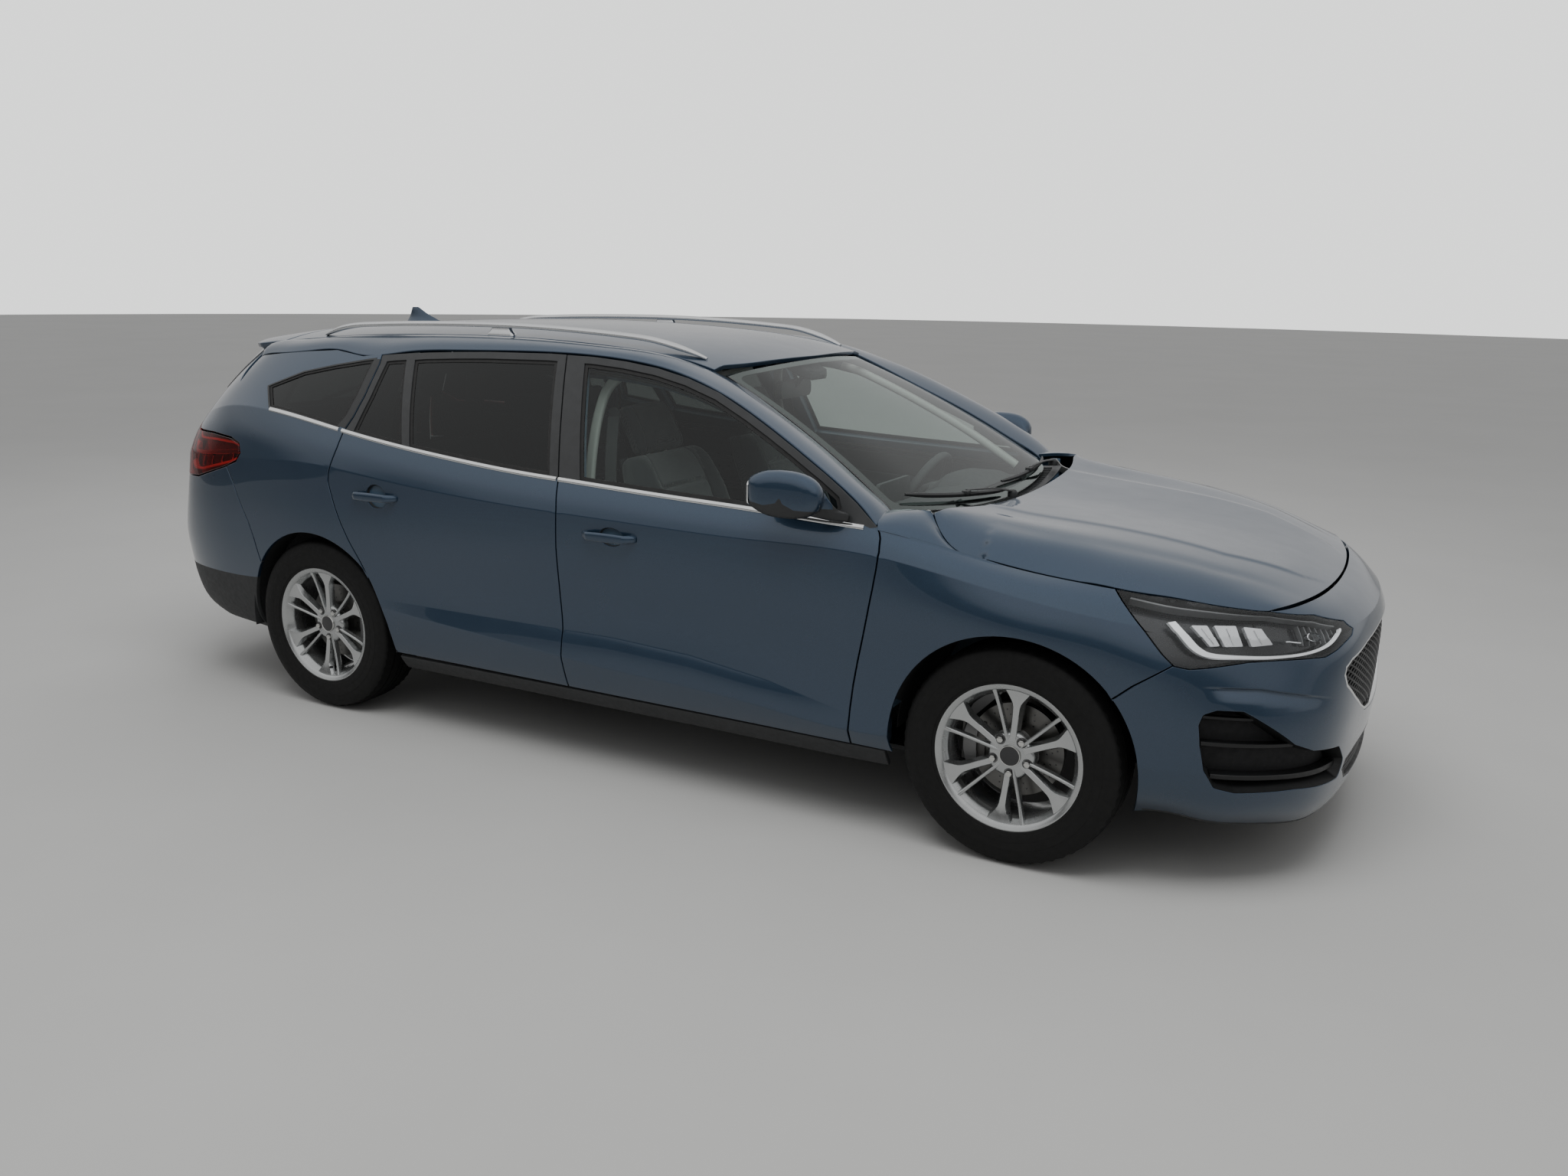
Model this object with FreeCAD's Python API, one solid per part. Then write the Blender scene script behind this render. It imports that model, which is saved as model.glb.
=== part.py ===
import FreeCAD, Part
import os

os.makedirs("parts", exist_ok=True)

# ---------------------------------------------------------------------------
# Driving dimensions, millimetres
# ---------------------------------------------------------------------------
WHEELBASE = 2700.0
FRONT_TRACK = 1572.0
REAR_TRACK = 1561.0
TYRE_R = 326.0            # 205/60 R16
TYRE_HALF_W = 102.5
RIM_FLANGE_R = 220.0
RIM_SEAT_R = 203.2
HUB_BORE_R = 31.7
LUG_PCD = 108.0
X_SHIFT = 107.1           # mid-wheelbase to the middle of the overall length
GAP = 2.5                 # half of a panel gap
SKIN = 4.0                # wing and bumper skins
DOOR_FLANGE = 6.0
DOOR_DEPTH = 92.0
FRAME_DEPTH = 30.0        # window frame of a door
HINGE_BACK = 55.0         # door hinge axis behind the panel gap
HINGE_S = 872.0           # door hinge axis from the centre plane
HINGE_PIN_R = 5.0
KNUCKLE_R = 8.0
GLASS_T = 4.0
ROOF_T = 22.0
HOOD_T = 20.0
GATE_AXIS = (-1740.0, 1372.0)    # tailgate hinge axis (x, z)
HOOD_AXIS = (985.0, 957.0)       # hood hinge axis (x, z)
KINGPIN_LOW = (1350.0, 715.0, 190.0)
KINGPIN_TOP = (1350.0, 585.0, 820.0)
# ---------------------------------------------------------------------------
# Body surfaces.  Metres, x forward from mid-wheelbase, s = distance from the
# centre plane, z up from the ground.  Each surface is a net: stations of
# points, joined by cubic splines both ways, with creases at chosen levels.
# ---------------------------------------------------------------------------
from math import sin, cos, pi, sqrt, atan2, hypot, radians


def spline_matrix(t):
    """Second derivatives of the natural cubic spline on knots t, as a matrix on its values."""
    n = len(t)
    A = [[0.0] * n for _ in range(n)]
    if n < 3:
        return A
    m = n - 2
    for k in range(n):
        e = [0.0] * n
        e[k] = 1.0
        b = [0.0] * m
        d = [0.0] * m
        c = [0.0] * m
        for i in range(1, n - 1):
            h0 = t[i] - t[i - 1]
            h1 = t[i + 1] - t[i]
            d[i - 1] = 2 * (h0 + h1)
            c[i - 1] = h1
            b[i - 1] = 6 * ((e[i + 1] - e[i]) / h1 - (e[i] - e[i - 1]) / h0)
        for i in range(1, m):
            w = (t[i + 1] - t[i]) / d[i - 1]
            d[i] -= w * c[i - 1]
            b[i] -= w * b[i - 1]
        x = [0.0] * m
        for i in range(m - 1, -1, -1):
            x[i] = (b[i] - (c[i] * x[i + 1] if i < m - 1 else 0.0)) / d[i]
        for i in range(m):
            A[i + 1][k] = x[i]
    return A


def seg_of(t, x):
    i = 0
    while i < len(t) - 2 and x > t[i + 1]:
        i += 1
    return i


def cubic(t, y, m, x):
    i = seg_of(t, x)
    h = t[i + 1] - t[i]
    a = (t[i + 1] - x) / h
    b = (x - t[i]) / h
    return a * y[i] + b * y[i + 1] + ((a * a * a - a) * m[i] + (b * b * b - b) * m[i + 1]) * h * h / 6


def curve1(pts, x):
    """Smooth function through (x, value) pairs."""
    t = [p[0] for p in pts]
    y = [p[1] for p in pts]
    A = spline_matrix(t)
    m = [sum(A[i][k] * y[k] for k in range(len(y))) for i in range(len(y))]
    return cubic(t, y, m, x)


class Net:
    """rows: stations, each a list of (x, s, z) at the levels.  creases: level numbers."""

    def __init__(self, rows, uk, vk, creases=(), mirror0=False, mirror1=False):
        self.nl = len(rows[0])
        self.vk = list(vk)
        ext = [list(r) for r in rows]
        k = list(uk)
        if mirror0:
            for j in (1, 2, 3):
                ext.insert(0, [(p[0], -p[1], p[2]) for p in rows[j]])
                k.insert(0, 2 * uk[0] - uk[j])
        if mirror1:
            n = len(rows)
            for j in (2, 3, 4):
                ext.append([(p[0], -p[1], p[2]) for p in rows[n - j]])
                k.append(2 * uk[-1] - uk[n - j])
        self.uk = k
        self.u0, self.u1 = uk[0], uk[-1]
        self.rows = ext
        A = spline_matrix(k)
        self.m = []
        for i in range(len(k)):
            self.m.append([tuple(sum(A[i][q] * ext[q][j][c] for q in range(len(k)) if A[i][q]) for c in range(3))
                           for j in range(self.nl)])
        cuts = [0] + [c for c in creases if 0 < c < self.nl - 1] + [self.nl - 1]
        self.parts = []
        for a, b in zip(cuts[:-1], cuts[1:]):
            self.parts.append((a, b, spline_matrix(self.vk[a:b + 1])))

    def row(self, u):
        i = seg_of(self.uk, u)
        h = self.uk[i + 1] - self.uk[i]
        a = (self.uk[i + 1] - u) / h
        b = (u - self.uk[i]) / h
        ca = (a * a * a - a) * h * h / 6
        cb = (b * b * b - b) * h * h / 6
        r0, r1, m0, m1 = self.rows[i], self.rows[i + 1], self.m[i], self.m[i + 1]
        return [tuple(a * r0[j][c] + b * r1[j][c] + ca * m0[j][c] + cb * m1[j][c] for c in range(3))
                for j in range(self.nl)]

    def vrow(self, u):
        r = self.row(u)
        out = []
        for a, b, A in self.parts:
            n = b - a + 1
            out.append([tuple(sum(A[i][k] * r[a + k][c] for k in range(n)) for c in range(3)) for i in range(n)])
        return r, out

    def at(self, u, v, cache=None):
        r, mm = cache or self.vrow(u)
        for (a, b, A), m in zip(self.parts, mm):
            if v <= self.vk[b] or b == self.nl - 1:
                t = self.vk[a:b + 1]
                i = seg_of(t, v)
                h = t[i + 1] - t[i]
                p = (t[i + 1] - v) / h
                q = (v - t[i]) / h
                ca = (p * p * p - p) * h * h / 6
                cb = (q * q * q - q) * h * h / 6
                r0, r1 = r[a + i], r[a + i + 1]
                return tuple(p * r0[c] + q * r1[c] + ca * m[i][c] + cb * m[i + 1][c] for c in range(3))

    def normal(self, u, v):
        e = 2e-4
        a, b = self.at(u - e, v), self.at(u + e, v)
        c, d = self.at(u, v - e), self.at(u, v + e)
        p = [b[i] - a[i] for i in range(3)]
        q = [d[i] - c[i] for i in range(3)]
        n = (p[1] * q[2] - p[2] * q[1], p[2] * q[0] - p[0] * q[2], p[0] * q[1] - p[1] * q[0])
        l = sqrt(sum(t * t for t in n)) or 1.0
        return tuple(t / l for t in n)

    def find(self, x, z, u, v, ax=(0, 2)):
        """Net coordinates of the point whose side view is (x, z), from a first guess."""
        for _ in range(14):
            p = self.at(u, v)
            e0, e1 = x - p[ax[0]], z - p[ax[1]]
            if abs(e0) + abs(e1) < 1e-6:
                break
            h = 1e-4
            a, b = self.at(u + h, v), self.at(u, v + h)
            j00, j01 = (a[ax[0]] - p[ax[0]]) / h, (b[ax[0]] - p[ax[0]]) / h
            j10, j11 = (a[ax[1]] - p[ax[1]]) / h, (b[ax[1]] - p[ax[1]]) / h
            det = j00 * j11 - j01 * j10
            if abs(det) < 1e-9:
                break
            du = (e0 * j11 - e1 * j01) / det
            dv = (e1 * j00 - e0 * j10) / det
            k = min(1.0, 0.3 / (abs(du) + 1e-9), 0.2 / (abs(dv) + 1e-9))
            u += du * k
            v += dv * k
            v = min(max(v, self.vk[0] - 0.05), self.vk[-1] + 0.05)
            u = min(max(u, self.uk[0]), self.uk[-1])
        return u, v


# Levels: 0 lip, 1 lower turn, 2 lower ridge, 3 valley, 4 middle, 5 upper middle,
# 6 shoulder crease, 7 above it, 8 belt or hood gap, 9 to 12 side window plane.
SHOULDER = [(-2.2, .905), (-1.75, .925), (-1.43, .945), (-1.2, .935), (-.9, .909), (-.6, .888), (-.2, .876),
            (.13, .872), (.5, .869), (.93, .866), (1.2, .850), (1.6, .80)]
BELT = [(-1.75, 1.128), (-1.53, 1.111), (-1.212, 1.068), (-.919, 1.031), (-.641, 1.004), (-.376, .985),
        (-.187, .977), (.055, .967), (.284, .959), (.502, .953), (.76, .943), (.93, .935), (1.05, .928)]
RIDGE = [(-1.35, .46), (-.95, .44), (-.72, .425), (-.19, .388), (.18, .369), (.58, .352), (.93, .325), (1.35, .33)]
VALLEY = [(-1.35, .54), (-.95, .50), (-.65, .475), (-.19, .490), (.24, .499), (.57, .482), (.93, .44), (1.35, .46)]


def lin(pts, x):
    if x <= pts[0][0]:
        return pts[0][1]
    for (a, p), (b, q) in zip(pts[:-1], pts[1:]):
        if x <= b:
            return p + (q - p) * (x - a) / (b - a)
    return pts[-1][1]


def side_row(x, y0, y1, y2, y3, y4, y5, y6, y7, y8):
    zs, zb, zr, zv = lin(SHOULDER, x), curve1(BELT, x), lin(RIDGE, x), lin(VALLEY, x)
    r = [(x, y0, .205), (x, y1, .275), (x, y2, zr), (x, y3, zv), (x, y4, .61), (x, y5, .74),
         (x, y6, zs), (x, y7, zs + .52 * (zb - zs)), (x, y8, zb)]
    for h in (.12, .24, .37, .46):
        r.append((x, y8 - .40 * h - .30 * h * h, zb + h * (1.385 - zb) / .40))
    return r


def up(p, q, bow=0.0):
    """Four greenhouse levels from belt point p to roof-edge point q."""
    out = []
    for k in (.26, .53, .84, 1.06):
        b = bow * 4 * k * (1 - k)
        out.append((p[0] + (q[0] - p[0]) * k - b, p[1] + (q[1] - p[1]) * k + b * .6, p[2] + (q[2] - p[2]) * k + b))
    return out


def ring_rows():
    R = []

    def add(pts, q=None, bow=0.0):
        R.append(pts + (up(pts[8], q, bow) if q else []))

    # rear centre, to the corner, and along the quarter
    add([(-2.300, 0, .25), (-2.375, 0, .30), (-2.412, 0, .41), (-2.430, 0, .52), (-2.437, 0, .63), (-2.397, 0, .74),
         (-2.375, 0, .88), (-2.338, 0, .955), (-2.298, 0, 1.015)], (-2.03, 0, 1.385), .012)
    add([(-2.290, .32, .25), (-2.362, .32, .30), (-2.399, .32, .41), (-2.417, .32, .52), (-2.422, .32, .63),
         (-2.383, .32, .74), (-2.361, .32, .882), (-2.323, .32, .958), (-2.283, .32, 1.018)], (-2.015, .27, 1.38), .012)
    add([(-2.225, .555, .25), (-2.298, .575, .30), (-2.336, .585, .41), (-2.355, .59, .52), (-2.358, .59, .63),
         (-2.326, .585, .742), (-2.303, .58, .892), (-2.268, .565, .967), (-2.229, .548, 1.03)], (-1.965, .45, 1.365), .012)
    add([(-2.095, .705, .25), (-2.155, .735, .30), (-2.192, .757, .41), (-2.208, .765, .52), (-2.210, .768, .62),
         (-2.190, .765, .745), (-2.178, .748, .905), (-2.158, .722, .985), (-2.128, .690, 1.052)], (-1.885, .545, 1.335), .010)
    add([(-1.985, .765, .25), (-2.010, .805, .305), (-2.025, .832, .415), (-2.030, .842, .525), (-2.030, .846, .63),
         (-2.025, .840, .755), (-2.015, .815, .918), (-2.000, .787, 1.010), (-1.985, .757, 1.092)], (-1.80, .595, 1.345), .008)
    add([(-1.75, .80, .245), (-1.75, .848, .30), (-1.75, .872, .42), (-1.75, .882, .53), (-1.75, .886, .64),
         (-1.75, .882, .77), (-1.75, .862, .928), (-1.75, .840, 1.028), (-1.745, .812, 1.123)], (-1.66, .622, 1.362), .006)
    add([(-1.35, .825, .215), (-1.35, .872, .28), (-1.35, .896, .46), (-1.35, .904, .54), (-1.35, .909, .63),
         (-1.35, .909, .76), (-1.35, .893, .943), (-1.35, .873, 1.02), (-1.35, .848, 1.087)], (-1.31, .636, 1.382), .004)
    for x, ys in ((-.95, (.822, .868, .896, .893, .897, .905, .898, .883, .860)),
                  (-.45, (.820, .866, .898, .889, .892, .902, .901, .886, .864)),
                  (.05, (.820, .866, .900, .887, .889, .900, .902, .888, .866)),
                  (.50, (.820, .866, .899, .888, .891, .901, .902, .889, .868)),
                  (.93, (.820, .866, .895, .893, .900, .906, .900, .886, .866))):
        R.append(side_row(x, *ys))
    # front fender, lamp corner and nose
    def fwd(pts):
        x, s, z = pts[8]
        R.append(pts + [(x, s - .05 * k, z + .12 * k) for k in (1, 2, 3, 4)])
    fwd([(1.35, .825, .215), (1.35, .870, .28), (1.35, .896, .37), (1.35, .904, .47), (1.35, .911, .60),
         (1.35, .912, .71), (1.35, .890, .800), (1.35, .860, .838), (1.35, .815, .858)])
    fwd([(1.60, .815, .210), (1.60, .858, .27), (1.60, .884, .37), (1.60, .890, .47), (1.60, .892, .58),
         (1.60, .889, .68), (1.60, .868, .765), (1.60, .838, .808), (1.598, .800, .836)])
    fwd([(1.78, .775, .215), (1.79, .822, .27), (1.80, .852, .37), (1.80, .858, .47), (1.795, .857, .57),
         (1.79, .847, .66), (1.785, .818, .745), (1.775, .790, .788), (1.765, .752, .815)])
    fwd([(1.880, .735, .195), (1.907, .768, .25), (1.925, .790, .36), (1.930, .792, .46), (1.920, .788, .56),
         (1.900, .775, .655), (1.888, .750, .733), (1.880, .722, .772), (1.870, .692, .799)])
    fwd([(1.990, .638, .175), (2.027, .67, .235), (2.048, .690, .35), (2.052, .690, .45), (2.040, .682, .55),
         (2.015, .668, .645), (1.998, .655, .722), (1.985, .642, .762), (1.970, .630, .787)])
    fwd([(2.092, .495, .155), (2.130, .52, .215), (2.152, .530, .34), (2.158, .530, .44), (2.154, .525, .54),
         (2.142, .520, .64), (2.112, .515, .715), (2.078, .508, .760), (2.045, .500, .790)])
    fwd([(2.138, .27, .146), (2.182, .28, .206), (2.202, .28, .335), (2.210, .28, .435), (2.211, .28, .54),
         (2.207, .28, .64), (2.182, .28, .712), (2.135, .28, .757), (2.085, .28, .787)])
    fwd([(2.150, 0, .145), (2.196, 0, .205), (2.218, 0, .335), (2.227, 0, .435), (2.231, 0, .54),
         (2.229, 0, .64), (2.203, 0, .710), (2.152, 0, .755), (2.097, 0, .784)])
    return R


def knots(rows, j=4):
    k = [0.0]
    for a, b in zip(rows[:-1], rows[1:]):
        k.append(k[-1] + sqrt(sum((a[j][c] - b[j][c]) ** 2 for c in range(3))))
    return k


VK = [0, .08, .19, .30, .44, .58, .74, .84, .94, 1.07, 1.20, 1.345, 1.45]
_r = ring_rows()
RING = Net(_r, knots(_r), VK, creases=(2, 6, 8), mirror0=True, mirror1=True)


def ring_find(x, z):
    """Net coordinates on the body side for a side-view point."""
    best = None
    for i, k in enumerate(RING.uk):
        if not (RING.u0 + .6 <= k <= RING.u1 - .45):
            continue
        row = RING.rows[i]
        for j in range(RING.nl):
            if row[j][1] < 0:
                continue
            d = (row[j][0] - x) ** 2 + (row[j][2] - z) ** 2
            if best is None or d < best[0]:
                best = (d, k, RING.vk[j])
    return RING.find(x, z, best[1], best[2])


# hood: stations from its front edge to the cowl, levels from the centre to the side gap
def hood_rows():
    return [
        [(2.095, 0, .787), (2.080, .28, .790), (2.048, .46, .793), (2.012, .575, .795), (1.990, .61, .792), (1.970, .635, .787)],
        [(2.010, 0, .822), (1.990, .28, .826), (1.960, .46, .829), (1.920, .60, .825), (1.895, .655, .814), (1.868, .695, .801)],
        [(1.860, 0, .862), (1.850, .28, .867), (1.830, .47, .872), (1.800, .62, .866), (1.775, .695, .847), (1.747, .755, .822)],
        [(1.640, 0, .898), (1.640, .28, .904), (1.635, .49, .911), (1.620, .65, .905), (1.610, .735, .880), (1.598, .800, .838)],
        [(1.400, 0, .921), (1.400, .28, .928), (1.400, .51, .937), (1.400, .67, .935), (1.400, .755, .905), (1.400, .815, .857)],
        [(1.220, 0, .934), (1.220, .28, .941), (1.215, .53, .953), (1.205, .675, .957), (1.215, .755, .925), (1.225, .812, .866)],
        [(1.098, 0, .942), (1.098, .28, .950), (1.083, .52, .969), (1.050, .66, .982), (1.045, .71, .983), (1.033, .738, .980)],
    ]


_h = [[(p[0], -p[1], p[2]) for p in r[:0:-1]] + r for r in hood_rows()]
HOOD = Net(_h, [0.0, .09, .25, .48, .72, .90, 1.03], [-.83, -.75, -.66, -.50, -.28, 0, .28, .50, .66, .75, .83])

# rear upper corner of the wing, between the door edge, the windscreen foot and the hood gap
_c = [[(.922, .869, .936), (.914, .852, .952), (.903, .800, .968), (.897, .712, .970)],
      [(1.000, .862, .924), (.985, .840, .952), (.960, .790, .975), (.948, .718, .977)],
      [(1.110, .842, .895), (1.075, .818, .930), (1.030, .778, .965), (1.000, .728, .980)],
      [(1.222, .816, .864), (1.132, .794, .889), (1.072, .766, .935), (1.036, .739, .979)]]
CORNER = Net(_c, [0, .09, .20, .32], [0, .05, .11, .19])

# roof: stations from the windscreen edge back to the spoiler tip
ROOFC = [(.28, 1.360), (.10, 1.402), (-.2, 1.435), (-.6, 1.449), (-1.0, 1.446), (-1.4, 1.431), (-1.7, 1.411),
         (-1.9, 1.392), (-2.06, 1.368)]
ROOFE = [(.28, 1.300), (.10, 1.352), (-.2, 1.389), (-.6, 1.405), (-1.0, 1.401), (-1.4, 1.383), (-1.7, 1.356),
         (-1.9, 1.336), (-2.06, 1.318)]
ROOF_HW = .585


def roof_z(x, s):
    zc, ze = curve1(ROOFC[::-1], x), curve1(ROOFE[::-1], x)
    t = s / ROOF_HW
    return zc - (zc - ze) * (.55 * t * t + .45 * t ** 4)


# windscreen: from its base line up to the roof edge
WS_BASE = [(0, 1.040, .927), (.25, 1.028, .933), (.45, 1.000, .944), (.60, .952, .956), (.70, .892, .966)]
WS_TOP = [(0, .285, 1.359), (.19, .272, 1.354), (.34, .250, 1.345), (.43, .225, 1.335), (.505, .190, 1.322)]


def ws_rows():
    rows = []
    for (s0, x0, z0), (s1, x1, z1) in zip(WS_BASE, WS_TOP):
        r = []
        for k in (0, .25, .5, .75, 1.0):
            b = .022 * 4 * k * (1 - k)
            r.append((x0 + (x1 - x0) * k + b * .47, s0 + (s1 - s0) * k, z0 + (z1 - z0) * k + b * .88))
        rows.append(r)
    return rows


_w = ws_rows()
WSCREEN = Net(_w, [0, .25, .45, .60, .70], [0, .22, .44, .66, .88], mirror0=True)
# Panel outlines in side view (x, z), metres, on the body surface.
B_SEAM = [(-.329, 1.371), (-.277, 1.184), (-.225, .980), (-.210, .883), (-.213, .761), (-.210, .587),
          (-.204, .490), (-.203, .321), (-.203, .272)]
DLO_TOP = [(-1.710, 1.206), (-1.657, 1.231), (-1.517, 1.271), (-1.372, 1.301), (-1.229, 1.325), (-1.080, 1.341),
           (-.938, 1.352), (-.800, 1.360), (-.662, 1.366), (-.396, 1.3715), (-.203, 1.368), (-.080, 1.360),
           (.049, 1.345), (.174, 1.320), (.300, 1.283), (.428, 1.229), (.520, 1.186), (.615, 1.139), (.734, 1.076),
           (.791, 1.042), (.847, 1.005), (.893, .968)]
F_EDGE = [(.922, .945), (.936, .915), (.941, .877), (.936, .825), (.928, .769), (.915, .698), (.901, .626),
          (.883, .540), (.870, .466), (.862, .393), (.858, .320), (.856, .272)]
R_EDGE = [(-1.158, 1.3335), (-1.150, 1.300), (-1.158, 1.190), (-1.174, 1.118), (-1.197, 1.064), (-1.210, 1.009),
          (-1.229, .955), (-1.240, .918), (-1.241, .888), (-1.231, .857), (-1.209, .798), (-1.182, .740),
          (-1.150, .680), (-1.105, .608), (-1.058, .521), (-1.022, .445), (-1.002, .385), (-.990, .325), (-.985, .272)]


def part_of(line, x0, x1):
    """The run of an outline between two x values (line ascending in x), with end points put on it."""
    out = [(x0, lin(line, x0))]
    out += [p for p in line if x0 < p[0] < x1]
    out.append((x1, lin(line, x1)))
    return out


def front_door_outline():
    top = part_of(DLO_TOP, B_SEAM[0][0], DLO_TOP[-1][0])
    return top + F_EDGE + B_SEAM[:0:-1]


def rear_door_outline():
    top = part_of(DLO_TOP, R_EDGE[0][0], B_SEAM[0][0])
    return top + B_SEAM[1:] + R_EDGE[:0:-1]


def belt_run(x0, x1, dz, n=10):
    return [(x0 + (x1 - x0) * i / n, curve1(BELT, x0 + (x1 - x0) * i / n) + dz) for i in range(n + 1)]


def lower_run(line, d):
    """Outline moved down/inward by d along its normal."""
    out = []
    for i, p in enumerate(line):
        a = line[max(i - 1, 0)]
        b = line[min(i + 1, len(line) - 1)]
        tx, tz = b[0] - a[0], b[1] - a[1]
        l = hypot(tx, tz)
        out.append((p[0] + tz / l * d, p[1] - tx / l * d))
    return out


def front_glass_outline():
    top = lower_run(part_of(DLO_TOP, -.245, .80), .026)
    top = [p for p in top if p[0] > -.246]
    zt = top[0][1]
    return [(-.243, zt)] + top[1:] + [(.800, .985)] + belt_run(.775, -.140, .012)[0:]


def rear_glass_outline():
    top = lower_run(part_of(DLO_TOP, -.998, -.357), .026)
    return [(-.985, top[0][1])] + top[1:-1] + [(-.360, top[-1][1])] + belt_run(-.266, -.880, .012)


def rear_light_outline():
    top = lower_run(part_of(DLO_TOP, -1.125, -1.025), .026)
    return [(-1.118, top[0][1])] + top[1:-1] + [(-1.028, top[-1][1])] + belt_run(-.918, -1.150, .012, 5) + [(-1.128, 1.19)]


def quarter_glass_outline():
    top = lower_run(part_of(DLO_TOP, -1.640, -1.178), .020)
    return [(-1.660, 1.196)] + top[1:-1] + [(-1.188, top[-1][1])] + [(-1.196, 1.19), (-1.212, 1.118)] + \
        belt_run(-1.235, -1.560, .014, 6) + [(-1.60, 1.130)]


ARCH_F = (1.350, .326, .362)
ARCH_R = (-1.350, .326, .358)
LAMP_F = [(1.599, .837), (1.673, .830), (1.747, .822), (1.868, .8015), (1.977, .786), (2.074, .764), (2.142, .731),
          (2.167, .707), (2.168, .695), (2.143, .672), (2.120, .660), (2.051, .662), (1.950, .665), (1.859, .656),
          (1.817, .653), (1.780, .660), (1.747, .690), (1.695, .747), (1.639, .801)]
LAMP_R = [(-2.30, .840), (-2.30, .965), (-2.17, .985), (-2.06, .998), (-1.954, 1.000), (-1.82, .994), (-1.765, .978),
          (-1.752, .945), (-1.776, .915), (-1.90, .868), (-2.043, .828), (-2.15, .818)]
BUMP_R_SEAM = [(-2.30, .815), (-2.043, .822), (-1.905, .862), (-1.836, .884), (-1.790, .830), (-1.756, .775), (-1.700, .690), (-1.674, .636)]
INTAKE = [(1.854, .504), (1.862, .533), (1.892, .545), (1.954, .540), (1.984, .520), (2.034, .481), (2.079, .436),
          (2.122, .407), (2.175, .39), (2.185, .33), (2.177, .281), (2.088, .300), (1.952, .305), (1.901, .322), (1.875, .375), (1.861, .446)]

V = FreeCAD.Vector


def vec(p, side=1):
    """A surface point in metres to a vector in millimetres in the part's own frame."""
    return V(p[0] * 1000 + X_SHIFT, side * p[1] * 1000, p[2] * 1000)


def box(x0, x1, y0, y1, z0, z1):
    b = Part.makeBox(abs(x1 - x0), abs(y1 - y0), abs(z1 - z0))
    b.translate(V(min(x0, x1) + X_SHIFT, min(y0, y1), min(z0, z1)))
    return b


def cyl(r, p, d, l):
    return Part.makeCylinder(r, l, V(p[0] + X_SHIFT, p[1], p[2]), V(*d))


def mirror(s):
    return s.mirror(V(0, 0, 0), V(0, 1, 0))


def fuse(shapes):
    shapes = [s for s in shapes if s is not None]
    r = shapes[0]
    if len(shapes) > 1:
        r = r.multiFuse(shapes[1:])
        try:
            r = r.removeSplitter()
        except Exception:
            pass
    return r


def surf_slab(grid_out, grid_in):
    """Solid between two grids of vectors (same size)."""
    def surf(g):
        b = Part.BSplineSurface()
        b.interpolate(g)
        return b
    so, si = surf(grid_out), surf(grid_in)
    fo, fi = so.toShape(), si.toShape()

    def iso(s, k, first):
        b = s.bounds()
        if k == 'u':
            return s.uIso(b[0] if first else b[1]).toShape()
        return s.vIso(b[2] if first else b[3]).toShape()
    faces = [fo, fi]
    for k in ('u', 'v'):
        for f in (True, False):
            faces.append(Part.makeRuledSurface(iso(so, k, f), iso(si, k, f)))
    sh = Part.makeShell(faces)
    sh.sewShape()
    sol = Part.makeSolid(sh)
    if sol.Volume < 0:
        sol.reverse()
    return sol


def net_slab(fn, us, vs, t0, t1, side=1):
    """fn(u, v) gives ((x, s, z), outward normal) in metres; slab from depth t0 to t1 mm.
    t0 and t1 may be functions of the point."""
    go, gi = [], []
    for u in us:
        ro, ri = [], []
        for v in vs:
            p, n = fn(u, v)
            a = t0(p) if callable(t0) else t0
            b = t1(p) if callable(t1) else t1
            ro.append(vec([p[c] - n[c] * a / 1000 for c in range(3)], side))
            ri.append(vec([p[c] - n[c] * b / 1000 for c in range(3)], side))
        go.append(ro)
        gi.append(ri)
    return surf_slab(go, gi)


def ring_fn(u, v):
    p = RING.at(u, v)
    n = RING.normal(u, v)
    c = (0.0, 0.0, .6)
    if (p[0] - c[0]) * n[0] * .2 + p[1] * n[1] + (p[2] - c[2]) * n[2] * .2 < 0:
        n = (-n[0], -n[1], -n[2])
    return p, n


def frange(a, b, n):
    return [a + (b - a) * i / n for i in range(n + 1)]


def ring_u(x):
    """u of the body side station at x, at mid height."""
    return ring_find(x, .64)[0]


def prism_y(pts, y0, y1, side=1):
    """Outline (x, z) in metres, extruded across the car from y0 to y1 mm."""
    w = [V(p[0] * 1000 + X_SHIFT, side * y0, p[1] * 1000) for p in pts]
    f = Part.Face(Part.makePolygon(w + [w[0]]))
    return f.extrude(V(0, side * (y1 - y0), 0))


def prism_x(pts, x0, x1):
    """Outline (y, z) in metres, extruded along the car."""
    w = [V(x0 + X_SHIFT, p[0] * 1000, p[1] * 1000) for p in pts]
    f = Part.Face(Part.makePolygon(w + [w[0]]))
    return f.extrude(V(x1 - x0, 0, 0))


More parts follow.
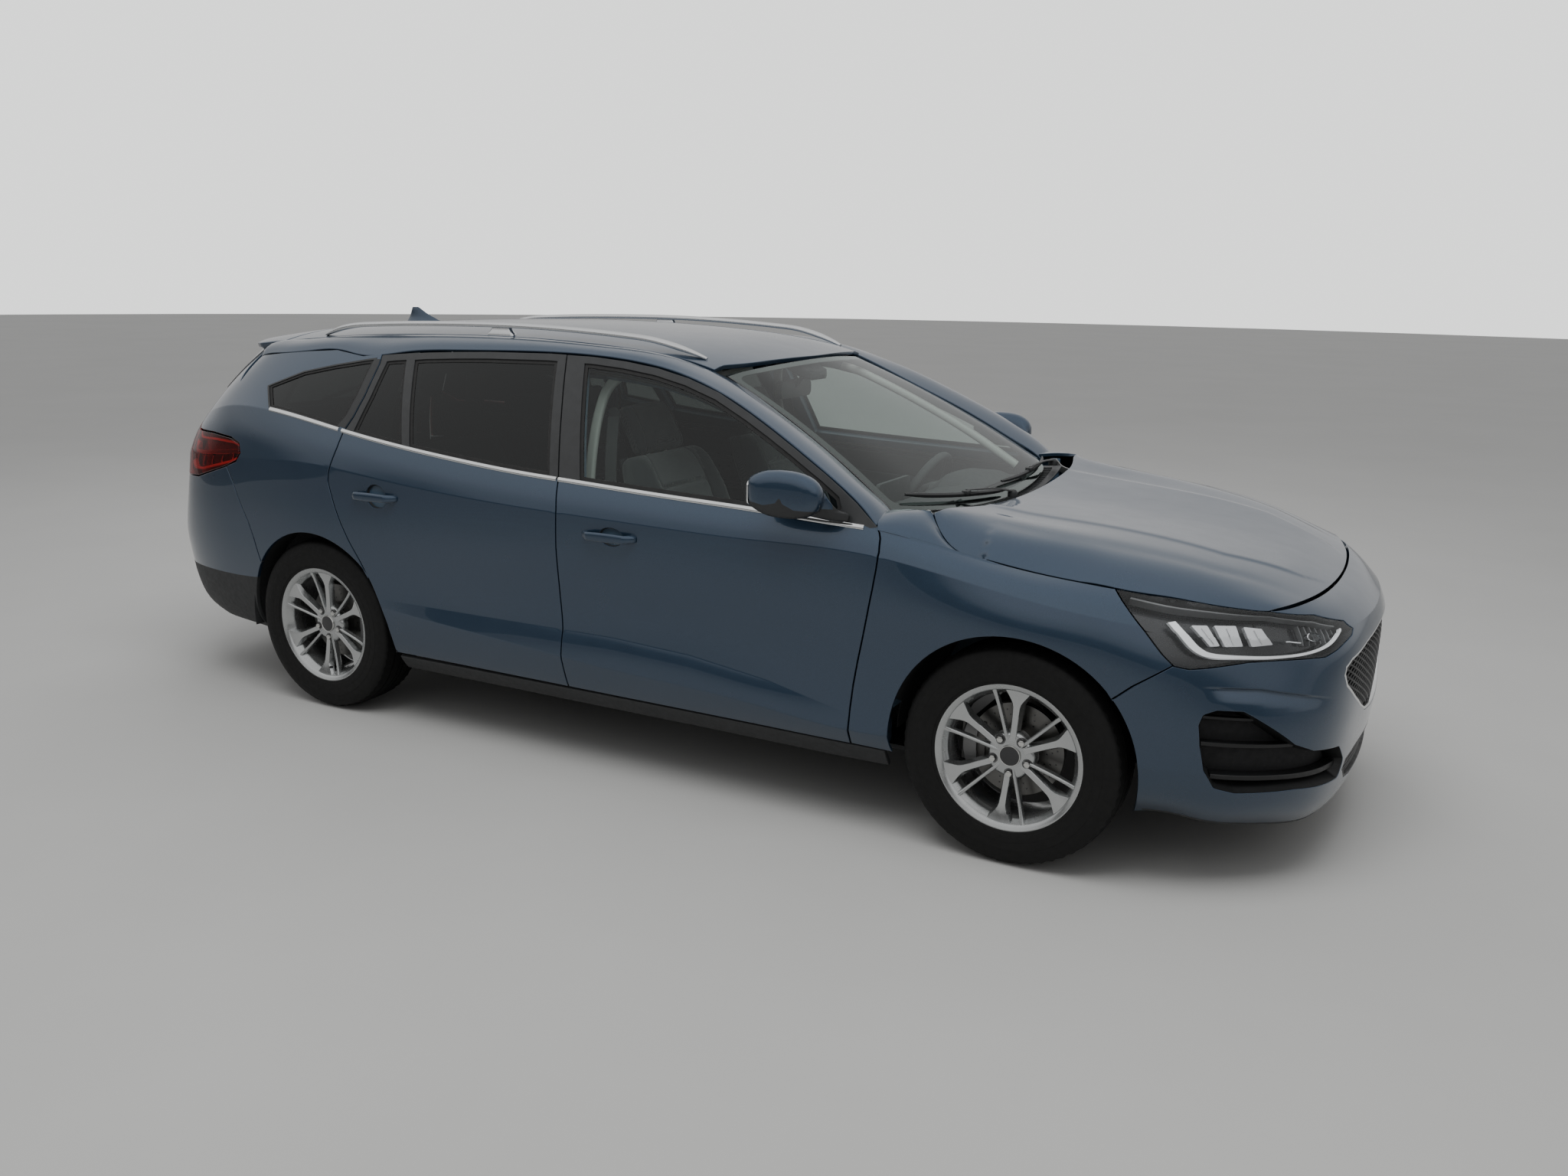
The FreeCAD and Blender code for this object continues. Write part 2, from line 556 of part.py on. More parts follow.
def offset_poly(pts, d):
    """Closed outline moved inwards by d metres (outwards if negative)."""
    q = []
    for p in pts:
        if not q or hypot(p[0] - q[-1][0], p[1] - q[-1][1]) > 1e-5:
            q.append(p)
    if hypot(q[0][0] - q[-1][0], q[0][1] - q[-1][1]) < 1e-5:
        q.pop()
    n = len(q)
    area = sum(q[i][0] * q[(i + 1) % n][1] - q[(i + 1) % n][0] * q[i][1] for i in range(n))
    sg = 1 if area > 0 else -1
    out = []
    for i in range(n):
        a, b, c = q[i - 1], q[i], q[(i + 1) % n]
        t0 = (b[0] - a[0], b[1] - a[1])
        t1 = (c[0] - b[0], c[1] - b[1])
        l0, l1 = hypot(*t0), hypot(*t1)
        n0 = (-t0[1] / l0 * sg, t0[0] / l0 * sg)
        n1 = (-t1[1] / l1 * sg, t1[0] / l1 * sg)
        k = 1 + n0[0] * n1[0] + n0[1] * n1[1]
        k = max(k, .45)
        out.append((b[0] + (n0[0] + n1[0]) * d / k, b[1] + (n0[1] + n1[1]) * d / k))
    return out


def biggest(s):
    sol = sorted(s.Solids, key=lambda a: -a.Volume)
    return sol[0]


def solids(s, least=2000.0):
    return [a for a in s.Solids if a.Volume > least]


OUT = {}


def put(name, shape):
    OUT[name] = shape


def rough_cyl(c, r0, r1, y0, y1, side, a0=-12, a1=192, n=None):
    """Arched sheet about a wheel: ring sector between radii r0 and r1 (mm), across y0..y1."""
    o = Part.makeCylinder(r1, y1 - y0, V(c[0] * 1000 + X_SHIFT, y0, c[1] * 1000), V(0, 1, 0))
    i = Part.makeCylinder(r0, y1 - y0 + 2, V(c[0] * 1000 + X_SHIFT, y0 - 1, c[1] * 1000), V(0, 1, 0))
    s = o.cut(i)
    low = box(c[0] * 1000 - r1 - 5, c[0] * 1000 + r1 + 5, y0 - 5, y1 + 5, -200, c[1] * 1000 - 40)
    s = s.cut(low)
    return s if side > 0 else mirror(s)


# ---------------------------------------------------------------------------
# Doors
# ---------------------------------------------------------------------------
U_DOOR = [ring_u(x) for x in frange(-1.30, .975, 18)]
V_SIDE = [.02, .05, .08, .13, .19, .245, .30, .37, .44, .51, .58, .66, .74, .79, .84, .89, .94]
V_UP = [.94, 1.0, 1.07, 1.14, 1.20, 1.28, 1.345, 1.40]
V_ALL = V_SIDE + V_UP[1:]

skin_full = net_slab(ring_fn, U_DOOR, V_ALL, 0, DOOR_FLANGE)
frame_full = net_slab(ring_fn, U_DOOR, V_UP, 0.3, FRAME_DEPTH)
inner_full = net_slab(ring_fn, U_DOOR, V_SIDE[1:-1], DOOR_FLANGE - .5, DOOR_DEPTH)
glass_full = net_slab(ring_fn, U_DOOR, V_UP, 8, 8 + GLASS_T)


def hinge_knuckles(x, z, door):
    """One hinge: pin and middle knuckle on the pillar, outer knuckles on the door leaf."""
    if door:
        out = []
        for z0 in (z + 11, z - 31):
            k = cyl(KNUCKLE_R, (x, HINGE_S, z0), (0, 0, 1), 20)
            leaf = box(x - 28, x, HINGE_S - 5, HINGE_S + 5, z0, z0 + 20)
            out.append(fuse([k, leaf]).cut(cyl(HINGE_PIN_R + .05, (x, HINGE_S, z0 - 1), (0, 0, 1), 22)))
        return out
    k = cyl(KNUCKLE_R, (x, HINGE_S, z - 10), (0, 0, 1), 20)
    leaf = box(x - 7, x + 7, HINGE_S - 100, HINGE_S, z - 10, z + 10)
    pin = cyl(HINGE_PIN_R, (x, HINGE_S, z - 31), (0, 0, 1), 62)
    return [fuse([k, leaf, pin])]


def door_solid(outline, glasses, x_axis, hz, zb_fn, front_in, rear_in, handle_x):
    o = offset_poly(outline, GAP / 1000)
    flange = skin_full.common(prism_y(o, 500, 1000))
    fr = offset_poly(outline, .008)
    frame = frame_full.common(prism_y([p for p in fr], 400, 1000))
    # inner box: stops short of the hinge end, follows the other edge, ends under the window
    edge = sorted([(z, x) for x, z in (R_EDGE if x_axis < 0 else B_SEAM)])

    def box_fn(t, v):
        z = RING.at(ring_u(-.7 if x_axis < 0 else .3), v)[2]
        x0 = lin(edge, z) + (.034 if x_axis < 0 else .030)
        return ring_fn(ring_u(x0 + (x_axis / 1000 - .020 - x0) * t), v)

    ib = net_slab(box_fn, frange(0, 1, 9), [.10] + V_SIDE[4:-1] + [.905], .5 * DOOR_FLANGE, DOOR_DEPTH)
    d = fuse([flange, frame])
    d = fuse([d, ib])
    d = fuse([d] + [k for z in hz for k in hinge_knuckles(x_axis, z, True)])
    for g in glasses:
        d = d.cut(prism_y(g, 400, 1000))
    # handle: a bar standing on two feet over a cup
    hx, hzc = handle_x
    cup = Part.makeSphere(46, V(hx + 6 + X_SHIFT, 936, hzc))
    d = d.cut(cup)
    yo = 0
    bar = box(hx - 95, hx + 95, 902, 922, hzc - 11, hzc + 11)
    feet = [box(hx - 93, hx - 55, 880, 906, hzc - 9, hzc + 9), box(hx + 60, hx + 93, 880, 906, hzc - 9, hzc + 9)]
    d = fuse([biggest(d), bar] + feet)
    return biggest(d)


def glass_solids(outlines):
    out = []
    for g in outlines:
        s = glass_full.common(prism_y(offset_poly(g, .0003), 400, 1000))
        out += solids(s)
    return out


FG, RG, RL, QG = front_glass_outline(), rear_glass_outline(), rear_light_outline(), quarter_glass_outline()
FDO, RDO = front_door_outline(), rear_door_outline()
X_AX_F = 941.0 - HINGE_BACK
X_AX_R = -203.0 - HINGE_BACK
fd = door_solid(FDO, [FG], X_AX_F, (480, 790), None, 0, 0, (5, 817))
rd = door_solid(RDO, [RG, RL], X_AX_R, (480, 790), None, 0, 0, (-1010, 849))
fgl = glass_solids([FG])
rgl = glass_solids([RG, RL])
for nm, s in (("front_door", fd), ("rear_door", rd)):
    put("left_" + nm, s)
    put("right_" + nm, mirror(s))
put("left_front_door_glass", Part.Compound(fgl))
put("right_front_door_glass", mirror(Part.Compound(fgl)))
put("left_rear_door_glass", Part.Compound(rgl))
put("right_rear_door_glass", mirror(Part.Compound(rgl)))

# ---------------------------------------------------------------------------
# Body sides: sill, hinge pillar, centre pillar, quarter with wheelhouse, roof side rail
# ---------------------------------------------------------------------------
U_Q = [ring_u(x) for x in frange(-1.94, -.90, 14)]
u_c = RING.uk[[i for i, r in enumerate(RING.rows) if abs(r[4][0] + 2.21) < 1e-6 and r[4][1] > 0][0]]
U_Q = [u_c - .022] + [u_c + (U_Q[0] - u_c) * k for k in (.3, .65)] + U_Q
Q_skin = net_slab(ring_fn, U_Q, V_ALL, 0, 40)
seam_r = offset_poly(RDO, -GAP / 1000)
q_out = [(-1.02, .20), (-1.02, 1.50), (-1.60, 1.50), (-2.30, 1.50), (-2.30, 1.004)]
q_out += [(-2.06, 1.003), (-1.954, 1.005), (-1.82, .999), (-1.760, .982), (-1.747, .945), (-1.772, .912), (-1.832, .890),
          (-1.786, .833), (-1.751, .776), (-1.695, .690), (-1.669, .630), (-1.640, .536), (-1.600, .450), (-1.600, .20)]
quarter = Q_skin.common(prism_y(q_out, 300, 1000))
quarter = quarter.cut(prism_y(seam_r, 300, 1000)).cut(prism_y(QG, 300, 1000))
quarter = quarter.cut(cyl(ARCH_R[2] * 1000, (ARCH_R[0] * 1000, 300, ARCH_R[1] * 1000), (0, 1, 0), 700))
quarter = quarter.cut(box(-1100, -900, 300, 1000, 100, 480))
qg = net_slab(ring_fn, U_Q, V_UP, 8, 8 + GLASS_T).common(prism_y(offset_poly(QG, .0003), 300, 1000))
quarter_glass = Part.Compound(solids(qg))

# side rail: a strip from the windscreen foot over the doors to the tailgate
RAIL_OUT = part_of(DLO_TOP, -1.158, DLO_TOP[-1][0])


def rail_sections():
    rows = []
    xs = [(-1.83, None), (-1.70, None), (-1.55, None), (-1.40, None), (-1.25, None), (-1.05, None), (-.8, None), (-.5, None), (-.2, None), (.05, None),
          (.20, None), (.35, None), (.50, None), (.65, None), (.80, None), (.88, None)]
    for x, _ in xs:
        if x > -1.3:
            zt = lin(DLO_TOP, x) + .0035
        else:
            zt = curve1([(-1.83, 1.300), (-1.6, 1.325), (-1.3, 1.345), (-1.0, 1.353)], x)
        u, v = ring_find(x, zt)
        p = RING.at(u, v)
        # inner edge: roof edge behind, windscreen edge ahead
        if x <= .10:
            q = (x, .560, roof_z(x, .560))
        else:
            k = (x - .10) / (.88 - .10)
            wx, ws, wz = .19 + (.892 - .19) * k, .505 + (.700 - .505) * k, 1.322 + (.966 - 1.322) * k
            kk = min(1.0, (x - .10) / .18)
            r0 = (x, .560, roof_z(x, .560))
            b = .022 * 4 * k * (1 - k)
            q = tuple(r0[c] * (1 - kk) + (wx + b * .4, ws + .006, wz + b * .88)[c] * kk for c in range(3))
        m = tuple((p[c] + q[c]) / 2 for c in range(3))
        up_ = (0, .5, .6)
        ln = sqrt(.61)
        hgt = .014 + .006 * (x > .2)
        m = (m[0], m[1] + hgt * .5 / ln, m[2] + hgt * .6 / ln)
        rows.append((p, m, q))
    return rows


RS = rail_sections()


def rail_slab(depth):
    go, gi = [], []
    for p, m, q in RS:
        d = depth / 1000
        cin = (0, -.55, -.83)
        go.append([vec(p), vec(((p[0] + 2 * m[0]) / 3, (p[1] + 2 * m[1]) / 3 + .003, (p[2] + 2 * m[2]) / 3 + .003)), vec(m),
                   vec(((q[0] + 2 * m[0]) / 3, (q[1] + 2 * m[1]) / 3, (q[2] + 2 * m[2]) / 3 + .003)), vec(q)])
        row = []
        for a, k in ((p, (-.0, -1.0, .12)), (m, (0, -.72, -.70)), (q, (0, -.25, -.97))):
            row.append((a[0], a[1] + k[1] * d, a[2] + k[2] * d))
        r0, r1, r2 = row
        gi.append([vec(r0), vec(((r0[0] + 2 * r1[0]) / 3, (r0[1] + 2 * r1[1]) / 3, (r0[2] + 2 * r1[2]) / 3)), vec(r1),
                   vec(((r2[0] + 2 * r1[0]) / 3, (r2[1] + 2 * r1[1]) / 3, (r2[2] + 2 * r1[2]) / 3)), vec(r2)])
    return surf_slab(go, gi)


rail = rail_slab(42)
# sill beam, pillars
sill = box(-985, 985, 735, 800, 228, 330)
hinge_pillar = box(866, 985, 690, 775, 300, 935).cut(box(966, 990, 680, 780, 290, 440))
U_B = [ring_u(x) for x in frange(-.40, -.06, 4)]
b_up = net_slab(ring_fn, U_B, [.90, .94, 1.0, 1.07, 1.14, 1.20, 1.28, 1.345, 1.38], 52, 98)
b_line = [(-.362, 1.40), (-.318, 1.184), (-.286, 1.012), (-.153, 1.012), (-.196, 1.184), (-.262, 1.40)]
b_upper = b_up.common(prism_y(b_line, 300, 1000))
b_lower = box(-325, -115, 715, 775, 300, 985)
b_mid = fuse([prism_y([(-.325, .93), (-.325, .99), (-.345, 1.12), (-.215, 1.12), (-.150, .99), (-.115, .93)], 690, 736),
              prism_y([(-.325, .93), (-.325, .99), (-.335, 1.05), (-.185, 1.05), (-.150, .99), (-.115, .93)], 700, 750)])
hin = []
for z in (480, 790):
    hin += hinge_knuckles(X_AX_F, z, False) + hinge_knuckles(X_AX_R, z, False)
# quarter inner: wheelhouse, and the foot joining the sill to the quarter
wh = rough_cyl(ARCH_R, 372, 380, 500, 868, 1)
wh = fuse([wh, Part.makeCylinder(380, 8, V(ARCH_R[0] * 1000 + X_SHIFT, 500, ARCH_R[1] * 1000), V(0, 1, 0)).cut(
    box(-1800, -900, 400, 600, -100, 420))])
wh = wh.cut(box(-1870, -1650, 786, 900, 150, 565)).cut(box(-1870, -1590, 853, 900, 150, 780)).cut(box(-1030, -900, 838, 900, 150, 480))
foot = box(-1010, -977, 735, 838, 232, 300)
side = fuse([quarter, rail, sill, hinge_pillar, b_upper, b_lower, b_mid, wh, foot] + hin)
put("left_body_side", side)
put("right_body_side", mirror(side))
put("quarter_glass", Part.Compound(quarter_glass.Solids + mirror(quarter_glass).Solids))

# sill trims under the doors
U_S = [ring_u(x) for x in frange(-.96, .97, 10)]
st = net_slab(ring_fn, U_S, [.0, .03, .055, .075], 0, 14).common(box(-975, 970, 700, 1000, 150, 266))
st = fuse([st, box(-960, 960, 801, 850, 222, 232)])
put("sill_trims", Part.Compound([biggest(st), biggest(mirror(st))]))


# ---------------------------------------------------------------------------
# Surfaces that cross the centre plane
# ---------------------------------------------------------------------------
def ring_wrap(u, v):
    """Body ring past either centre line, onto the other side."""
    if u > RING.u1:
        p, n = ring_fn(2 * RING.u1 - u, v)
        return (p[0], -p[1], p[2]), (n[0], -n[1], n[2])
    if u < RING.u0:
        p, n = ring_fn(2 * RING.u0 - u, v)
        return (p[0], -p[1], p[2]), (n[0], -n[1], n[2])
    return ring_fn(u, v)


def hood_fn(u, v):
    n = HOOD.normal(u, v)
    return HOOD.at(u, v), (n if n[2] > 0 else (-n[0], -n[1], -n[2]))


def corner_fn(u, v):
    n = CORNER.normal(u, v)
    return CORNER.at(u, v), (n if n[2] > 0 else (-n[0], -n[1], -n[2]))


def ws_fn(u, v):
    s = -1 if u < 0 else 1
    p = WSCREEN.at(abs(u), v)
    n = WSCREEN.normal(abs(u), v)
    if n[2] < 0:
        n = (-n[0], -n[1], -n[2])
    return (p[0], s * p[1], p[2]), (n[0], s * n[1], n[2])


def ws_top_x(s):
    return curve1([(-b, x) for b, x, z in WS_TOP[:0:-1]] + [(b, x) for b, x, z in WS_TOP], s)


def roof_fn(x0, x1, hw):
    def f(t, w):
        s = w * hw
        x = x0(s) * (1 - t) + x1 * t
        p = (x, s, roof_z(x, abs(s)))
        e = .002
        dx = (roof_z(x + e, abs(s)) - roof_z(x - e, abs(s))) / (2 * e)
        ds = (roof_z(x, abs(s) + e) - roof_z(x, abs(s) - e)) / (2 * e) * (1 if s >= 0 else -1)
        l = sqrt(1 + dx * dx + ds * ds)
        return p, (-dx / l, -ds / l, 1 / l)
    return f


W11 = frange(-1, 1, 10)
roof = net_slab(roof_fn(lambda s: ws_top_x(max(-.5, min(.5, s))) - .006, -1.788, .552), frange(0, 1, 14), W11, 0, ROOF_T)
for s in (1, -1):
    a, b = (541, 600) if s > 0 else (-600, -541)
    roof = roof.cut(box(96, 300, a, b, 1200, 1500))
    a, b = (262, 292) if s > 0 else (-292, -262)
    roof = roof.cut(box(-1762, -1718, a, b, 1340, 1387.5))
put("roof_panel", roof)
put("windscreen", net_slab(ws_fn, frange(-.675, .675, 12), frange(.0, .872, 8), 2, 7))

hood = net_slab(hood_fn, [.006, .05, .12, .25, .36, .48, .60, .72, .82, .90, .96, 1.022],
                [-.816, -.79, -.75, -.70, -.66, -.58, -.50, -.39, -.28, -.14, 0, .14, .28, .39, .50, .58, .66, .70, .75, .79, .816],
                0, HOOD_T)
arms = []
for s in (-1, 1):
    y0 = s * 640
    arm = prism_y([(.985, .945), (.985, .969), (1.05, .958), (1.12, .948), (1.20, .945), (1.20, .925), (1.12, .928), (1.05, .935)],
                  640, 652, s)
    eye = cyl(11, (HOOD_AXIS[0], s * 640 if s > 0 else -652, HOOD_AXIS[1]), (0, 1, 0), 12)
    arms.append(fuse([arm, eye]).cut(cyl(5.05, (HOOD_AXIS[0], -700, HOOD_AXIS[1]), (0, 1, 0), 1400)))
hood = fuse([hood] + arms)
put("hood", hood)

# wings
U_W = [ring_u(.935)] + [ring_u(x) for x in (1.0, 1.08, 1.16, 1.25, 1.35, 1.45, 1.55, 1.65, 1.72, 1.78, 1.84)]
wing = net_slab(ring_fn, U_W, V_SIDE, 0, SKIN)
w_out = [(.8635, .2725), (1.610, .2725), (1.610, .530), (1.632, .553), (1.684, .598), (1.776, .6635), (1.74, .692), (1.690, .750),
         (1.634, .805), (1.596, .840), (1.45, 1.05), (.936, 1.05), (.936, .950), (.944, .915), (.9485, .877), (.9435, .825),
         (.9355, .769), (.9225, .698), (.9085, .626), (.8905, .540), (.8775, .466), (.8695, .393), (.8655, .320)]
wing = wing.common(prism_y(w_out, 500, 1000))
wing = wing.cut(cyl(ARCH_F[2] * 1000, (ARCH_F[0] * 1000, 300, ARCH_F[1] * 1000), (0, 1, 0), 700))
corner = net_slab(corner_fn, [.004, .04, .09, .145, .20, .26, .316], [.0, .025, .05, .08, .11, .15, .186], 0, SKIN)
wing = fuse([biggest(wing), corner])
wing = biggest(wing.cut(prism_y(offset_poly(FDO, -.0024), 600, 1000)))
put("front_wings", Part.Compound([biggest(wing), biggest(mirror(wing))]))

# headlamps
U_L = [ring_u(1.56), ring_u(1.62)] + [RING.uk[i] for i, r in enumerate(RING.rows) if r[4][1] > 0 and r[4][0] > 1.75] + [RING.u1 - .2]
lamp_s = net_slab(ring_fn, U_L, V_SIDE[5:], .6, 70)
lamp = lamp_s.common(prism_y(offset_poly(LAMP_F, .0018), 300, 1000))
lamp = biggest(lamp)
under_hood = net_slab(hood_fn, frange(-.02, .5, 7), [-.829, -.79, -.75, -.70, -.66, -.58, -.50, -.39], -4, HOOD_T + 4)
under_hood = biggest(mirror(under_hood)) if under_hood.BoundBox.YMax < 0 else under_hood
lamp = biggest(lamp.cut(under_hood))
put("headlamps", Part.Compound([lamp, mirror(lamp)]))

# front bumper
u_a = ring_u(1.64)
half = frange(u_a, RING.u1, 13)
U_F = half + [2 * RING.u1 - u for u in half[-2::-1]]
GRILLE = [(0, .672), (.110, .669), (.285, .656), (.433, .636), (.470, .620), (.480, .598), (.463, .562), (.386, .509), (.300, .462), (.223, .430), (.12, .416), (0, .412)]
GR_FULL = GRILLE + [(-a, b) for a, b in GRILLE[-2:0:-1]]
LOWER = [(0, .335), (.30, .335), (.44, .325), (.46, .30), (.40, .255), (.30, .238), (0, .232)]
LO_FULL = LOWER + [(-a, b) for a, b in LOWER[-2:0:-1]]
bump = net_slab(ring_wrap, U_F, V_SIDE[:-1] + [.934], 0, SKIN)
bump = bump.cut(prism_y(offset_poly([(1.60, .526), (1.632, .553), (1.684, .598), (1.776, .6635), (1.72, .72), (1.634, .81),
                                     (1.58, .90), (1.40, .90), (1.40, .526)], -GAP / 1000), -1000, 1000))
for s in (1, -1):
    bump = bump.cut(prism_y(offset_poly(LAMP_F, -.0018), 300, 1000, s)).cut(prism_y(INTAKE, 280, 1000, s))
bump = bump.cut(prism_x(GR_FULL, 1900, 2300)).cut(prism_x(LO_FULL, 1900, 2300))
bump = bump.cut(cyl(ARCH_F[2] * 1000, (ARCH_F[0] * 1000, -1000, ARCH_F[1] * 1000), (0, 1, 0), 2000))
bump = biggest(bump)
put("front_bumper", bump)
U_G = frange(RING.u1 - .52, RING.u1 + .52, 12)
gsl = net_slab(ring_wrap, U_G, V_SIDE[:-4], 12, 30)
gr1 = gsl.common(prism_x(offset_poly(GR_FULL, .002), 1900, 2300))
gr2 = gsl.common(prism_x(offset_poly(LO_FULL, .002), 1900, 2300))
put("grille", Part.Compound([biggest(gr1), biggest(gr2)]))

# rear bumper
u_b = ring_u(-1.66)
half = frange(-u_b, 0, 14)
U_R = half + [-u for u in half[-2::-1]]
rb = net_slab(ring_wrap, U_R, [0, .04, .08, .13, .19, .30, .44, .51, .58, .66, .74, .79], 0, SKIN)
seam = [(-1.600, .450), (-1.640, .536), (-1.669, .630), (-1.695, .690), (-1.751, .776), (-1.786, .833), (-1.833, .889), (-1.905, .867), (-2.043, .827),
        (-2.32, .812), (-2.60, .812), (-2.60, 1.2), (-1.4, 1.2), (-1.4, .45)]
rb = rb.cut(prism_y(offset_poly(seam, -.003), -1000, 1000))
rb = rb.cut(prism_x([(-.700, .738), (.700, .738), (.700, 1.0), (-.700, 1.0)], -2600, -2000))
rb = rb.cut(cyl(ARCH_R[2] * 1000, (ARCH_R[0] * 1000, -1000, ARCH_R[1] * 1000), (0, 1, 0), 2000))
put("rear_bumper", biggest(rb))

# tail lamps on the body
lr = net_slab(ring_fn, [u_c - .085, u_c - .03] + U_Q[1:8], V_SIDE[9:], .6, 55).common(prism_y(offset_poly(LAMP_R, .0018), 300, 1000))
put("tail_lamps", Part.Compound([biggest(lr), mirror(biggest(lr))]))

# ---------------------------------------------------------------------------
# Tailgate
# ---------------------------------------------------------------------------
U_T = [-u for u in frange(0, u_c - .030, 8)][:0:-1] + frange(0, u_c - .030, 8)
t_up = net_slab(ring_wrap, U_T, [.90, .94, 1.0, 1.07, 1.14, 1.20, 1.28, 1.345, 1.42], 0, 34)
t_lo = net_slab(ring_wrap, [-u for u in frange(0, u_c - .105, 7)][:0:-1] + frange(0, u_c - .105, 7),
                [.585, .62, .66, .70, .74, .79, .84, .89, .95], 0, 62)
spoiler = net_slab(roof_fn(lambda s: -1.800, -2.045, .544), frange(0, 1, 6), W11, 0, 30)
RGLASS = [(0, 1.352), (.30, 1.345), (.43, 1.322), (.470, 1.285), (.530, 1.16), (.565, 1.075), (.555, 1.048), (.50, 1.042), (0, 1.036)]
RGF = RGLASS + [(-a, b) for a, b in RGLASS[-2:0:-1]]
gate = fuse([t_up, t_lo, spoiler])
gate = gate.cut(prism_x(RGF, -2600, -1850))
g_arms = []
for s in (1, -1):
    ax, az = GATE_AXIS[0] / 1000, GATE_AXIS[1] / 1000
    pl = [(0, .010), (.010, -.002), (.012, -.060), (.018, -.070), (-.048, -.078), (-.060, -.060), (-.064, -.022)]
    pts = [(ax + .008, az), (ax + .006, az - .072), (ax - .045, az - .088), (ax - .080, az - .045), (ax - .080, az - .010),
           (ax - .062, az - .012), (ax - .058, az - .040), (ax - .040, az - .066), (ax - .010, az - .056), (ax - .008, az)]
    a = prism_y(pts, 270, 284, s)
    e = cyl(11, (GATE_AXIS[0], 270 if s > 0 else -284, GATE_AXIS[1]), (0, 1, 0), 14)
    g_arms.append(fuse([a, e]).cut(cyl(5.05, (GATE_AXIS[0], -400, GATE_AXIS[1]), (0, 1, 0), 800)))
gate = fuse([gate] + g_arms)
LT = [(.655, .838), (.655, .955), (.52, .955), (.36, .935), (.345, .895), (.40, .850)]
put("tailgate", gate)
gg = net_slab(ring_wrap, U_T, [.95, 1.0, 1.07, 1.14, 1.20, 1.28, 1.345, 1.41], 3, 3 + GLASS_T).common(
    prism_x(offset_poly(RGF, .0006), -2600, -1850))
put("tailgate_glass", biggest(gg))
tl = []
lt_s = net_slab(ring_wrap, frange(.28, u_c - .110, 6), [.66, .70, .74, .79, .84, .89], -7.4, -1.4)
l1 = biggest(lt_s.common(prism_x(offset_poly(LT, .004), -2600, -2000)))
put("tailgate_lamps", Part.Compound([l1, mirror(l1)]))

# ---------------------------------------------------------------------------
# Roof rails, antenna, cowl, wipers
# ---------------------------------------------------------------------------
def bar(points, w, h, side=1):
    """Straight-sided bar through points (x, s, z of its underside), metres; w, h mm."""
    wires = []
    for x, s, z in points:
        c = [(-w / 2, 0), (w / 2, 0), (w / 2 - 4, h), (-w / 2 + 4, h)]
        pl = [V(x * 1000 + X_SHIFT, side * (s * 1000 + a), z * 1000 + b) for a, b in c]
        wires.append(Part.makePolygon(pl + [pl[0]]))
    return Part.makeLoft(wires, True, True)


def rail_bar(side):
    pts = [(.125, .505, roof_z(.125, .505) - .001), (.03, .520, roof_z(.03, .520) + .012)]
    for x in (-.10, -.30, -.60, -.90, -1.20, -1.40):
        pts.append((x, .532, roof_z(x, .532) + .026))
    pts += [(-1.53, .532, roof_z(-1.53, .532) + .016), (-1.60, .528, roof_z(-1.60, .528) - .001)]
    b = bar(pts, 32, 16, side)
    feet = []
    for x in (.06, -.72, -1.50):
        z = roof_z(x, .53) * 1000
        feet.append(box(x * 1000 - 45, x * 1000 + 45, side * 520, side * 544, z + .5, z + 30))
    return fuse([b] + feet)


rr = rail_bar(1)
roofcut = roof
put("roof_rails", Part.Compound([biggest(rr.cut(roof)), biggest(mirror(rr).cut(roof))]))
fin = []
for z, x0, x1, w in ((-14, -1.675, -1.512, 36), (22, -1.664, -1.552, 22), (44, -1.658, -1.598, 10), (61.5, -1.654, -1.616, 5)):
    xm = x0 * .6 + x1 * .4
    pl = [V(a * 1000 + X_SHIFT, b, 1419 + z) for a, b in ((x0, 0), (xm, -w / 2), (x1, 0), (xm, w / 2))]
    fin.append(Part.makePolygon(pl + [pl[0]]))
put("antenna", biggest(Part.makeLoft(fin, True, True).cut(roof)))
cowl = net_slab(lambda t, w: ((.985 + .085 * t - .10 * (w * w) * (1 - .55 * t), w * .62, .905 + .012 * t + .035 * w * w), (0, 0, 1.0)), frange(0, 1, 3),
                W11, 0, 6)
put("cowl", cowl)

# wipers: arm and blade, lying on the glass foot
def wiper(y0, y1, side):
    a = []
    for k in frange(0, 1, 6):
        y = y0 + (y1 - y0) * k
        ss = abs(y)
        xb = curve1([(-b, x) for b, x, z in WS_BASE[:0:-1]] + [(b, x) for b, x, z in WS_BASE], y)
        zb = curve1([(-b, z) for b, x, z in WS_BASE[:0:-1]] + [(b, z) for b, x, z in WS_BASE], y)
        a.append((xb - .012 - .03 * k, y, zb + .022 + .018 * k))
    wires = []
    for x, y, z in a:
        c = [(-9, -5), (9, -5), (9, 5), (-9, 5)]
        pl = [V(x * 1000 + X_SHIFT + q, y * 1000, z * 1000 + r) for q, r in c]
        wires.append(Part.makePolygon(pl + [pl[0]]))
    return Part.makeLoft(wires, True, True)


put("wipers", Part.Compound([wiper(.58, -.02, 1), wiper(-.06, -.62, 1)]))
rwz = []
for k in frange(0, 1, 4):
    y = .02 + .36 * k
    u = RING.u0 + .02 + .36 * k
    p, n = ring_wrap(u, .985)
    q = [p[c] + n[c] * .004 for c in range(3)]
    w = []
    for a, b in ((-8, 0), (8, 0), (8, 9), (-8, 9)):
        w.append(V(q[0] * 1000 + X_SHIFT + n[0] * b, q[1] * 1000, q[2] * 1000 + a + n[2] * b))
    rwz.append(Part.makePolygon(w + [w[0]]))
put("rear_wiper", Part.makeLoft(rwz, True, True))

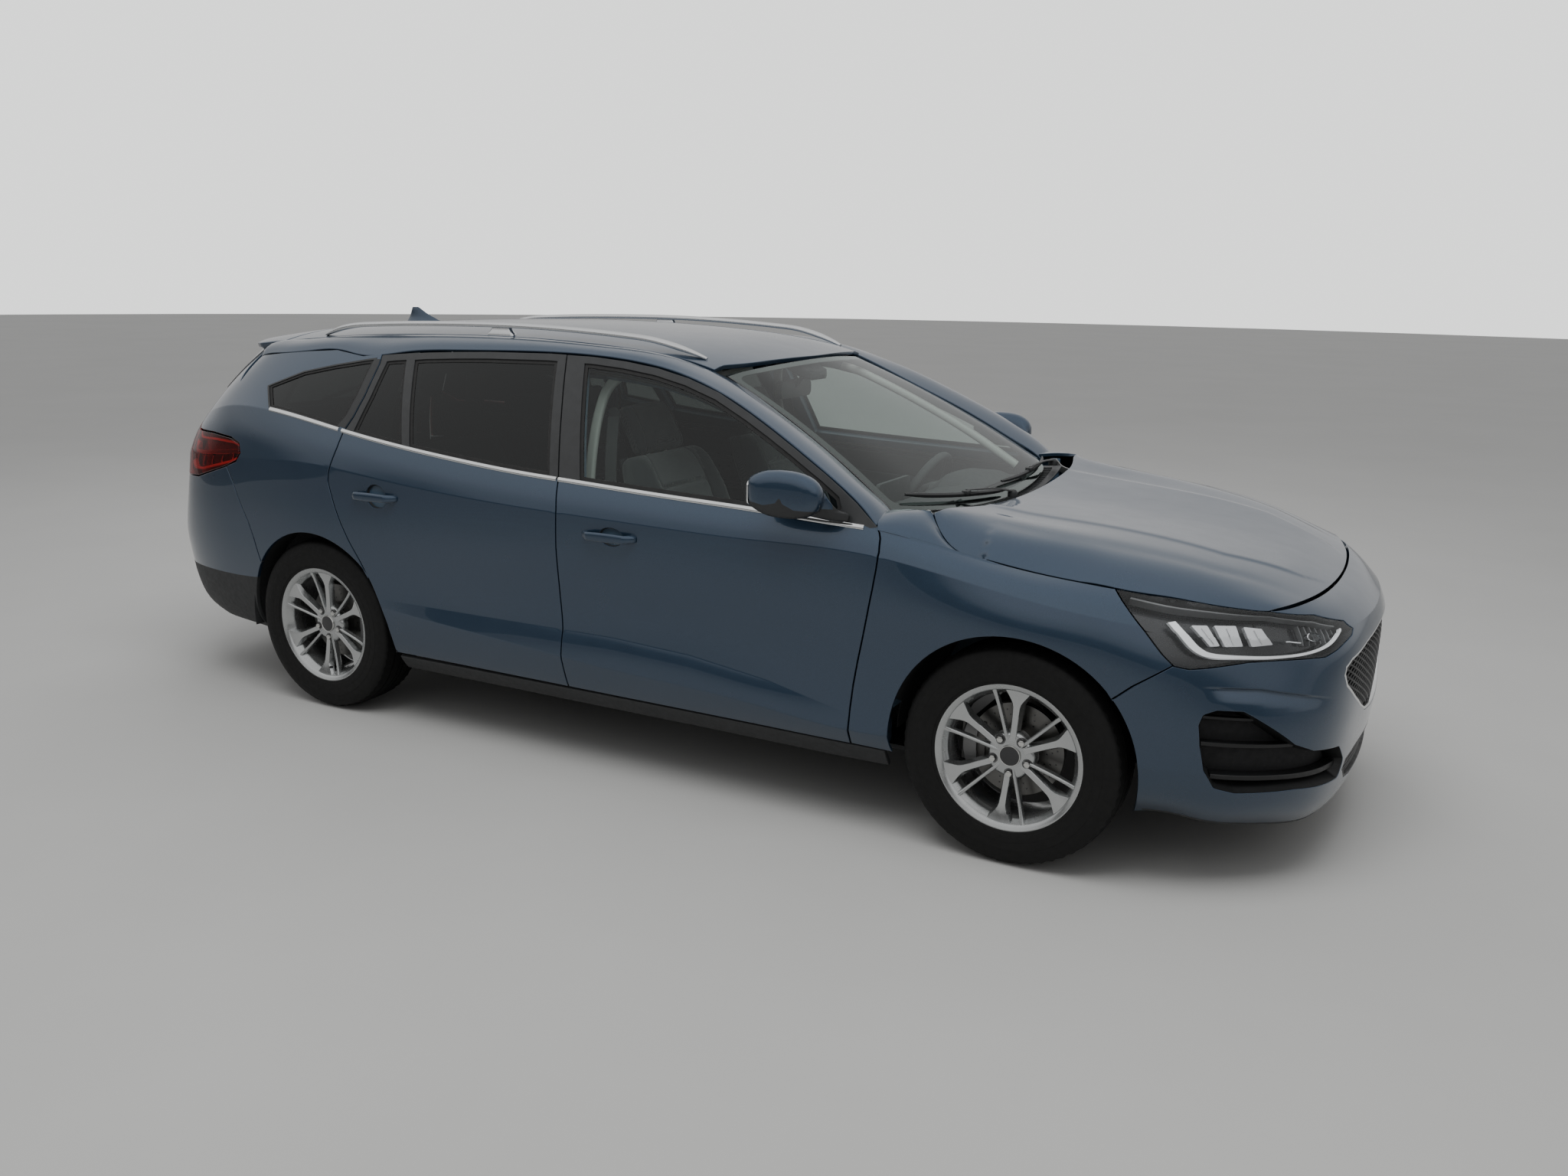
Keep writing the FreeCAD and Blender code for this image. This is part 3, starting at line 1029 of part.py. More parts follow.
# ---------------------------------------------------------------------------
# Mirrors
# ---------------------------------------------------------------------------
def mirror_house():
    secs = []
    for s, x0, x1, z0, z1 in ((.8755, .765, .845, .945, .985), (.905, .700, .832, .948, .996), (.925, .580, .802, .960, 1.074), (.955, .546, .792, .956, 1.100),
                              (.985, .556, .780, .962, 1.094), (.9895, .585, .750, .978, 1.070)):
        h, w = z1 - z0, x1 - x0
        c = [(x0, z0 + .10 * h), (x0 + .05 * w, z0), (x1 - .17 * w, z0), (x1, z0 + .23 * h), (x1, z1 - .35 * h), (x1 - .26 * w, z1 - .05 * h),
             (x0 + .17 * w, z1), (x0, z1 - .12 * h)]
        pl = [V(a * 1000 + X_SHIFT, s * 1000, b * 1000) for a, b in c]
        secs.append(Part.makePolygon(pl + [pl[0]]))
    return Part.makeLoft(secs, True, True)


mh = mirror_house()
put("left_mirror", mh)
put("right_mirror", mirror(mh))

# ---------------------------------------------------------------------------
# Floor, structure, chassis
# ---------------------------------------------------------------------------
floor = [box(-985, 985, -734, 734, 230, 244), box(-1010, -980, -496, 496, 230, 440),
         box(-2230, -985, -490, 490, 428, 440), box(-2240, -1760, -700, 700, 428, 440),
         box(-900, 900, -90, 90, 244, 330)]
r_rails = []
for s in (1, -1):
    r = box(-2260, -1000, s * 440, s * 498 if s > 0 else -498, 368, 427.9)
    if s < 0:
        r = box(-2260, -1000, -498, -440, 368, 427.9)
    for x in (-2170, -2050):
        r = r.cut(cyl(6.5, (x, s * 469, 360), (0, 0, 1), 80))
    for x in (-2170, -2050):
        floor = [f.cut(cyl(6.5, (x, s * 469, 420), (0, 0, 1), 40)) for f in floor]
    r_rails.append(r)
beam_r = box(-2300, -2235, -560, 560, 430, 540)
floor_pan = fuse(floor + [box(-2260, -1000, 440, 498, 368, 430), box(-2260, -1000, -498, -440, 368, 430), beam_r])
for s in (1, -1):
    for x in (-2170, -2050):
        floor_pan = floor_pan.cut(cyl(6.5, (x, s * 469, 350), (0, 0, 1), 100))
put("floor_pan", floor_pan)
put("load_floor", box(-2215, -1010, -480, 480, 600, 618))
fs = [box(986, 1000, -689, 689, 244, 880), box(986, 1030, -612, 612, 866, 880)]
for s in (1, -1):
    a, b = (360, 430) if s > 0 else (-430, -360)
    fs.append(box(1000, 2085, a, b, 400, 500))
    a, b = (425, 640) if s > 0 else (-640, -425)
    fs.append(box(1250, 1450, a, b, 712, 800).cut(cyl(60, (1350, s * 590, 600), (0, 0, 1), 300)))
    a, b = (425, 445) if s > 0 else (-445, -425)
    fs.append(box(1000, 1800, a, b, 480, 730))
    # hood hinge bracket
    a, b = (654, 662) if s > 0 else (-662, -654)
    fs.append(box(970, 1000, a, b, 870, 966))
    fs.append(cyl(5, (HOOD_AXIS[0], 636 if s > 0 else -662, HOOD_AXIS[1]), (0, 1, 0), 26))
fs.append(box(2085, 2125, -520, 520, 400, 520))
fs.append(box(1960, 2000, -430, 430, 620, 700))
fs += [box(1960, 2085, 380, 420, 480, 640), box(1960, 2085, -420, -380, 480, 640)]
liner = []
for s in (1, -1):
    a, b = (792, 900) if s > 0 else (-900, -792)
    ln = rough_cyl(ARCH_F, 372, 376, 446, 866, s).cut(box(1600, 1860, a, b, 100, 445))
    ln = ln.cut(box(900, 987, -1000, 1000, 100, 900)).cut(cyl(64, (1350, s * 606, 640), (0, 0, 1), 90))
    liner.append(ln)
fs = fuse(fs + liner)
for s in (1, -1):
    a, b = (600, 700) if s > 0 else (-700, -600)
    fs = fs.cut(box(980, 1004, a, b, 200, 462))
put("front_structure", fs)
put("engine_block", box(1180, 1700, -330, 330, 330, 790))
sub = [box(1180, 1560, -340, 340, 225, 262)]
for s in (1, -1):
    a, b = (340, 600) if s > 0 else (-600, -340)
    a, b = (340, 742) if s > 0 else (-742, -340)
    arm_ = box(1310, 1390, a, b, 207, 232)
    sub.append(arm_.cut(cyl(17.5, (1350, s * 714.6, 192), (0, -.2021 * s, .9794), 60)))
put("front_subframe", fuse(sub))
ra = [box(-1400, -1300, -600, 600, 250, 330)]
for s in (1, -1):
    a, b = (540, 600) if s > 0 else (-600, -540)
    ra.append(box(-1330, -985, a, b, 262, 322))
    ra.append(cyl(36, (-1350, 590 if s > 0 else -783, 326), (0, 1, 0), 193))
    ra.append(box(-1330, -1250, (455 if s > 0 else -535), (535 if s > 0 else -455), 300, 367.5))
put("rear_axle", fuse(ra))
pk = Part.makePolygon
ex = [cyl(28, (1100, 120, 200), (-1, 0, 0), 2050), cyl(75, (-1560, -120, 300), (0, -1, 0), 1) ]
ex = [cyl(28, (1100, 150, 195), (-1, 0, 0), 1950), box(-1020, -840, 120, 290, 165, 226)]
ex = [cyl(28, (1080, 150, 196), (-1, 0, 0), 1900), box(-1050, -800, 60, 300, 165, 226), cyl(26, (-1040, 250, 205), (-1, 0, 0), 900),
      box(-2200, -1850, -60, 330, 240, 400), box(-1960, -1900, 226, 274, 190, 260), cyl(26, (-2180, 200, 300), (-1, 0, 0), 120)]
put("exhaust", fuse(ex))
put("fuel_tank", box(-930, -420, -560, -20, 150, 228))

# ---------------------------------------------------------------------------
# Cabin
# ---------------------------------------------------------------------------
def seat(yc):
    cush = box(20, 520, yc - 250, yc + 250, 300, 470)
    back = prism_y([(.02, .44), (.12, .44), (-.10, 1.02), (-.20, 1.02)], yc - 240, yc + 240)
    head = prism_y([(-.14, 1.02), (-.19, 1.02), (-.26, 1.20), (-.17, 1.20)], yc - 130, yc + 130)
    base = box(60, 460, yc - 200, yc + 200, 245, 302)
    return fuse([cush, back, head, base])


put("front_seats", Part.Compound([seat(370), seat(-370)]))
bench = box(-900, -420, -640, 640, 300, 480)
rback = prism_y([(-.90, .46), (-.80, .46), (-.97, 1.02), (-1.07, 1.02)], -630, 630)
rb_base = box(-880, -460, -600, 600, 245, 302)
rheads = [prism_y([(-.99, 1.02), (-1.04, 1.02), (-1.08, 1.15), (-1.00, 1.15)], y - 110, y + 110) for y in (-400, 0, 400)]
seat_r = fuse([bench, rback, rb_base] + rheads)
put("rear_seat", seat_r.cut(box(-910, -380, -92, 92, 230, 332)))
dash = prism_y([(.98, .885), (.985, .60), (.80, .58), (.62, .70), (.60, .82), (.70, .90), (.86, .915)], -685, 685)
col_d = (-cos(radians(25)), 0, sin(radians(25)))
col0 = (620, 370, 790)
column = cyl(22, (col0[0] + 60, 370, col0[2] - 28), col_d, 95)
console = fuse([box(-100, 700, -95, 95, 331, 560), box(640, 760, -95, 95, 540, 700)])
dashb = fuse([dash, column, console])
for s in (1, -1):
    a, b = (648, 700) if s > 0 else (-700, -648)
    dashb = dashb.cut(box(960, 1000, a, b, 850, 930))
put("dashboard", dashb)
hub_p = (620 + 60 - cos(radians(25)) * 97, 370, 790 - 28 + sin(radians(25)) * 97)
rimw = Part.makeTorus(178, 15, V(0, 0, 0), V(0, 0, 1))
spokes = [Part.makeBox(340, 36, 14, V(-170, -18, -10)), Part.makeBox(36, 176, 14, V(-18, -176, -10)), Part.makeCylinder(62, 40, V(0, 0, -22), V(0, 0, 1))]
sw = fuse([rimw] + spokes)
sw.translate(V(0, 0, 40))
stub = Part.makeCylinder(20, 24, V(0, 0, 1.5), V(0, 0, 1))
sw = fuse([sw, stub])
sw.rotate(V(0, 0, 0), V(0, 1, 0), -65)
sw.translate(V(hub_p[0] + X_SHIFT, hub_p[1], hub_p[2]))
put("steering_wheel", sw)

# ---------------------------------------------------------------------------
# Knuckles and wheels
# ---------------------------------------------------------------------------
def revolve(prof, yc, xc, side):
    """Profile (axial offset outwards, radius) about the wheel axis."""
    pl = [V(xc + X_SHIFT, side * (yc + a), 326.0 + r) for a, r in prof]
    f = Part.Face(Part.makePolygon(pl + [pl[0]]))
    return f.revolve(V(xc + X_SHIFT, 0, 326.0), V(0, 1, 0), 360)


def tyre(xc, yc, side):
    W, R = TYRE_HALF_W, TYRE_R
    prof = [(-80, 207), (-92, 216), (-100, 232), (-W, 262), (-99, 292), (-90, 312), (-78, 322), (-40, R), (40, R), (78, 322), (90, 312), (99, 292), (W, 262),
            (100, 232), (92, 216), (80, 207)]
    return revolve(prof, yc, xc, side)


def rim(xc, yc, side):
    barrel = [(-90, 219), (-90, 209), (-78, 198), (-60, 192), (20, 186), (62, 192), (80, 203), (88, 210), (90, 219), (93, 219), (93, 206), (84, 196), (66, 184), (20, 178),
              (-60, 184), (-86, 196), (-94, 209), (-94, 219)]
    b = revolve([(a, r - .8) if r < 215 else (a, r - .0) for a, r in barrel], yc, xc, side)
    hubd = revolve([(30, 34), (62, 34), (62, 80), (44, 82), (30, 80)], yc, xc, side)
    cap = revolve([(50, .01), (66, .01), (66, 30), (60, 34.5), (50, 34.5)], yc, xc, side)
    sp = []
    for k in range(6):
        for off, w in ((35, 15), (15, 6)):
            bar_ = Part.makeBox(2 * w, 22, 124, V(-w, 0, 68))
            bar_.rotate(V(0, 0, 0), V(0, 1, 0), 90 - 60 * k - off)
            bar_.translate(V(xc + X_SHIFT, side * (yc + 54) - (0 if side > 0 else 22), 326))
            sp.append(bar_)
    r = fuse([b, hubd, cap] + sp)
    for k in range(5):
        a = radians(90 + 36 + 72 * k)
        r = r.cut(cyl(7, (xc + LUG_PCD / 2 * cos(a), side * (yc + 20) if side > 0 else -(yc + 80), 326 + LUG_PCD / 2 * sin(a)), (0, 1, 0), 60))
    disc = revolve([(5, 40), (32, 40), (32, 70), (5, 70)], yc, xc, side)
    disc2 = revolve([(-17, 66), (5.1, 66), (5.1, 140), (-17, 140)], yc, xc, side)
    return biggest(fuse([r, fuse([disc, disc2])]))


def knuckle(side):
    y = FRONT_TRACK / 2
    hub = cyl(38, (1350, side * (y - 62) if side > 0 else -(y + 4), 326), (0, 1, 0), 66)
    parts = [hub]
    lo, hi = V(1350, 700, 215), V(1350, 585, 800)
    d = V(KINGPIN_TOP[0] - KINGPIN_LOW[0], KINGPIN_TOP[1] - KINGPIN_LOW[1], KINGPIN_TOP[2] - KINGPIN_LOW[2])
    d.normalize()
    if side < 0:
        d = V(d.x, -d.y, d.z)
    def on(z):
        t = (z - KINGPIN_LOW[2]) / (KINGPIN_TOP[2] - KINGPIN_LOW[2])
        return (1350, side * (KINGPIN_LOW[1] + (KINGPIN_TOP[1] - KINGPIN_LOW[1]) * t), z)
    parts.append(cyl(25, on(400), tuple(d), 330))
    parts.append(cyl(17, on(196), tuple(d), 216))
    a, b = (side * 640, side * 730) if side > 0 else (-730, -640)
    parts.append(box(1325, 1375, a, b, 300, 420))
    cal_y = (y - 32, y + 10)
    a, b = (cal_y[0], cal_y[1]) if side > 0 else (-cal_y[1], -cal_y[0])
    cal = box(1350 - 165, 1350 - 95, a, b, 270, 390)
    cal = cal.cut(revolve([(-19.5, 0.01), (7.5, 0.01), (7.5, 143), (-19.5, 143)], y, 1350, side))
    br_a, br_b = (side * (y - 60), side * (y - 28)) if side > 0 else (-(y - 28), -(y - 60))
    parts += [cal, box(1350 - 160, 1350, br_a, br_b, 305, 350)]
    return fuse(parts)


wheels = (("left_front", 1350.0, FRONT_TRACK / 2, 1), ("right_front", 1350.0, FRONT_TRACK / 2, -1),
          ("left_rear", -1350.0, REAR_TRACK / 2, 1), ("right_rear", -1350.0, REAR_TRACK / 2, -1))
t0_ = tyre(1350.0, FRONT_TRACK / 2, 1)
r0_ = rim(1350.0, FRONT_TRACK / 2, 1)
for nm, xc, yc, s in wheels:
    a, b = t0_.copy(), r0_.copy()
    a.translate(V(xc - 1350, yc - FRONT_TRACK / 2, 0))
    b.translate(V(xc - 1350, yc - FRONT_TRACK / 2, 0))
    if s < 0:
        a = mirror(a)
        b.rotate(V(xc + X_SHIFT, 0, 0), V(0, 0, 1), 180)
    put(nm + "_tyre", a)
    put(nm + "_rim", b)
put("left_knuckle", knuckle(1))
put("right_knuckle", mirror(knuckle(1)))

for name, shape in OUT.items():
    shape.exportStep("parts/%s.step" % name)
    b = shape.BoundBox
    print("%-26s valid %s solids %d  vol %.2f L  x %.0f..%.0f y %.0f..%.0f z %.0f..%.0f" % (
        name, shape.isValid(), len(shape.Solids), shape.Volume / 1e6, b.XMin, b.XMax, b.YMin, b.YMax, b.ZMin, b.ZMax))
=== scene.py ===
from math import exp, asin
import bpy
import bmesh
import numpy as np
from mathutils import Vector, Matrix
from mathutils.geometry import delaunay_2d_cdt


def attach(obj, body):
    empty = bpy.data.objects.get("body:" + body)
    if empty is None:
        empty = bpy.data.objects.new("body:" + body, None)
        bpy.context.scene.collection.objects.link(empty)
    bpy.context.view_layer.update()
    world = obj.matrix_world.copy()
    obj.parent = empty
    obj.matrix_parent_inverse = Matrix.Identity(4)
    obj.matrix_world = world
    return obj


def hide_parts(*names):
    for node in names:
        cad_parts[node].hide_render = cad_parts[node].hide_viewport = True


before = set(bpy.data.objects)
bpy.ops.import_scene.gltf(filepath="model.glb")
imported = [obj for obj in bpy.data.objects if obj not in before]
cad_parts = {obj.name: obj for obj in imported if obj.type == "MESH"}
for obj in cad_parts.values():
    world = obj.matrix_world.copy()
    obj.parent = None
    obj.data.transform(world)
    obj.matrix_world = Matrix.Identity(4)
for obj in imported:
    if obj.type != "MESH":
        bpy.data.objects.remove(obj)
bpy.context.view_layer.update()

XS = .1071            # row frame x = wheelbase frame x + XS
SCENE = bpy.context.scene
# ---------------------------------------------------------------------------
# Body surfaces.  Metres, x forward from mid-wheelbase, s = distance from the
# centre plane, z up from the ground.  Each surface is a net: stations of
# points, joined by cubic splines both ways, with creases at chosen levels.
# ---------------------------------------------------------------------------
from math import sin, cos, pi, sqrt, atan2, hypot, radians


def spline_matrix(t):
    """Second derivatives of the natural cubic spline on knots t, as a matrix on its values."""
    n = len(t)
    A = [[0.0] * n for _ in range(n)]
    if n < 3:
        return A
    m = n - 2
    for k in range(n):
        e = [0.0] * n
        e[k] = 1.0
        b = [0.0] * m
        d = [0.0] * m
        c = [0.0] * m
        for i in range(1, n - 1):
            h0 = t[i] - t[i - 1]
            h1 = t[i + 1] - t[i]
            d[i - 1] = 2 * (h0 + h1)
            c[i - 1] = h1
            b[i - 1] = 6 * ((e[i + 1] - e[i]) / h1 - (e[i] - e[i - 1]) / h0)
        for i in range(1, m):
            w = (t[i + 1] - t[i]) / d[i - 1]
            d[i] -= w * c[i - 1]
            b[i] -= w * b[i - 1]
        x = [0.0] * m
        for i in range(m - 1, -1, -1):
            x[i] = (b[i] - (c[i] * x[i + 1] if i < m - 1 else 0.0)) / d[i]
        for i in range(m):
            A[i + 1][k] = x[i]
    return A


def seg_of(t, x):
    i = 0
    while i < len(t) - 2 and x > t[i + 1]:
        i += 1
    return i


def cubic(t, y, m, x):
    i = seg_of(t, x)
    h = t[i + 1] - t[i]
    a = (t[i + 1] - x) / h
    b = (x - t[i]) / h
    return a * y[i] + b * y[i + 1] + ((a * a * a - a) * m[i] + (b * b * b - b) * m[i + 1]) * h * h / 6


def curve1(pts, x):
    """Smooth function through (x, value) pairs."""
    t = [p[0] for p in pts]
    y = [p[1] for p in pts]
    A = spline_matrix(t)
    m = [sum(A[i][k] * y[k] for k in range(len(y))) for i in range(len(y))]
    return cubic(t, y, m, x)


class Net:
    """rows: stations, each a list of (x, s, z) at the levels.  creases: level numbers."""

    def __init__(self, rows, uk, vk, creases=(), mirror0=False, mirror1=False):
        self.nl = len(rows[0])
        self.vk = list(vk)
        ext = [list(r) for r in rows]
        k = list(uk)
        if mirror0:
            for j in (1, 2, 3):
                ext.insert(0, [(p[0], -p[1], p[2]) for p in rows[j]])
                k.insert(0, 2 * uk[0] - uk[j])
        if mirror1:
            n = len(rows)
            for j in (2, 3, 4):
                ext.append([(p[0], -p[1], p[2]) for p in rows[n - j]])
                k.append(2 * uk[-1] - uk[n - j])
        self.uk = k
        self.u0, self.u1 = uk[0], uk[-1]
        self.rows = ext
        A = spline_matrix(k)
        self.m = []
        for i in range(len(k)):
            self.m.append([tuple(sum(A[i][q] * ext[q][j][c] for q in range(len(k)) if A[i][q]) for c in range(3))
                           for j in range(self.nl)])
        cuts = [0] + [c for c in creases if 0 < c < self.nl - 1] + [self.nl - 1]
        self.parts = []
        for a, b in zip(cuts[:-1], cuts[1:]):
            self.parts.append((a, b, spline_matrix(self.vk[a:b + 1])))

    def row(self, u):
        i = seg_of(self.uk, u)
        h = self.uk[i + 1] - self.uk[i]
        a = (self.uk[i + 1] - u) / h
        b = (u - self.uk[i]) / h
        ca = (a * a * a - a) * h * h / 6
        cb = (b * b * b - b) * h * h / 6
        r0, r1, m0, m1 = self.rows[i], self.rows[i + 1], self.m[i], self.m[i + 1]
        return [tuple(a * r0[j][c] + b * r1[j][c] + ca * m0[j][c] + cb * m1[j][c] for c in range(3))
                for j in range(self.nl)]

    def vrow(self, u):
        r = self.row(u)
        out = []
        for a, b, A in self.parts:
            n = b - a + 1
            out.append([tuple(sum(A[i][k] * r[a + k][c] for k in range(n)) for c in range(3)) for i in range(n)])
        return r, out

    def at(self, u, v, cache=None):
        r, mm = cache or self.vrow(u)
        for (a, b, A), m in zip(self.parts, mm):
            if v <= self.vk[b] or b == self.nl - 1:
                t = self.vk[a:b + 1]
                i = seg_of(t, v)
                h = t[i + 1] - t[i]
                p = (t[i + 1] - v) / h
                q = (v - t[i]) / h
                ca = (p * p * p - p) * h * h / 6
                cb = (q * q * q - q) * h * h / 6
                r0, r1 = r[a + i], r[a + i + 1]
                return tuple(p * r0[c] + q * r1[c] + ca * m[i][c] + cb * m[i + 1][c] for c in range(3))

    def normal(self, u, v):
        e = 2e-4
        a, b = self.at(u - e, v), self.at(u + e, v)
        c, d = self.at(u, v - e), self.at(u, v + e)
        p = [b[i] - a[i] for i in range(3)]
        q = [d[i] - c[i] for i in range(3)]
        n = (p[1] * q[2] - p[2] * q[1], p[2] * q[0] - p[0] * q[2], p[0] * q[1] - p[1] * q[0])
        l = sqrt(sum(t * t for t in n)) or 1.0
        return tuple(t / l for t in n)

    def find(self, x, z, u, v, ax=(0, 2)):
        """Net coordinates of the point whose side view is (x, z), from a first guess."""
        for _ in range(14):
            p = self.at(u, v)
            e0, e1 = x - p[ax[0]], z - p[ax[1]]
            if abs(e0) + abs(e1) < 1e-6:
                break
            h = 1e-4
            a, b = self.at(u + h, v), self.at(u, v + h)
            j00, j01 = (a[ax[0]] - p[ax[0]]) / h, (b[ax[0]] - p[ax[0]]) / h
            j10, j11 = (a[ax[1]] - p[ax[1]]) / h, (b[ax[1]] - p[ax[1]]) / h
            det = j00 * j11 - j01 * j10
            if abs(det) < 1e-9:
                break
            du = (e0 * j11 - e1 * j01) / det
            dv = (e1 * j00 - e0 * j10) / det
            k = min(1.0, 0.3 / (abs(du) + 1e-9), 0.2 / (abs(dv) + 1e-9))
            u += du * k
            v += dv * k
            v = min(max(v, self.vk[0] - 0.05), self.vk[-1] + 0.05)
            u = min(max(u, self.uk[0]), self.uk[-1])
        return u, v


# Levels: 0 lip, 1 lower turn, 2 lower ridge, 3 valley, 4 middle, 5 upper middle,
# 6 shoulder crease, 7 above it, 8 belt or hood gap, 9 to 12 side window plane.
SHOULDER = [(-2.2, .905), (-1.75, .925), (-1.43, .945), (-1.2, .935), (-.9, .909), (-.6, .888), (-.2, .876),
            (.13, .872), (.5, .869), (.93, .866), (1.2, .850), (1.6, .80)]
BELT = [(-1.75, 1.128), (-1.53, 1.111), (-1.212, 1.068), (-.919, 1.031), (-.641, 1.004), (-.376, .985),
        (-.187, .977), (.055, .967), (.284, .959), (.502, .953), (.76, .943), (.93, .935), (1.05, .928)]
RIDGE = [(-1.35, .46), (-.95, .44), (-.72, .425), (-.19, .388), (.18, .369), (.58, .352), (.93, .325), (1.35, .33)]
VALLEY = [(-1.35, .54), (-.95, .50), (-.65, .475), (-.19, .490), (.24, .499), (.57, .482), (.93, .44), (1.35, .46)]


def lin(pts, x):
    if x <= pts[0][0]:
        return pts[0][1]
    for (a, p), (b, q) in zip(pts[:-1], pts[1:]):
        if x <= b:
            return p + (q - p) * (x - a) / (b - a)
    return pts[-1][1]


def side_row(x, y0, y1, y2, y3, y4, y5, y6, y7, y8):
    zs, zb, zr, zv = lin(SHOULDER, x), curve1(BELT, x), lin(RIDGE, x), lin(VALLEY, x)
    r = [(x, y0, .205), (x, y1, .275), (x, y2, zr), (x, y3, zv), (x, y4, .61), (x, y5, .74),
         (x, y6, zs), (x, y7, zs + .52 * (zb - zs)), (x, y8, zb)]
    for h in (.12, .24, .37, .46):
        r.append((x, y8 - .40 * h - .30 * h * h, zb + h * (1.385 - zb) / .40))
    return r


def up(p, q, bow=0.0):
    """Four greenhouse levels from belt point p to roof-edge point q."""
    out = []
    for k in (.26, .53, .84, 1.06):
        b = bow * 4 * k * (1 - k)
        out.append((p[0] + (q[0] - p[0]) * k - b, p[1] + (q[1] - p[1]) * k + b * .6, p[2] + (q[2] - p[2]) * k + b))
    return out


def ring_rows():
    R = []

    def add(pts, q=None, bow=0.0):
        R.append(pts + (up(pts[8], q, bow) if q else []))

    # rear centre, to the corner, and along the quarter
    add([(-2.300, 0, .25), (-2.375, 0, .30), (-2.412, 0, .41), (-2.430, 0, .52), (-2.437, 0, .63), (-2.397, 0, .74),
         (-2.375, 0, .88), (-2.338, 0, .955), (-2.298, 0, 1.015)], (-2.03, 0, 1.385), .012)
    add([(-2.290, .32, .25), (-2.362, .32, .30), (-2.399, .32, .41), (-2.417, .32, .52), (-2.422, .32, .63),
         (-2.383, .32, .74), (-2.361, .32, .882), (-2.323, .32, .958), (-2.283, .32, 1.018)], (-2.015, .27, 1.38), .012)
    add([(-2.225, .555, .25), (-2.298, .575, .30), (-2.336, .585, .41), (-2.355, .59, .52), (-2.358, .59, .63),
         (-2.326, .585, .742), (-2.303, .58, .892), (-2.268, .565, .967), (-2.229, .548, 1.03)], (-1.965, .45, 1.365), .012)
    add([(-2.095, .705, .25), (-2.155, .735, .30), (-2.192, .757, .41), (-2.208, .765, .52), (-2.210, .768, .62),
         (-2.190, .765, .745), (-2.178, .748, .905), (-2.158, .722, .985), (-2.128, .690, 1.052)], (-1.885, .545, 1.335), .010)
    add([(-1.985, .765, .25), (-2.010, .805, .305), (-2.025, .832, .415), (-2.030, .842, .525), (-2.030, .846, .63),
         (-2.025, .840, .755), (-2.015, .815, .918), (-2.000, .787, 1.010), (-1.985, .757, 1.092)], (-1.80, .595, 1.345), .008)
    add([(-1.75, .80, .245), (-1.75, .848, .30), (-1.75, .872, .42), (-1.75, .882, .53), (-1.75, .886, .64),
         (-1.75, .882, .77), (-1.75, .862, .928), (-1.75, .840, 1.028), (-1.745, .812, 1.123)], (-1.66, .622, 1.362), .006)
    add([(-1.35, .825, .215), (-1.35, .872, .28), (-1.35, .896, .46), (-1.35, .904, .54), (-1.35, .909, .63),
         (-1.35, .909, .76), (-1.35, .893, .943), (-1.35, .873, 1.02), (-1.35, .848, 1.087)], (-1.31, .636, 1.382), .004)
    for x, ys in ((-.95, (.822, .868, .896, .893, .897, .905, .898, .883, .860)),
                  (-.45, (.820, .866, .898, .889, .892, .902, .901, .886, .864)),
                  (.05, (.820, .866, .900, .887, .889, .900, .902, .888, .866)),
                  (.50, (.820, .866, .899, .888, .891, .901, .902, .889, .868)),
                  (.93, (.820, .866, .895, .893, .900, .906, .900, .886, .866))):
        R.append(side_row(x, *ys))
    # front fender, lamp corner and nose
    def fwd(pts):
        x, s, z = pts[8]
        R.append(pts + [(x, s - .05 * k, z + .12 * k) for k in (1, 2, 3, 4)])
    fwd([(1.35, .825, .215), (1.35, .870, .28), (1.35, .896, .37), (1.35, .904, .47), (1.35, .911, .60),
         (1.35, .912, .71), (1.35, .890, .800), (1.35, .860, .838), (1.35, .815, .858)])
    fwd([(1.60, .815, .210), (1.60, .858, .27), (1.60, .884, .37), (1.60, .890, .47), (1.60, .892, .58),
         (1.60, .889, .68), (1.60, .868, .765), (1.60, .838, .808), (1.598, .800, .836)])
    fwd([(1.78, .775, .215), (1.79, .822, .27), (1.80, .852, .37), (1.80, .858, .47), (1.795, .857, .57),
         (1.79, .847, .66), (1.785, .818, .745), (1.775, .790, .788), (1.765, .752, .815)])
    fwd([(1.880, .735, .195), (1.907, .768, .25), (1.925, .790, .36), (1.930, .792, .46), (1.920, .788, .56),
         (1.900, .775, .655), (1.888, .750, .733), (1.880, .722, .772), (1.870, .692, .799)])
    fwd([(1.990, .638, .175), (2.027, .67, .235), (2.048, .690, .35), (2.052, .690, .45), (2.040, .682, .55),
         (2.015, .668, .645), (1.998, .655, .722), (1.985, .642, .762), (1.970, .630, .787)])
    fwd([(2.092, .495, .155), (2.130, .52, .215), (2.152, .530, .34), (2.158, .530, .44), (2.154, .525, .54),
         (2.142, .520, .64), (2.112, .515, .715), (2.078, .508, .760), (2.045, .500, .790)])
    fwd([(2.138, .27, .146), (2.182, .28, .206), (2.202, .28, .335), (2.210, .28, .435), (2.211, .28, .54),
         (2.207, .28, .64), (2.182, .28, .712), (2.135, .28, .757), (2.085, .28, .787)])
    fwd([(2.150, 0, .145), (2.196, 0, .205), (2.218, 0, .335), (2.227, 0, .435), (2.231, 0, .54),
         (2.229, 0, .64), (2.203, 0, .710), (2.152, 0, .755), (2.097, 0, .784)])
    return R


def knots(rows, j=4):
    k = [0.0]
    for a, b in zip(rows[:-1], rows[1:]):
        k.append(k[-1] + sqrt(sum((a[j][c] - b[j][c]) ** 2 for c in range(3))))
    return k


VK = [0, .08, .19, .30, .44, .58, .74, .84, .94, 1.07, 1.20, 1.345, 1.45]
_r = ring_rows()
RING = Net(_r, knots(_r), VK, creases=(2, 6, 8), mirror0=True, mirror1=True)


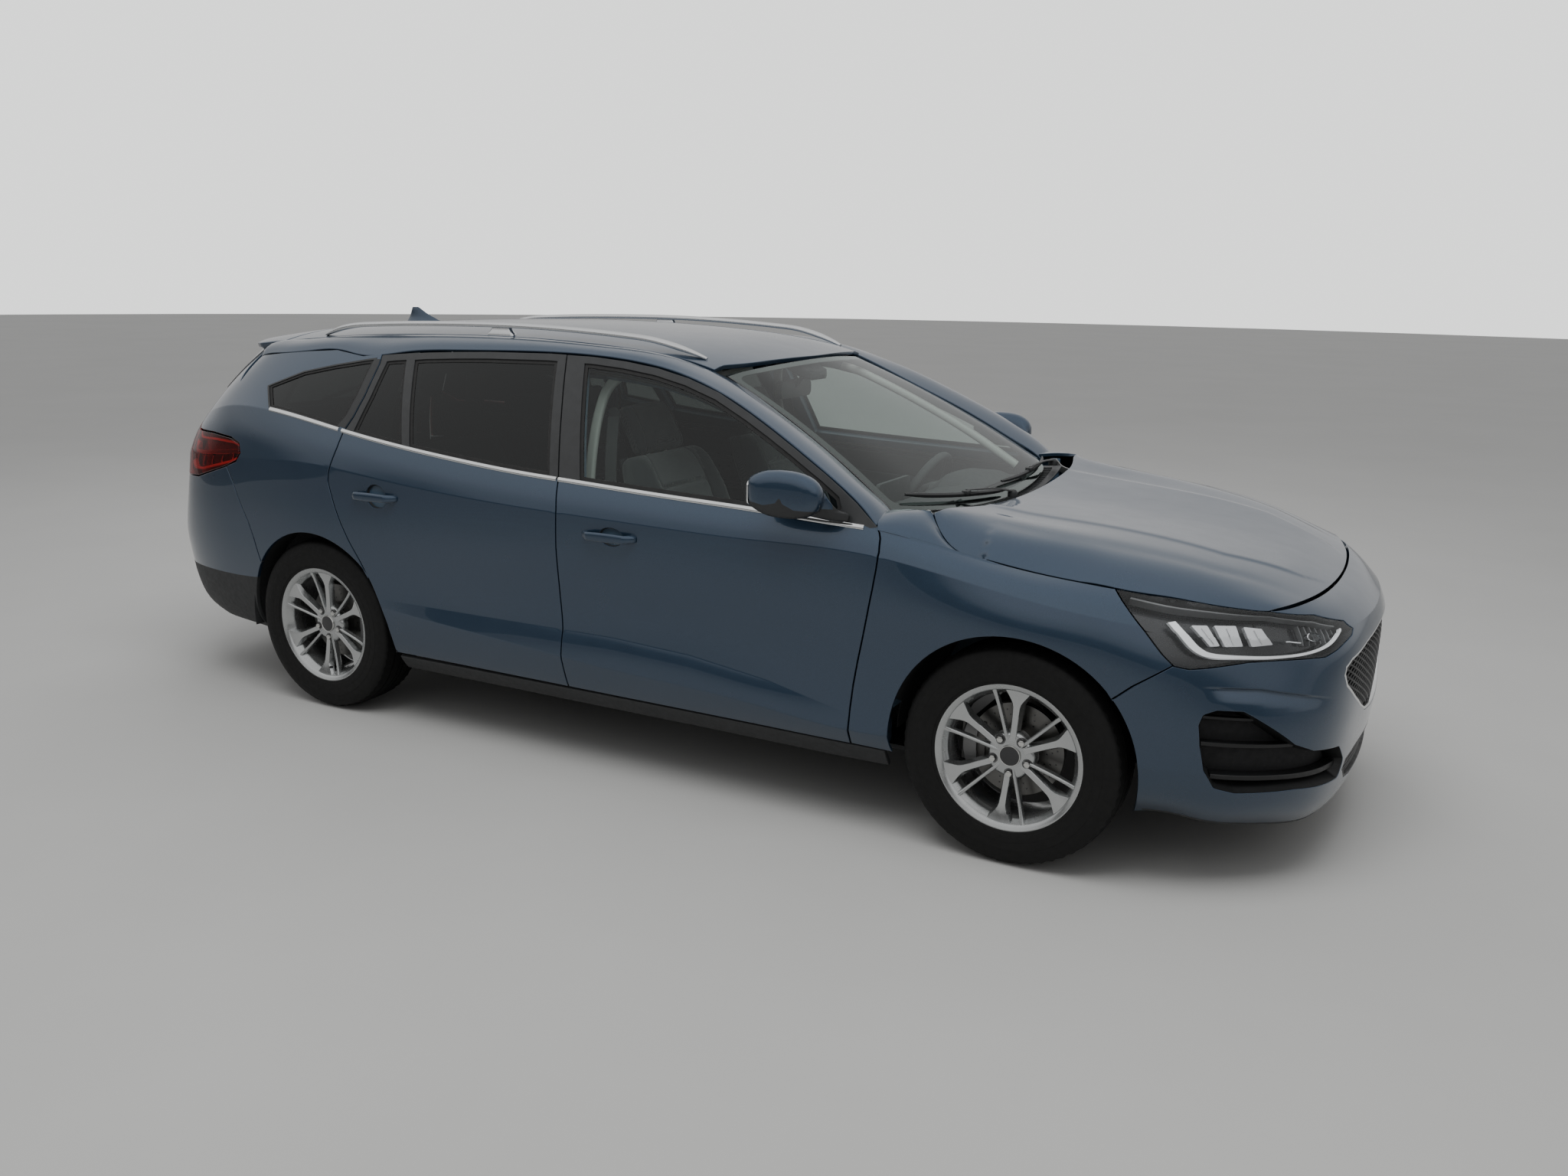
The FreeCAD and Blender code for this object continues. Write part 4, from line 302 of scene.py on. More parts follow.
def ring_find(x, z):
    """Net coordinates on the body side for a side-view point."""
    best = None
    for i, k in enumerate(RING.uk):
        if not (RING.u0 + .6 <= k <= RING.u1 - .45):
            continue
        row = RING.rows[i]
        for j in range(RING.nl):
            if row[j][1] < 0:
                continue
            d = (row[j][0] - x) ** 2 + (row[j][2] - z) ** 2
            if best is None or d < best[0]:
                best = (d, k, RING.vk[j])
    return RING.find(x, z, best[1], best[2])


# hood: stations from its front edge to the cowl, levels from the centre to the side gap
def hood_rows():
    return [
        [(2.095, 0, .787), (2.080, .28, .790), (2.048, .46, .793), (2.012, .575, .795), (1.990, .61, .792), (1.970, .635, .787)],
        [(2.010, 0, .822), (1.990, .28, .826), (1.960, .46, .829), (1.920, .60, .825), (1.895, .655, .814), (1.868, .695, .801)],
        [(1.860, 0, .862), (1.850, .28, .867), (1.830, .47, .872), (1.800, .62, .866), (1.775, .695, .847), (1.747, .755, .822)],
        [(1.640, 0, .898), (1.640, .28, .904), (1.635, .49, .911), (1.620, .65, .905), (1.610, .735, .880), (1.598, .800, .838)],
        [(1.400, 0, .921), (1.400, .28, .928), (1.400, .51, .937), (1.400, .67, .935), (1.400, .755, .905), (1.400, .815, .857)],
        [(1.220, 0, .934), (1.220, .28, .941), (1.215, .53, .953), (1.205, .675, .957), (1.215, .755, .925), (1.225, .812, .866)],
        [(1.098, 0, .942), (1.098, .28, .950), (1.083, .52, .969), (1.050, .66, .982), (1.045, .71, .983), (1.033, .738, .980)],
    ]


_h = [[(p[0], -p[1], p[2]) for p in r[:0:-1]] + r for r in hood_rows()]
HOOD = Net(_h, [0.0, .09, .25, .48, .72, .90, 1.03], [-.83, -.75, -.66, -.50, -.28, 0, .28, .50, .66, .75, .83])

# rear upper corner of the wing, between the door edge, the windscreen foot and the hood gap
_c = [[(.922, .869, .936), (.914, .852, .952), (.903, .800, .968), (.897, .712, .970)],
      [(1.000, .862, .924), (.985, .840, .952), (.960, .790, .975), (.948, .718, .977)],
      [(1.110, .842, .895), (1.075, .818, .930), (1.030, .778, .965), (1.000, .728, .980)],
      [(1.222, .816, .864), (1.132, .794, .889), (1.072, .766, .935), (1.036, .739, .979)]]
CORNER = Net(_c, [0, .09, .20, .32], [0, .05, .11, .19])

# roof: stations from the windscreen edge back to the spoiler tip
ROOFC = [(.28, 1.360), (.10, 1.402), (-.2, 1.435), (-.6, 1.449), (-1.0, 1.446), (-1.4, 1.431), (-1.7, 1.411),
         (-1.9, 1.392), (-2.06, 1.368)]
ROOFE = [(.28, 1.300), (.10, 1.352), (-.2, 1.389), (-.6, 1.405), (-1.0, 1.401), (-1.4, 1.383), (-1.7, 1.356),
         (-1.9, 1.336), (-2.06, 1.318)]
ROOF_HW = .585


def roof_z(x, s):
    zc, ze = curve1(ROOFC[::-1], x), curve1(ROOFE[::-1], x)
    t = s / ROOF_HW
    return zc - (zc - ze) * (.55 * t * t + .45 * t ** 4)


# windscreen: from its base line up to the roof edge
WS_BASE = [(0, 1.040, .927), (.25, 1.028, .933), (.45, 1.000, .944), (.60, .952, .956), (.70, .892, .966)]
WS_TOP = [(0, .285, 1.359), (.19, .272, 1.354), (.34, .250, 1.345), (.43, .225, 1.335), (.505, .190, 1.322)]


def ws_rows():
    rows = []
    for (s0, x0, z0), (s1, x1, z1) in zip(WS_BASE, WS_TOP):
        r = []
        for k in (0, .25, .5, .75, 1.0):
            b = .022 * 4 * k * (1 - k)
            r.append((x0 + (x1 - x0) * k + b * .47, s0 + (s1 - s0) * k, z0 + (z1 - z0) * k + b * .88))
        rows.append(r)
    return rows


_w = ws_rows()
WSCREEN = Net(_w, [0, .25, .45, .60, .70], [0, .22, .44, .66, .88], mirror0=True)
# Panel outlines in side view (x, z), metres, on the body surface.
B_SEAM = [(-.329, 1.371), (-.277, 1.184), (-.225, .980), (-.210, .883), (-.213, .761), (-.210, .587),
          (-.204, .490), (-.203, .321), (-.203, .272)]
DLO_TOP = [(-1.710, 1.206), (-1.657, 1.231), (-1.517, 1.271), (-1.372, 1.301), (-1.229, 1.325), (-1.080, 1.341),
           (-.938, 1.352), (-.800, 1.360), (-.662, 1.366), (-.396, 1.3715), (-.203, 1.368), (-.080, 1.360),
           (.049, 1.345), (.174, 1.320), (.300, 1.283), (.428, 1.229), (.520, 1.186), (.615, 1.139), (.734, 1.076),
           (.791, 1.042), (.847, 1.005), (.893, .968)]
F_EDGE = [(.922, .945), (.936, .915), (.941, .877), (.936, .825), (.928, .769), (.915, .698), (.901, .626),
          (.883, .540), (.870, .466), (.862, .393), (.858, .320), (.856, .272)]
R_EDGE = [(-1.158, 1.3335), (-1.150, 1.300), (-1.158, 1.190), (-1.174, 1.118), (-1.197, 1.064), (-1.210, 1.009),
          (-1.229, .955), (-1.240, .918), (-1.241, .888), (-1.231, .857), (-1.209, .798), (-1.182, .740),
          (-1.150, .680), (-1.105, .608), (-1.058, .521), (-1.022, .445), (-1.002, .385), (-.990, .325), (-.985, .272)]


def part_of(line, x0, x1):
    """The run of an outline between two x values (line ascending in x), with end points put on it."""
    out = [(x0, lin(line, x0))]
    out += [p for p in line if x0 < p[0] < x1]
    out.append((x1, lin(line, x1)))
    return out


def front_door_outline():
    top = part_of(DLO_TOP, B_SEAM[0][0], DLO_TOP[-1][0])
    return top + F_EDGE + B_SEAM[:0:-1]


def rear_door_outline():
    top = part_of(DLO_TOP, R_EDGE[0][0], B_SEAM[0][0])
    return top + B_SEAM[1:] + R_EDGE[:0:-1]


def belt_run(x0, x1, dz, n=10):
    return [(x0 + (x1 - x0) * i / n, curve1(BELT, x0 + (x1 - x0) * i / n) + dz) for i in range(n + 1)]


def lower_run(line, d):
    """Outline moved down/inward by d along its normal."""
    out = []
    for i, p in enumerate(line):
        a = line[max(i - 1, 0)]
        b = line[min(i + 1, len(line) - 1)]
        tx, tz = b[0] - a[0], b[1] - a[1]
        l = hypot(tx, tz)
        out.append((p[0] + tz / l * d, p[1] - tx / l * d))
    return out


def front_glass_outline():
    top = lower_run(part_of(DLO_TOP, -.245, .80), .026)
    top = [p for p in top if p[0] > -.246]
    zt = top[0][1]
    return [(-.243, zt)] + top[1:] + [(.800, .985)] + belt_run(.775, -.140, .012)[0:]


def rear_glass_outline():
    top = lower_run(part_of(DLO_TOP, -.998, -.357), .026)
    return [(-.985, top[0][1])] + top[1:-1] + [(-.360, top[-1][1])] + belt_run(-.266, -.880, .012)


def rear_light_outline():
    top = lower_run(part_of(DLO_TOP, -1.125, -1.025), .026)
    return [(-1.118, top[0][1])] + top[1:-1] + [(-1.028, top[-1][1])] + belt_run(-.918, -1.150, .012, 5) + [(-1.128, 1.19)]


def quarter_glass_outline():
    top = lower_run(part_of(DLO_TOP, -1.640, -1.178), .020)
    return [(-1.660, 1.196)] + top[1:-1] + [(-1.188, top[-1][1])] + [(-1.196, 1.19), (-1.212, 1.118)] + \
        belt_run(-1.235, -1.560, .014, 6) + [(-1.60, 1.130)]


ARCH_F = (1.350, .326, .362)
ARCH_R = (-1.350, .326, .358)
LAMP_F = [(1.599, .837), (1.673, .830), (1.747, .822), (1.868, .8015), (1.977, .786), (2.074, .764), (2.142, .731),
          (2.167, .707), (2.168, .695), (2.143, .672), (2.120, .660), (2.051, .662), (1.950, .665), (1.859, .656),
          (1.817, .653), (1.780, .660), (1.747, .690), (1.695, .747), (1.639, .801)]
LAMP_R = [(-2.30, .840), (-2.30, .965), (-2.17, .985), (-2.06, .998), (-1.954, 1.000), (-1.82, .994), (-1.765, .978),
          (-1.752, .945), (-1.776, .915), (-1.90, .868), (-2.043, .828), (-2.15, .818)]
BUMP_R_SEAM = [(-2.30, .815), (-2.043, .822), (-1.905, .862), (-1.836, .884), (-1.790, .830), (-1.756, .775), (-1.700, .690), (-1.674, .636)]
INTAKE = [(1.854, .504), (1.862, .533), (1.892, .545), (1.954, .540), (1.984, .520), (2.034, .481), (2.079, .436),
          (2.122, .407), (2.175, .39), (2.185, .33), (2.177, .281), (2.088, .300), (1.952, .305), (1.901, .322), (1.875, .375), (1.861, .446)]

# ---------------------------------------------------------------------------
# Array form of the nets, panels and small builders
# ---------------------------------------------------------------------------
class Fast:
    """Array evaluation of a Net; reaches past a mirrored end onto the other side."""

    def __init__(self, net, wrap=False):
        self.n, self.wrap = net, wrap
        self.uk = np.array(net.uk)
        self.vk = np.array(net.vk)
        self.rows = np.array(net.rows)
        self.m = np.array(net.m)
        self.parts = [(a, b, np.array(A)) for a, b, A in net.parts]

    def _at(self, u, v):
        uk = self.uk
        i = np.clip(np.searchsorted(uk, u) - 1, 0, len(uk) - 2)
        h = (uk[i + 1] - uk[i])
        a, b = (uk[i + 1] - u) / h, (u - uk[i]) / h
        ca, cb = (a ** 3 - a) * h * h / 6, (b ** 3 - b) * h * h / 6
        f = lambda q: q[:, None, None]
        r = f(a) * self.rows[i] + f(b) * self.rows[i + 1] + f(ca) * self.m[i] + f(cb) * self.m[i + 1]
        out = np.zeros((len(u), 3))
        for a0, b0, A in self.parts:
            last = b0 == self.n.nl - 1
            sel = (v <= self.vk[b0]) if not last else np.ones(len(v), bool)
            if a0 > 0:
                sel = sel & (v > self.vk[a0])
            if not sel.any():
                continue
            rr = r[sel, a0:b0 + 1]
            mm = np.einsum('ij,njc->nic', A, rr)
            t = self.vk[a0:b0 + 1]
            vv = v[sel]
            j = np.clip(np.searchsorted(t, vv) - 1, 0, len(t) - 2)
            h = t[j + 1] - t[j]
            p, q = (t[j + 1] - vv) / h, (vv - t[j]) / h
            cp, cq = (p ** 3 - p) * h * h / 6, (q ** 3 - q) * h * h / 6
            k = np.arange(len(vv))
            g = lambda w: w[:, None]
            out[sel] = g(p) * rr[k, j] + g(q) * rr[k, j + 1] + g(cp) * mm[k, j] + g(cq) * mm[k, j + 1]
        return out

    def at(self, u, v):
        u, v = np.asarray(u, float), np.asarray(v, float)
        if not self.wrap:
            return self._at(u, v)
        hi, lo = u > self.n.u1, u < self.n.u0
        w = np.where(hi, 2 * self.n.u1 - u, np.where(lo, 2 * self.n.u0 - u, u))
        p = self._at(w, v)
        p[hi | lo, 1] *= -1
        return p

    def normal(self, u, v):
        """Outward normal."""
        u, v = np.asarray(u, float), np.asarray(v, float)
        e = 3e-4
        a = self.at(u + e, v) - self.at(u - e, v)
        b = self.at(u, v + e) - self.at(u, v - e)
        n = np.cross(a, b)
        n /= np.linalg.norm(n, axis=1)[:, None] + 1e-12
        return -n if self.wrap else n

    def both(self, u, v):
        return self.at(u, v), self.normal(u, v)

    def find(self, pts, guess=None, ax=(0, 2), u_rng=None):
        """Net coordinates of points given by two coordinates, by Newton steps from the nearest sample."""
        pts = np.asarray(pts, float)
        if guess is None:
            u_lo, u_hi = u_rng or (self.n.u0, self.n.u1)
            gu, gv = np.meshgrid(np.linspace(u_lo, u_hi, 160), np.linspace(self.vk[0], self.vk[-1], 60), indexing='ij')
            gu, gv = gu.ravel(), gv.ravel()
            gp = self.at(gu, gv)
            sel = gp[:, 1] > -.01 if ax == (0, 2) else np.ones(len(gu), bool)
            gu, gv, gp = gu[sel], gv[sel], gp[sel]
            d = (gp[None, :, ax[0]] - pts[:, None, 0]) ** 2 + (gp[None, :, ax[1]] - pts[:, None, 1]) ** 2
            k = d.argmin(1)
            u, v = gu[k].copy(), gv[k].copy()
        else:
            u, v = np.array(guess[0], float), np.array(guess[1], float)
        h = 1e-4
        for _ in range(16):
            p = self.at(u, v)
            e = pts - p[:, ax]
            A, B = (self.at(u + h, v) - p)[:, ax] / h, (self.at(u, v + h) - p)[:, ax] / h
            det = A[:, 0] * B[:, 1] - B[:, 0] * A[:, 1]
            det = np.where(np.abs(det) < 1e-9, 1e-9, det)
            du = (e[:, 0] * B[:, 1] - e[:, 1] * B[:, 0]) / det
            dv = (e[:, 1] * A[:, 0] - e[:, 0] * A[:, 1]) / det
            k = np.minimum(1, np.minimum(.2 / (np.abs(du) + 1e-9), .1 / (np.abs(dv) + 1e-9)))
            u = np.clip(u + du * k, self.n.u0 - (.7 if self.wrap else 0), self.n.u1 + (.7 if self.wrap else 0))
            v = np.clip(v + dv * k, self.vk[0] - .03, self.vk[-1] + .03)
        return np.stack([u, v], 1)


FRING, FHOOD, FCORNER, FWS = Fast(RING, True), Fast(HOOD), Fast(CORNER), Fast(WSCREEN)


class Shaped:
    """A surface given by a point function; its normals are found by differences and turned like those of base."""

    def __init__(self, at, base, e=8e-4):
        self.at, self.base, self.e = at, base, e

    def both(self, u, v):
        u, v = np.asarray(u, float), np.asarray(v, float)
        e = self.e
        n = np.cross(self.at(u + e, v) - self.at(u - e, v), self.at(u, v + e) - self.at(u, v - e))
        n /= np.linalg.norm(n, axis=1)[:, None] + 1e-12
        b = self.base.both(u, v)[1]
        s = np.where((n * b).sum(1) < 0, -1.0, 1.0)
        return self.at(u, v), n * s[:, None]


class Flip:
    """A surface whose normals are turned to point up or out."""

    def __init__(self, s, up=True):
        self.s, self.up = s, up

    def both(self, u, v):
        p, n = self.s.at(u, v), self.s.normal(u, v)
        return p, n * np.where(n[:, 2:3] < 0, -1, 1)


class Glass:
    """Windscreen by signed distance from the centre plane."""

    def both(self, u, v):
        u, v = np.asarray(u, float), np.asarray(v, float)
        sg = np.where(u < 0, -1, 1)
        p, n = FWS.at(np.abs(u), v), FWS.normal(np.abs(u), v)
        n = n * np.where(n[:, 2:3] < 0, -1, 1)
        p[:, 1] *= sg
        n[:, 1] *= sg
        return p, n


class Roof:
    """Roof by plan position: u = -x, v = y."""

    def __init__(self):
        xs = np.array([p[0] for p in ROOFC[::-1]])
        self.x, self.c, self.e = xs, np.array([p[1] for p in ROOFC[::-1]]), np.array([p[1] for p in ROOFE[::-1]])
        self.A = np.array(spline_matrix(list(xs)))
        self.mc, self.me = self.A @ self.c, self.A @ self.e

    def _c(self, y, m, x):
        i = np.clip(np.searchsorted(self.x, x) - 1, 0, len(self.x) - 2)
        h = self.x[i + 1] - self.x[i]
        a, b = (self.x[i + 1] - x) / h, (x - self.x[i]) / h
        return a * y[i] + b * y[i + 1] + ((a ** 3 - a) * m[i] + (b ** 3 - b) * m[i + 1]) * h * h / 6

    def z(self, x, y):
        zc, ze, t = self._c(self.c, self.mc, x), self._c(self.e, self.me, x), np.abs(y) / ROOF_HW
        return zc - (zc - ze) * (.55 * t * t + .45 * t ** 4)

    def both(self, u, v):
        x, y = -np.asarray(u, float), np.asarray(v, float)
        e = 1e-3
        z = self.z(x, y)
        n = np.stack([-(self.z(x + e, y) - self.z(x - e, y)) / (2 * e), -(self.z(x, y + e) - self.z(x, y - e)) / (2 * e), np.ones(len(x))], 1)
        n /= np.linalg.norm(n, axis=1)[:, None]
        return np.stack([x, y, z], 1), n


ROOF = Roof()


def densify(poly, step=.012, closed=True):
    out = []
    n = len(poly)
    for i in range(n if closed else n - 1):
        a, b = np.array(poly[i], float), np.array(poly[(i + 1) % n], float)
        k = max(1, int(np.hypot(*(b - a)) / step + .5))
        out += [a + (b - a) * j / k for j in range(k)]
    if not closed:
        out.append(np.array(poly[-1], float))
    return np.array(out)


def round_poly(poly, r, n=5):
    """Rounds each corner of a closed outline with radius about r."""
    out = []
    m = len(poly)
    for i in range(m):
        p, a, b = (np.array(poly[k], float) for k in (i, i - 1, (i + 1) % m))
        la, lb = np.hypot(*(a - p)), np.hypot(*(b - p))
        ua, ub = (a - p) / la, (b - p) / lb
        c = np.clip(np.dot(ua, ub), -1, 1)
        if c < -.985:
            out.append(p)
            continue
        half = np.arccos(c) / 2
        rr = r if np.isscalar(r) else r[i]
        d = min(rr / np.tan(half), la * .48, lb * .48)
        if d < 1e-5:
            out.append(p)
            continue
        s, e = p + ua * d, p + ub * d
        for k in range(n + 1):
            t = k / n
            out.append((1 - t) ** 2 * s + 2 * t * (1 - t) * p + t * t * e)
    return np.array(out)


def area2(p):
    x, y = p[:, 0], p[:, 1]
    return .5 * np.sum(x * np.roll(y, -1) - np.roll(x, -1) * y)


def inset(poly, d):
    """Closed outline moved inwards by d (negative: outwards)."""
    p = np.asarray(poly, float)
    if np.isscalar(d):
        keep = np.hypot(*(p - np.roll(p, 1, 0)).T) > 1e-6
        p = p[keep]
        if area2(p) < 0:
            p = p[::-1]
    a, b = p - np.roll(p, 1, 0), np.roll(p, -1, 0) - p
    a /= np.hypot(*a.T)[:, None] + 1e-12
    b /= np.hypot(*b.T)[:, None] + 1e-12
    na, nb = np.stack([-a[:, 1], a[:, 0]], 1), np.stack([-b[:, 1], b[:, 0]], 1)
    m = na + nb
    m /= np.hypot(*m.T)[:, None] + 1e-12
    c = np.maximum((m * nb).sum(1), .45)
    return p + m * (d / c)[:, None]


def inside(poly, q):
    """Which points q lie in the closed outline."""
    x, y = q[:, 0][:, None], q[:, 1][:, None]
    x0, y0 = poly[:, 0][None], poly[:, 1][None]
    x1, y1 = np.roll(poly[:, 0], -1)[None], np.roll(poly[:, 1], -1)[None]
    c = ((y0 > y) != (y1 > y)) & (x < (x1 - x0) * (y - y0) / (y1 - y0 + 1e-15) + x0)
    return c.sum(1) % 2 == 1


def near(poly, q, d):
    """Which points q lie within d of the outline."""
    a, b = poly, np.roll(poly, -1, 0)
    ab = b - a
    l2 = (ab ** 2).sum(1) + 1e-12
    out = np.zeros(len(q), bool)
    for k in range(0, len(q), 2000):
        w = q[k:k + 2000, None] - a[None]
        t = np.clip((w * ab[None]).sum(2) / l2[None], 0, 1)
        dd = w - t[..., None] * ab[None]
        out[k:k + 2000] = ((dd ** 2).sum(2) < d * d).any(1)
    return out


COL = {}


def make_mesh(name, verts, faces, mats, normals=None, face_mat=None, smooth=True):
    me = bpy.data.meshes.new(name)
    me.from_pydata([tuple(v) for v in verts], [], [tuple(int(i) for i in f) for f in faces])
    for m in (mats if isinstance(mats, (list, tuple)) else [mats]):
        me.materials.append(m)
    if face_mat is not None:
        me.polygons.foreach_set('material_index', np.asarray(face_mat, dtype=np.int32))
    me.polygons.foreach_set('use_smooth', [smooth] * len(me.polygons))
    me.update()
    if normals is not None:
        me.normals_split_custom_set_from_vertices([tuple(n) for n in normals])
    ob = bpy.data.objects.new(name, me)
    SCENE.collection.objects.link(ob)
    return ob


def panel_data(surf, outer, holes=(), step=.022, r=.0022, depth=.012, back=0.0, off=0.0, side=1, creases=(), edge_step=.011, rows=None, flat=None,
               levels=False, extra=None):
    """A skin on a surface: rounded hems at its outline and holes, an inward flange, and a back face when back > 0."""
    loops = [densify(np.asarray(outer, float), edge_step)] + [densify(np.asarray(h, float), edge_step) for h in holes]
    ins, out2, rads = [], [], []
    for k, lp in enumerate(loops):
        if area2(lp) < 0:
            lp = lp[::-1]
        keep = np.hypot(*(lp - np.roll(lp, 1, 0)).T) > 1e-6
        lp = lp[keep]
        out2.append(lp)
        rk = np.full(len(lp), r)
        if flat is not None and k == 0:
            rk[flat(lp)] = .0001
        rads.append(rk)
        ins.append(inset(lp, rk if k == 0 else -rk))
    loops = out2
    allp = np.concatenate(ins)
    lo, hi = ins[0].min(0), ins[0].max(0)
    us = np.arange(lo[0] + step * .6, hi[0], step)
    if rows is None:
        vs = list(np.arange(lo[1] + step * .6, hi[1], step))
        if creases:
            vs = [v for v in vs if all(abs(v - c) > .010 for c in creases)]
            for c in creases:
                if lo[1] < c < hi[1]:
                    vs += [c - .0045, c, c + .0045]
        vs = np.array(sorted(vs))
    else:
        vs = np.array(rows)
    gu, gv = np.meshgrid(us, vs, indexing='ij')
    odd = (np.arange(len(vs)) % 2)[None, :] * step * .5 * (0 if creases else 1)
    g = np.stack([(gu + odd).ravel(), gv.ravel()], 1)
    sel = inside(ins[0], g)
    for h in ins[1:]:
        sel &= ~inside(h, g)
    g = g[sel]
    for lp in ins:
        g = g[~near(lp, g, step * .42)]
    if extra is not None:
        ex = np.asarray(extra, float)
        sel = inside(ins[0], ex)
        for h in ins[1:]:
            sel &= ~inside(h, ex)
        ex = ex[sel]
        for lp in ins:
            ex = ex[~near(lp, ex, .0025)]
        g = g[~near(ex, g, step * .35)]
        g = np.concatenate([g, ex])
    pts = np.concatenate([allp, g])
    edges = []
    b = 0
    for lp in ins:
        n = len(lp)
        edges += [(b + i, b + (i + 1) % n) for i in range(n)]
        b += n
    vc, _, fc, ov, _, _ = delaunay_2d_cdt([Vector((float(p[0]), float(p[1]))) for p in pts], edges, [], 0, 1e-7, True)
    vc = np.array([(v.x, v.y) for v in vc])
    remap = {}
    for i, o in enumerate(ov):
        for k in o:
            remap[k] = i
    tri = np.array([f for f in fc if len(f) == 3])
    cen = vc[tri].mean(1)
    ok = inside(ins[0], cen)
    for h in ins[1:]:
        ok &= ~inside(h, cen)
    tri = tri[ok]
    P, N = surf.both(vc[:, 0], vc[:, 1])
    if creases:
        for c in creases:
            s = np.abs(vc[:, 1] - c) < .0006
            if s.any():
                n0 = surf.both(vc[s, 0], vc[s, 1] - .0045)[1]
                n1 = surf.both(vc[s, 0], vc[s, 1] + .0045)[1]
                m = n0 + n1
                N[s] = m / np.linalg.norm(m, axis=1)[:, None]
    if side < 0:
        P[:, 1] *= -1
        N[:, 1] *= -1
    # turn triangles to face along the normals
    fn = np.cross(P[tri[:, 1]] - P[tri[:, 0]], P[tri[:, 2]] - P[tri[:, 0]])
    flip = (fn * N[tri].sum(1)).sum(1) < 0
    tri[flip] = tri[flip][:, ::-1]
    P = P + N * off
    V, NN, F, LV = [P], [N], [tri.tolist()], [vc[:, 1]]
    count = len(P)
    b = 0
    ends = []
    for k, (lp, li) in enumerate(zip(loops, ins)):
        n = len(lp)
        idx = [remap[b + i] for i in range(n)]
        b += n
        E, EN = surf.both(lp[:, 0], lp[:, 1])
        if side < 0:
            E[:, 1] *= -1
            EN[:, 1] *= -1
        E = E + EN * off
        S, SN = P[idx], N[idx]
        bv = E - S
        bv -= (bv * SN).sum(1)[:, None] * SN
        bl = np.linalg.norm(bv, axis=1)[:, None] + 1e-12
        bh = bv / bl
        rows_ = [idx]
        rr = rads[k][:, None]
        LV_k = lp[:, 1]
        for a in (30, 60, 90):
            LV.append(LV_k)
            a = a * pi / 180
            V.append(S + bv * sin(a) - SN * rr * (1 - cos(a)))
            q = SN * cos(a) + bh * sin(a)
            NN.append(q / np.linalg.norm(q, axis=1)[:, None])
            rows_.append(list(range(count, count + n)))
            count += n
        dd = depth if not back else back - r
        LV.append(LV_k)
        V.append(S + bv - SN * (r + max(dd - r, .0005)))
        NN.append(bh)
        rows_.append(list(range(count, count + n)))
        count += n
        if back:
            for a in (45, 90):
                a = a * pi / 180
                LV.append(LV_k)
                V.append(S + bv * cos(a) - SN * (back - r + r * sin(a)))
                q = bh * cos(a) - SN * sin(a)
                NN.append(q / np.linalg.norm(q, axis=1)[:, None])
                rows_.append(list(range(count, count + n)))
                count += n
        ends.append(rows_[-1])
        strip = []
        for ra, rb in zip(rows_[:-1], rows_[1:]):
            for i in range(n):
                j = (i + 1) % n
                strip.append((ra[i], ra[j], rb[j], rb[i]))
        # orientation test on the first band
        tmpV = np.concatenate(V)
        tmpN = np.concatenate(NN)
        s = strip[n // 3]
        fnv = np.cross(tmpV[s[1]] - tmpV[s[0]], tmpV[s[2]] - tmpV[s[0]])
        if np.dot(fnv, tmpN[s[0]] + tmpN[s[3]]) < 0:
            strip = [f[::-1] for f in strip]
        F.append(strip)
    if back:
        # back sheet: the same triangles, reversed, joined to the ends of the hems
        m = {}
        b = 0
        base = count
        V.append(P - N * back)
        NN.append(-N)
        LV.append(vc[:, 1])
        for k, li in enumerate(ins):
            for i in range(len(li)):
                m[remap[b + i]] = ends[k][i]
            b += len(li)
        bt = [[m.get(int(i), base + int(i)) for i in t[::-1]] for t in tri]
        F.append(bt)
    V, NN = np.concatenate(V), np.concatenate(NN)
    faces = [f for fs in F for f in fs]
    used = np.zeros(len(V), bool)
    for f in faces:
        for i in f:
            used[i] = True
    new = np.cumsum(used) - 1
    V, NN = V[used], NN[used]
    faces = [tuple(int(new[i]) for i in f) for f in faces]
    V = V + np.array([XS, 0, 0])
    if levels:
        return V, NN, faces, np.concatenate(LV)[used]
    return V, NN, faces


def finish_piece(ob, body, node=None):
    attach(ob, body)
    if node:
        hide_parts(*([node] if isinstance(node, str) else node))
    return ob


def join_data(items):
    """items: (V, N, faces, material index)."""
    V, N, F, M = [], [], [], []
    b = 0
    for v, n, f, m in items:
        V.append(np.asarray(v))
        N.append(np.asarray(n))
        F += [tuple(i + b for i in q) for q in f]
        M += [m] * len(f)
        b += len(v)
    return np.concatenate(V), np.concatenate(N), F, M


def piece(name, items, mats, body, node=None):
    V, N, F, M = join_data(items)
    return finish_piece(make_mesh(name, V, F, mats, N, M), body, node)


def panel(name, surf, outer, mat, body, node=None, slot=None, split=None, **kw):
    """One skin piece.  split = (level, second material) changes material above a level."""
    if split:
        V, N, F, L = panel_data(surf, outer, levels=True, **kw)
        M = [1 if sum(L[i] for i in f) / len(f) > split[0] else 0 for f in F]
        return finish_piece(make_mesh(name, V, F, [mat, split[1]], N, M), body, node)
    V, N, F = panel_data(surf, outer, **kw)
    return finish_piece(make_mesh(name, V, F, mat, N), body, node)


def face_normals(V, F):
    """Area-weighted face normals by fans."""
    A, B, C, I = [], [], [], []
    for k, f in enumerate(F):
        for i in range(1, len(f) - 1):
            A.append(f[0])
            B.append(f[i])
            C.append(f[i + 1])
            I.append(k)
    A, B, C = V[A], V[B], V[C]
    n = np.zeros((len(F), 3))
    np.add.at(n, I, np.cross(B - A, C - A))
    return n, float((A * np.cross(B, C)).sum())


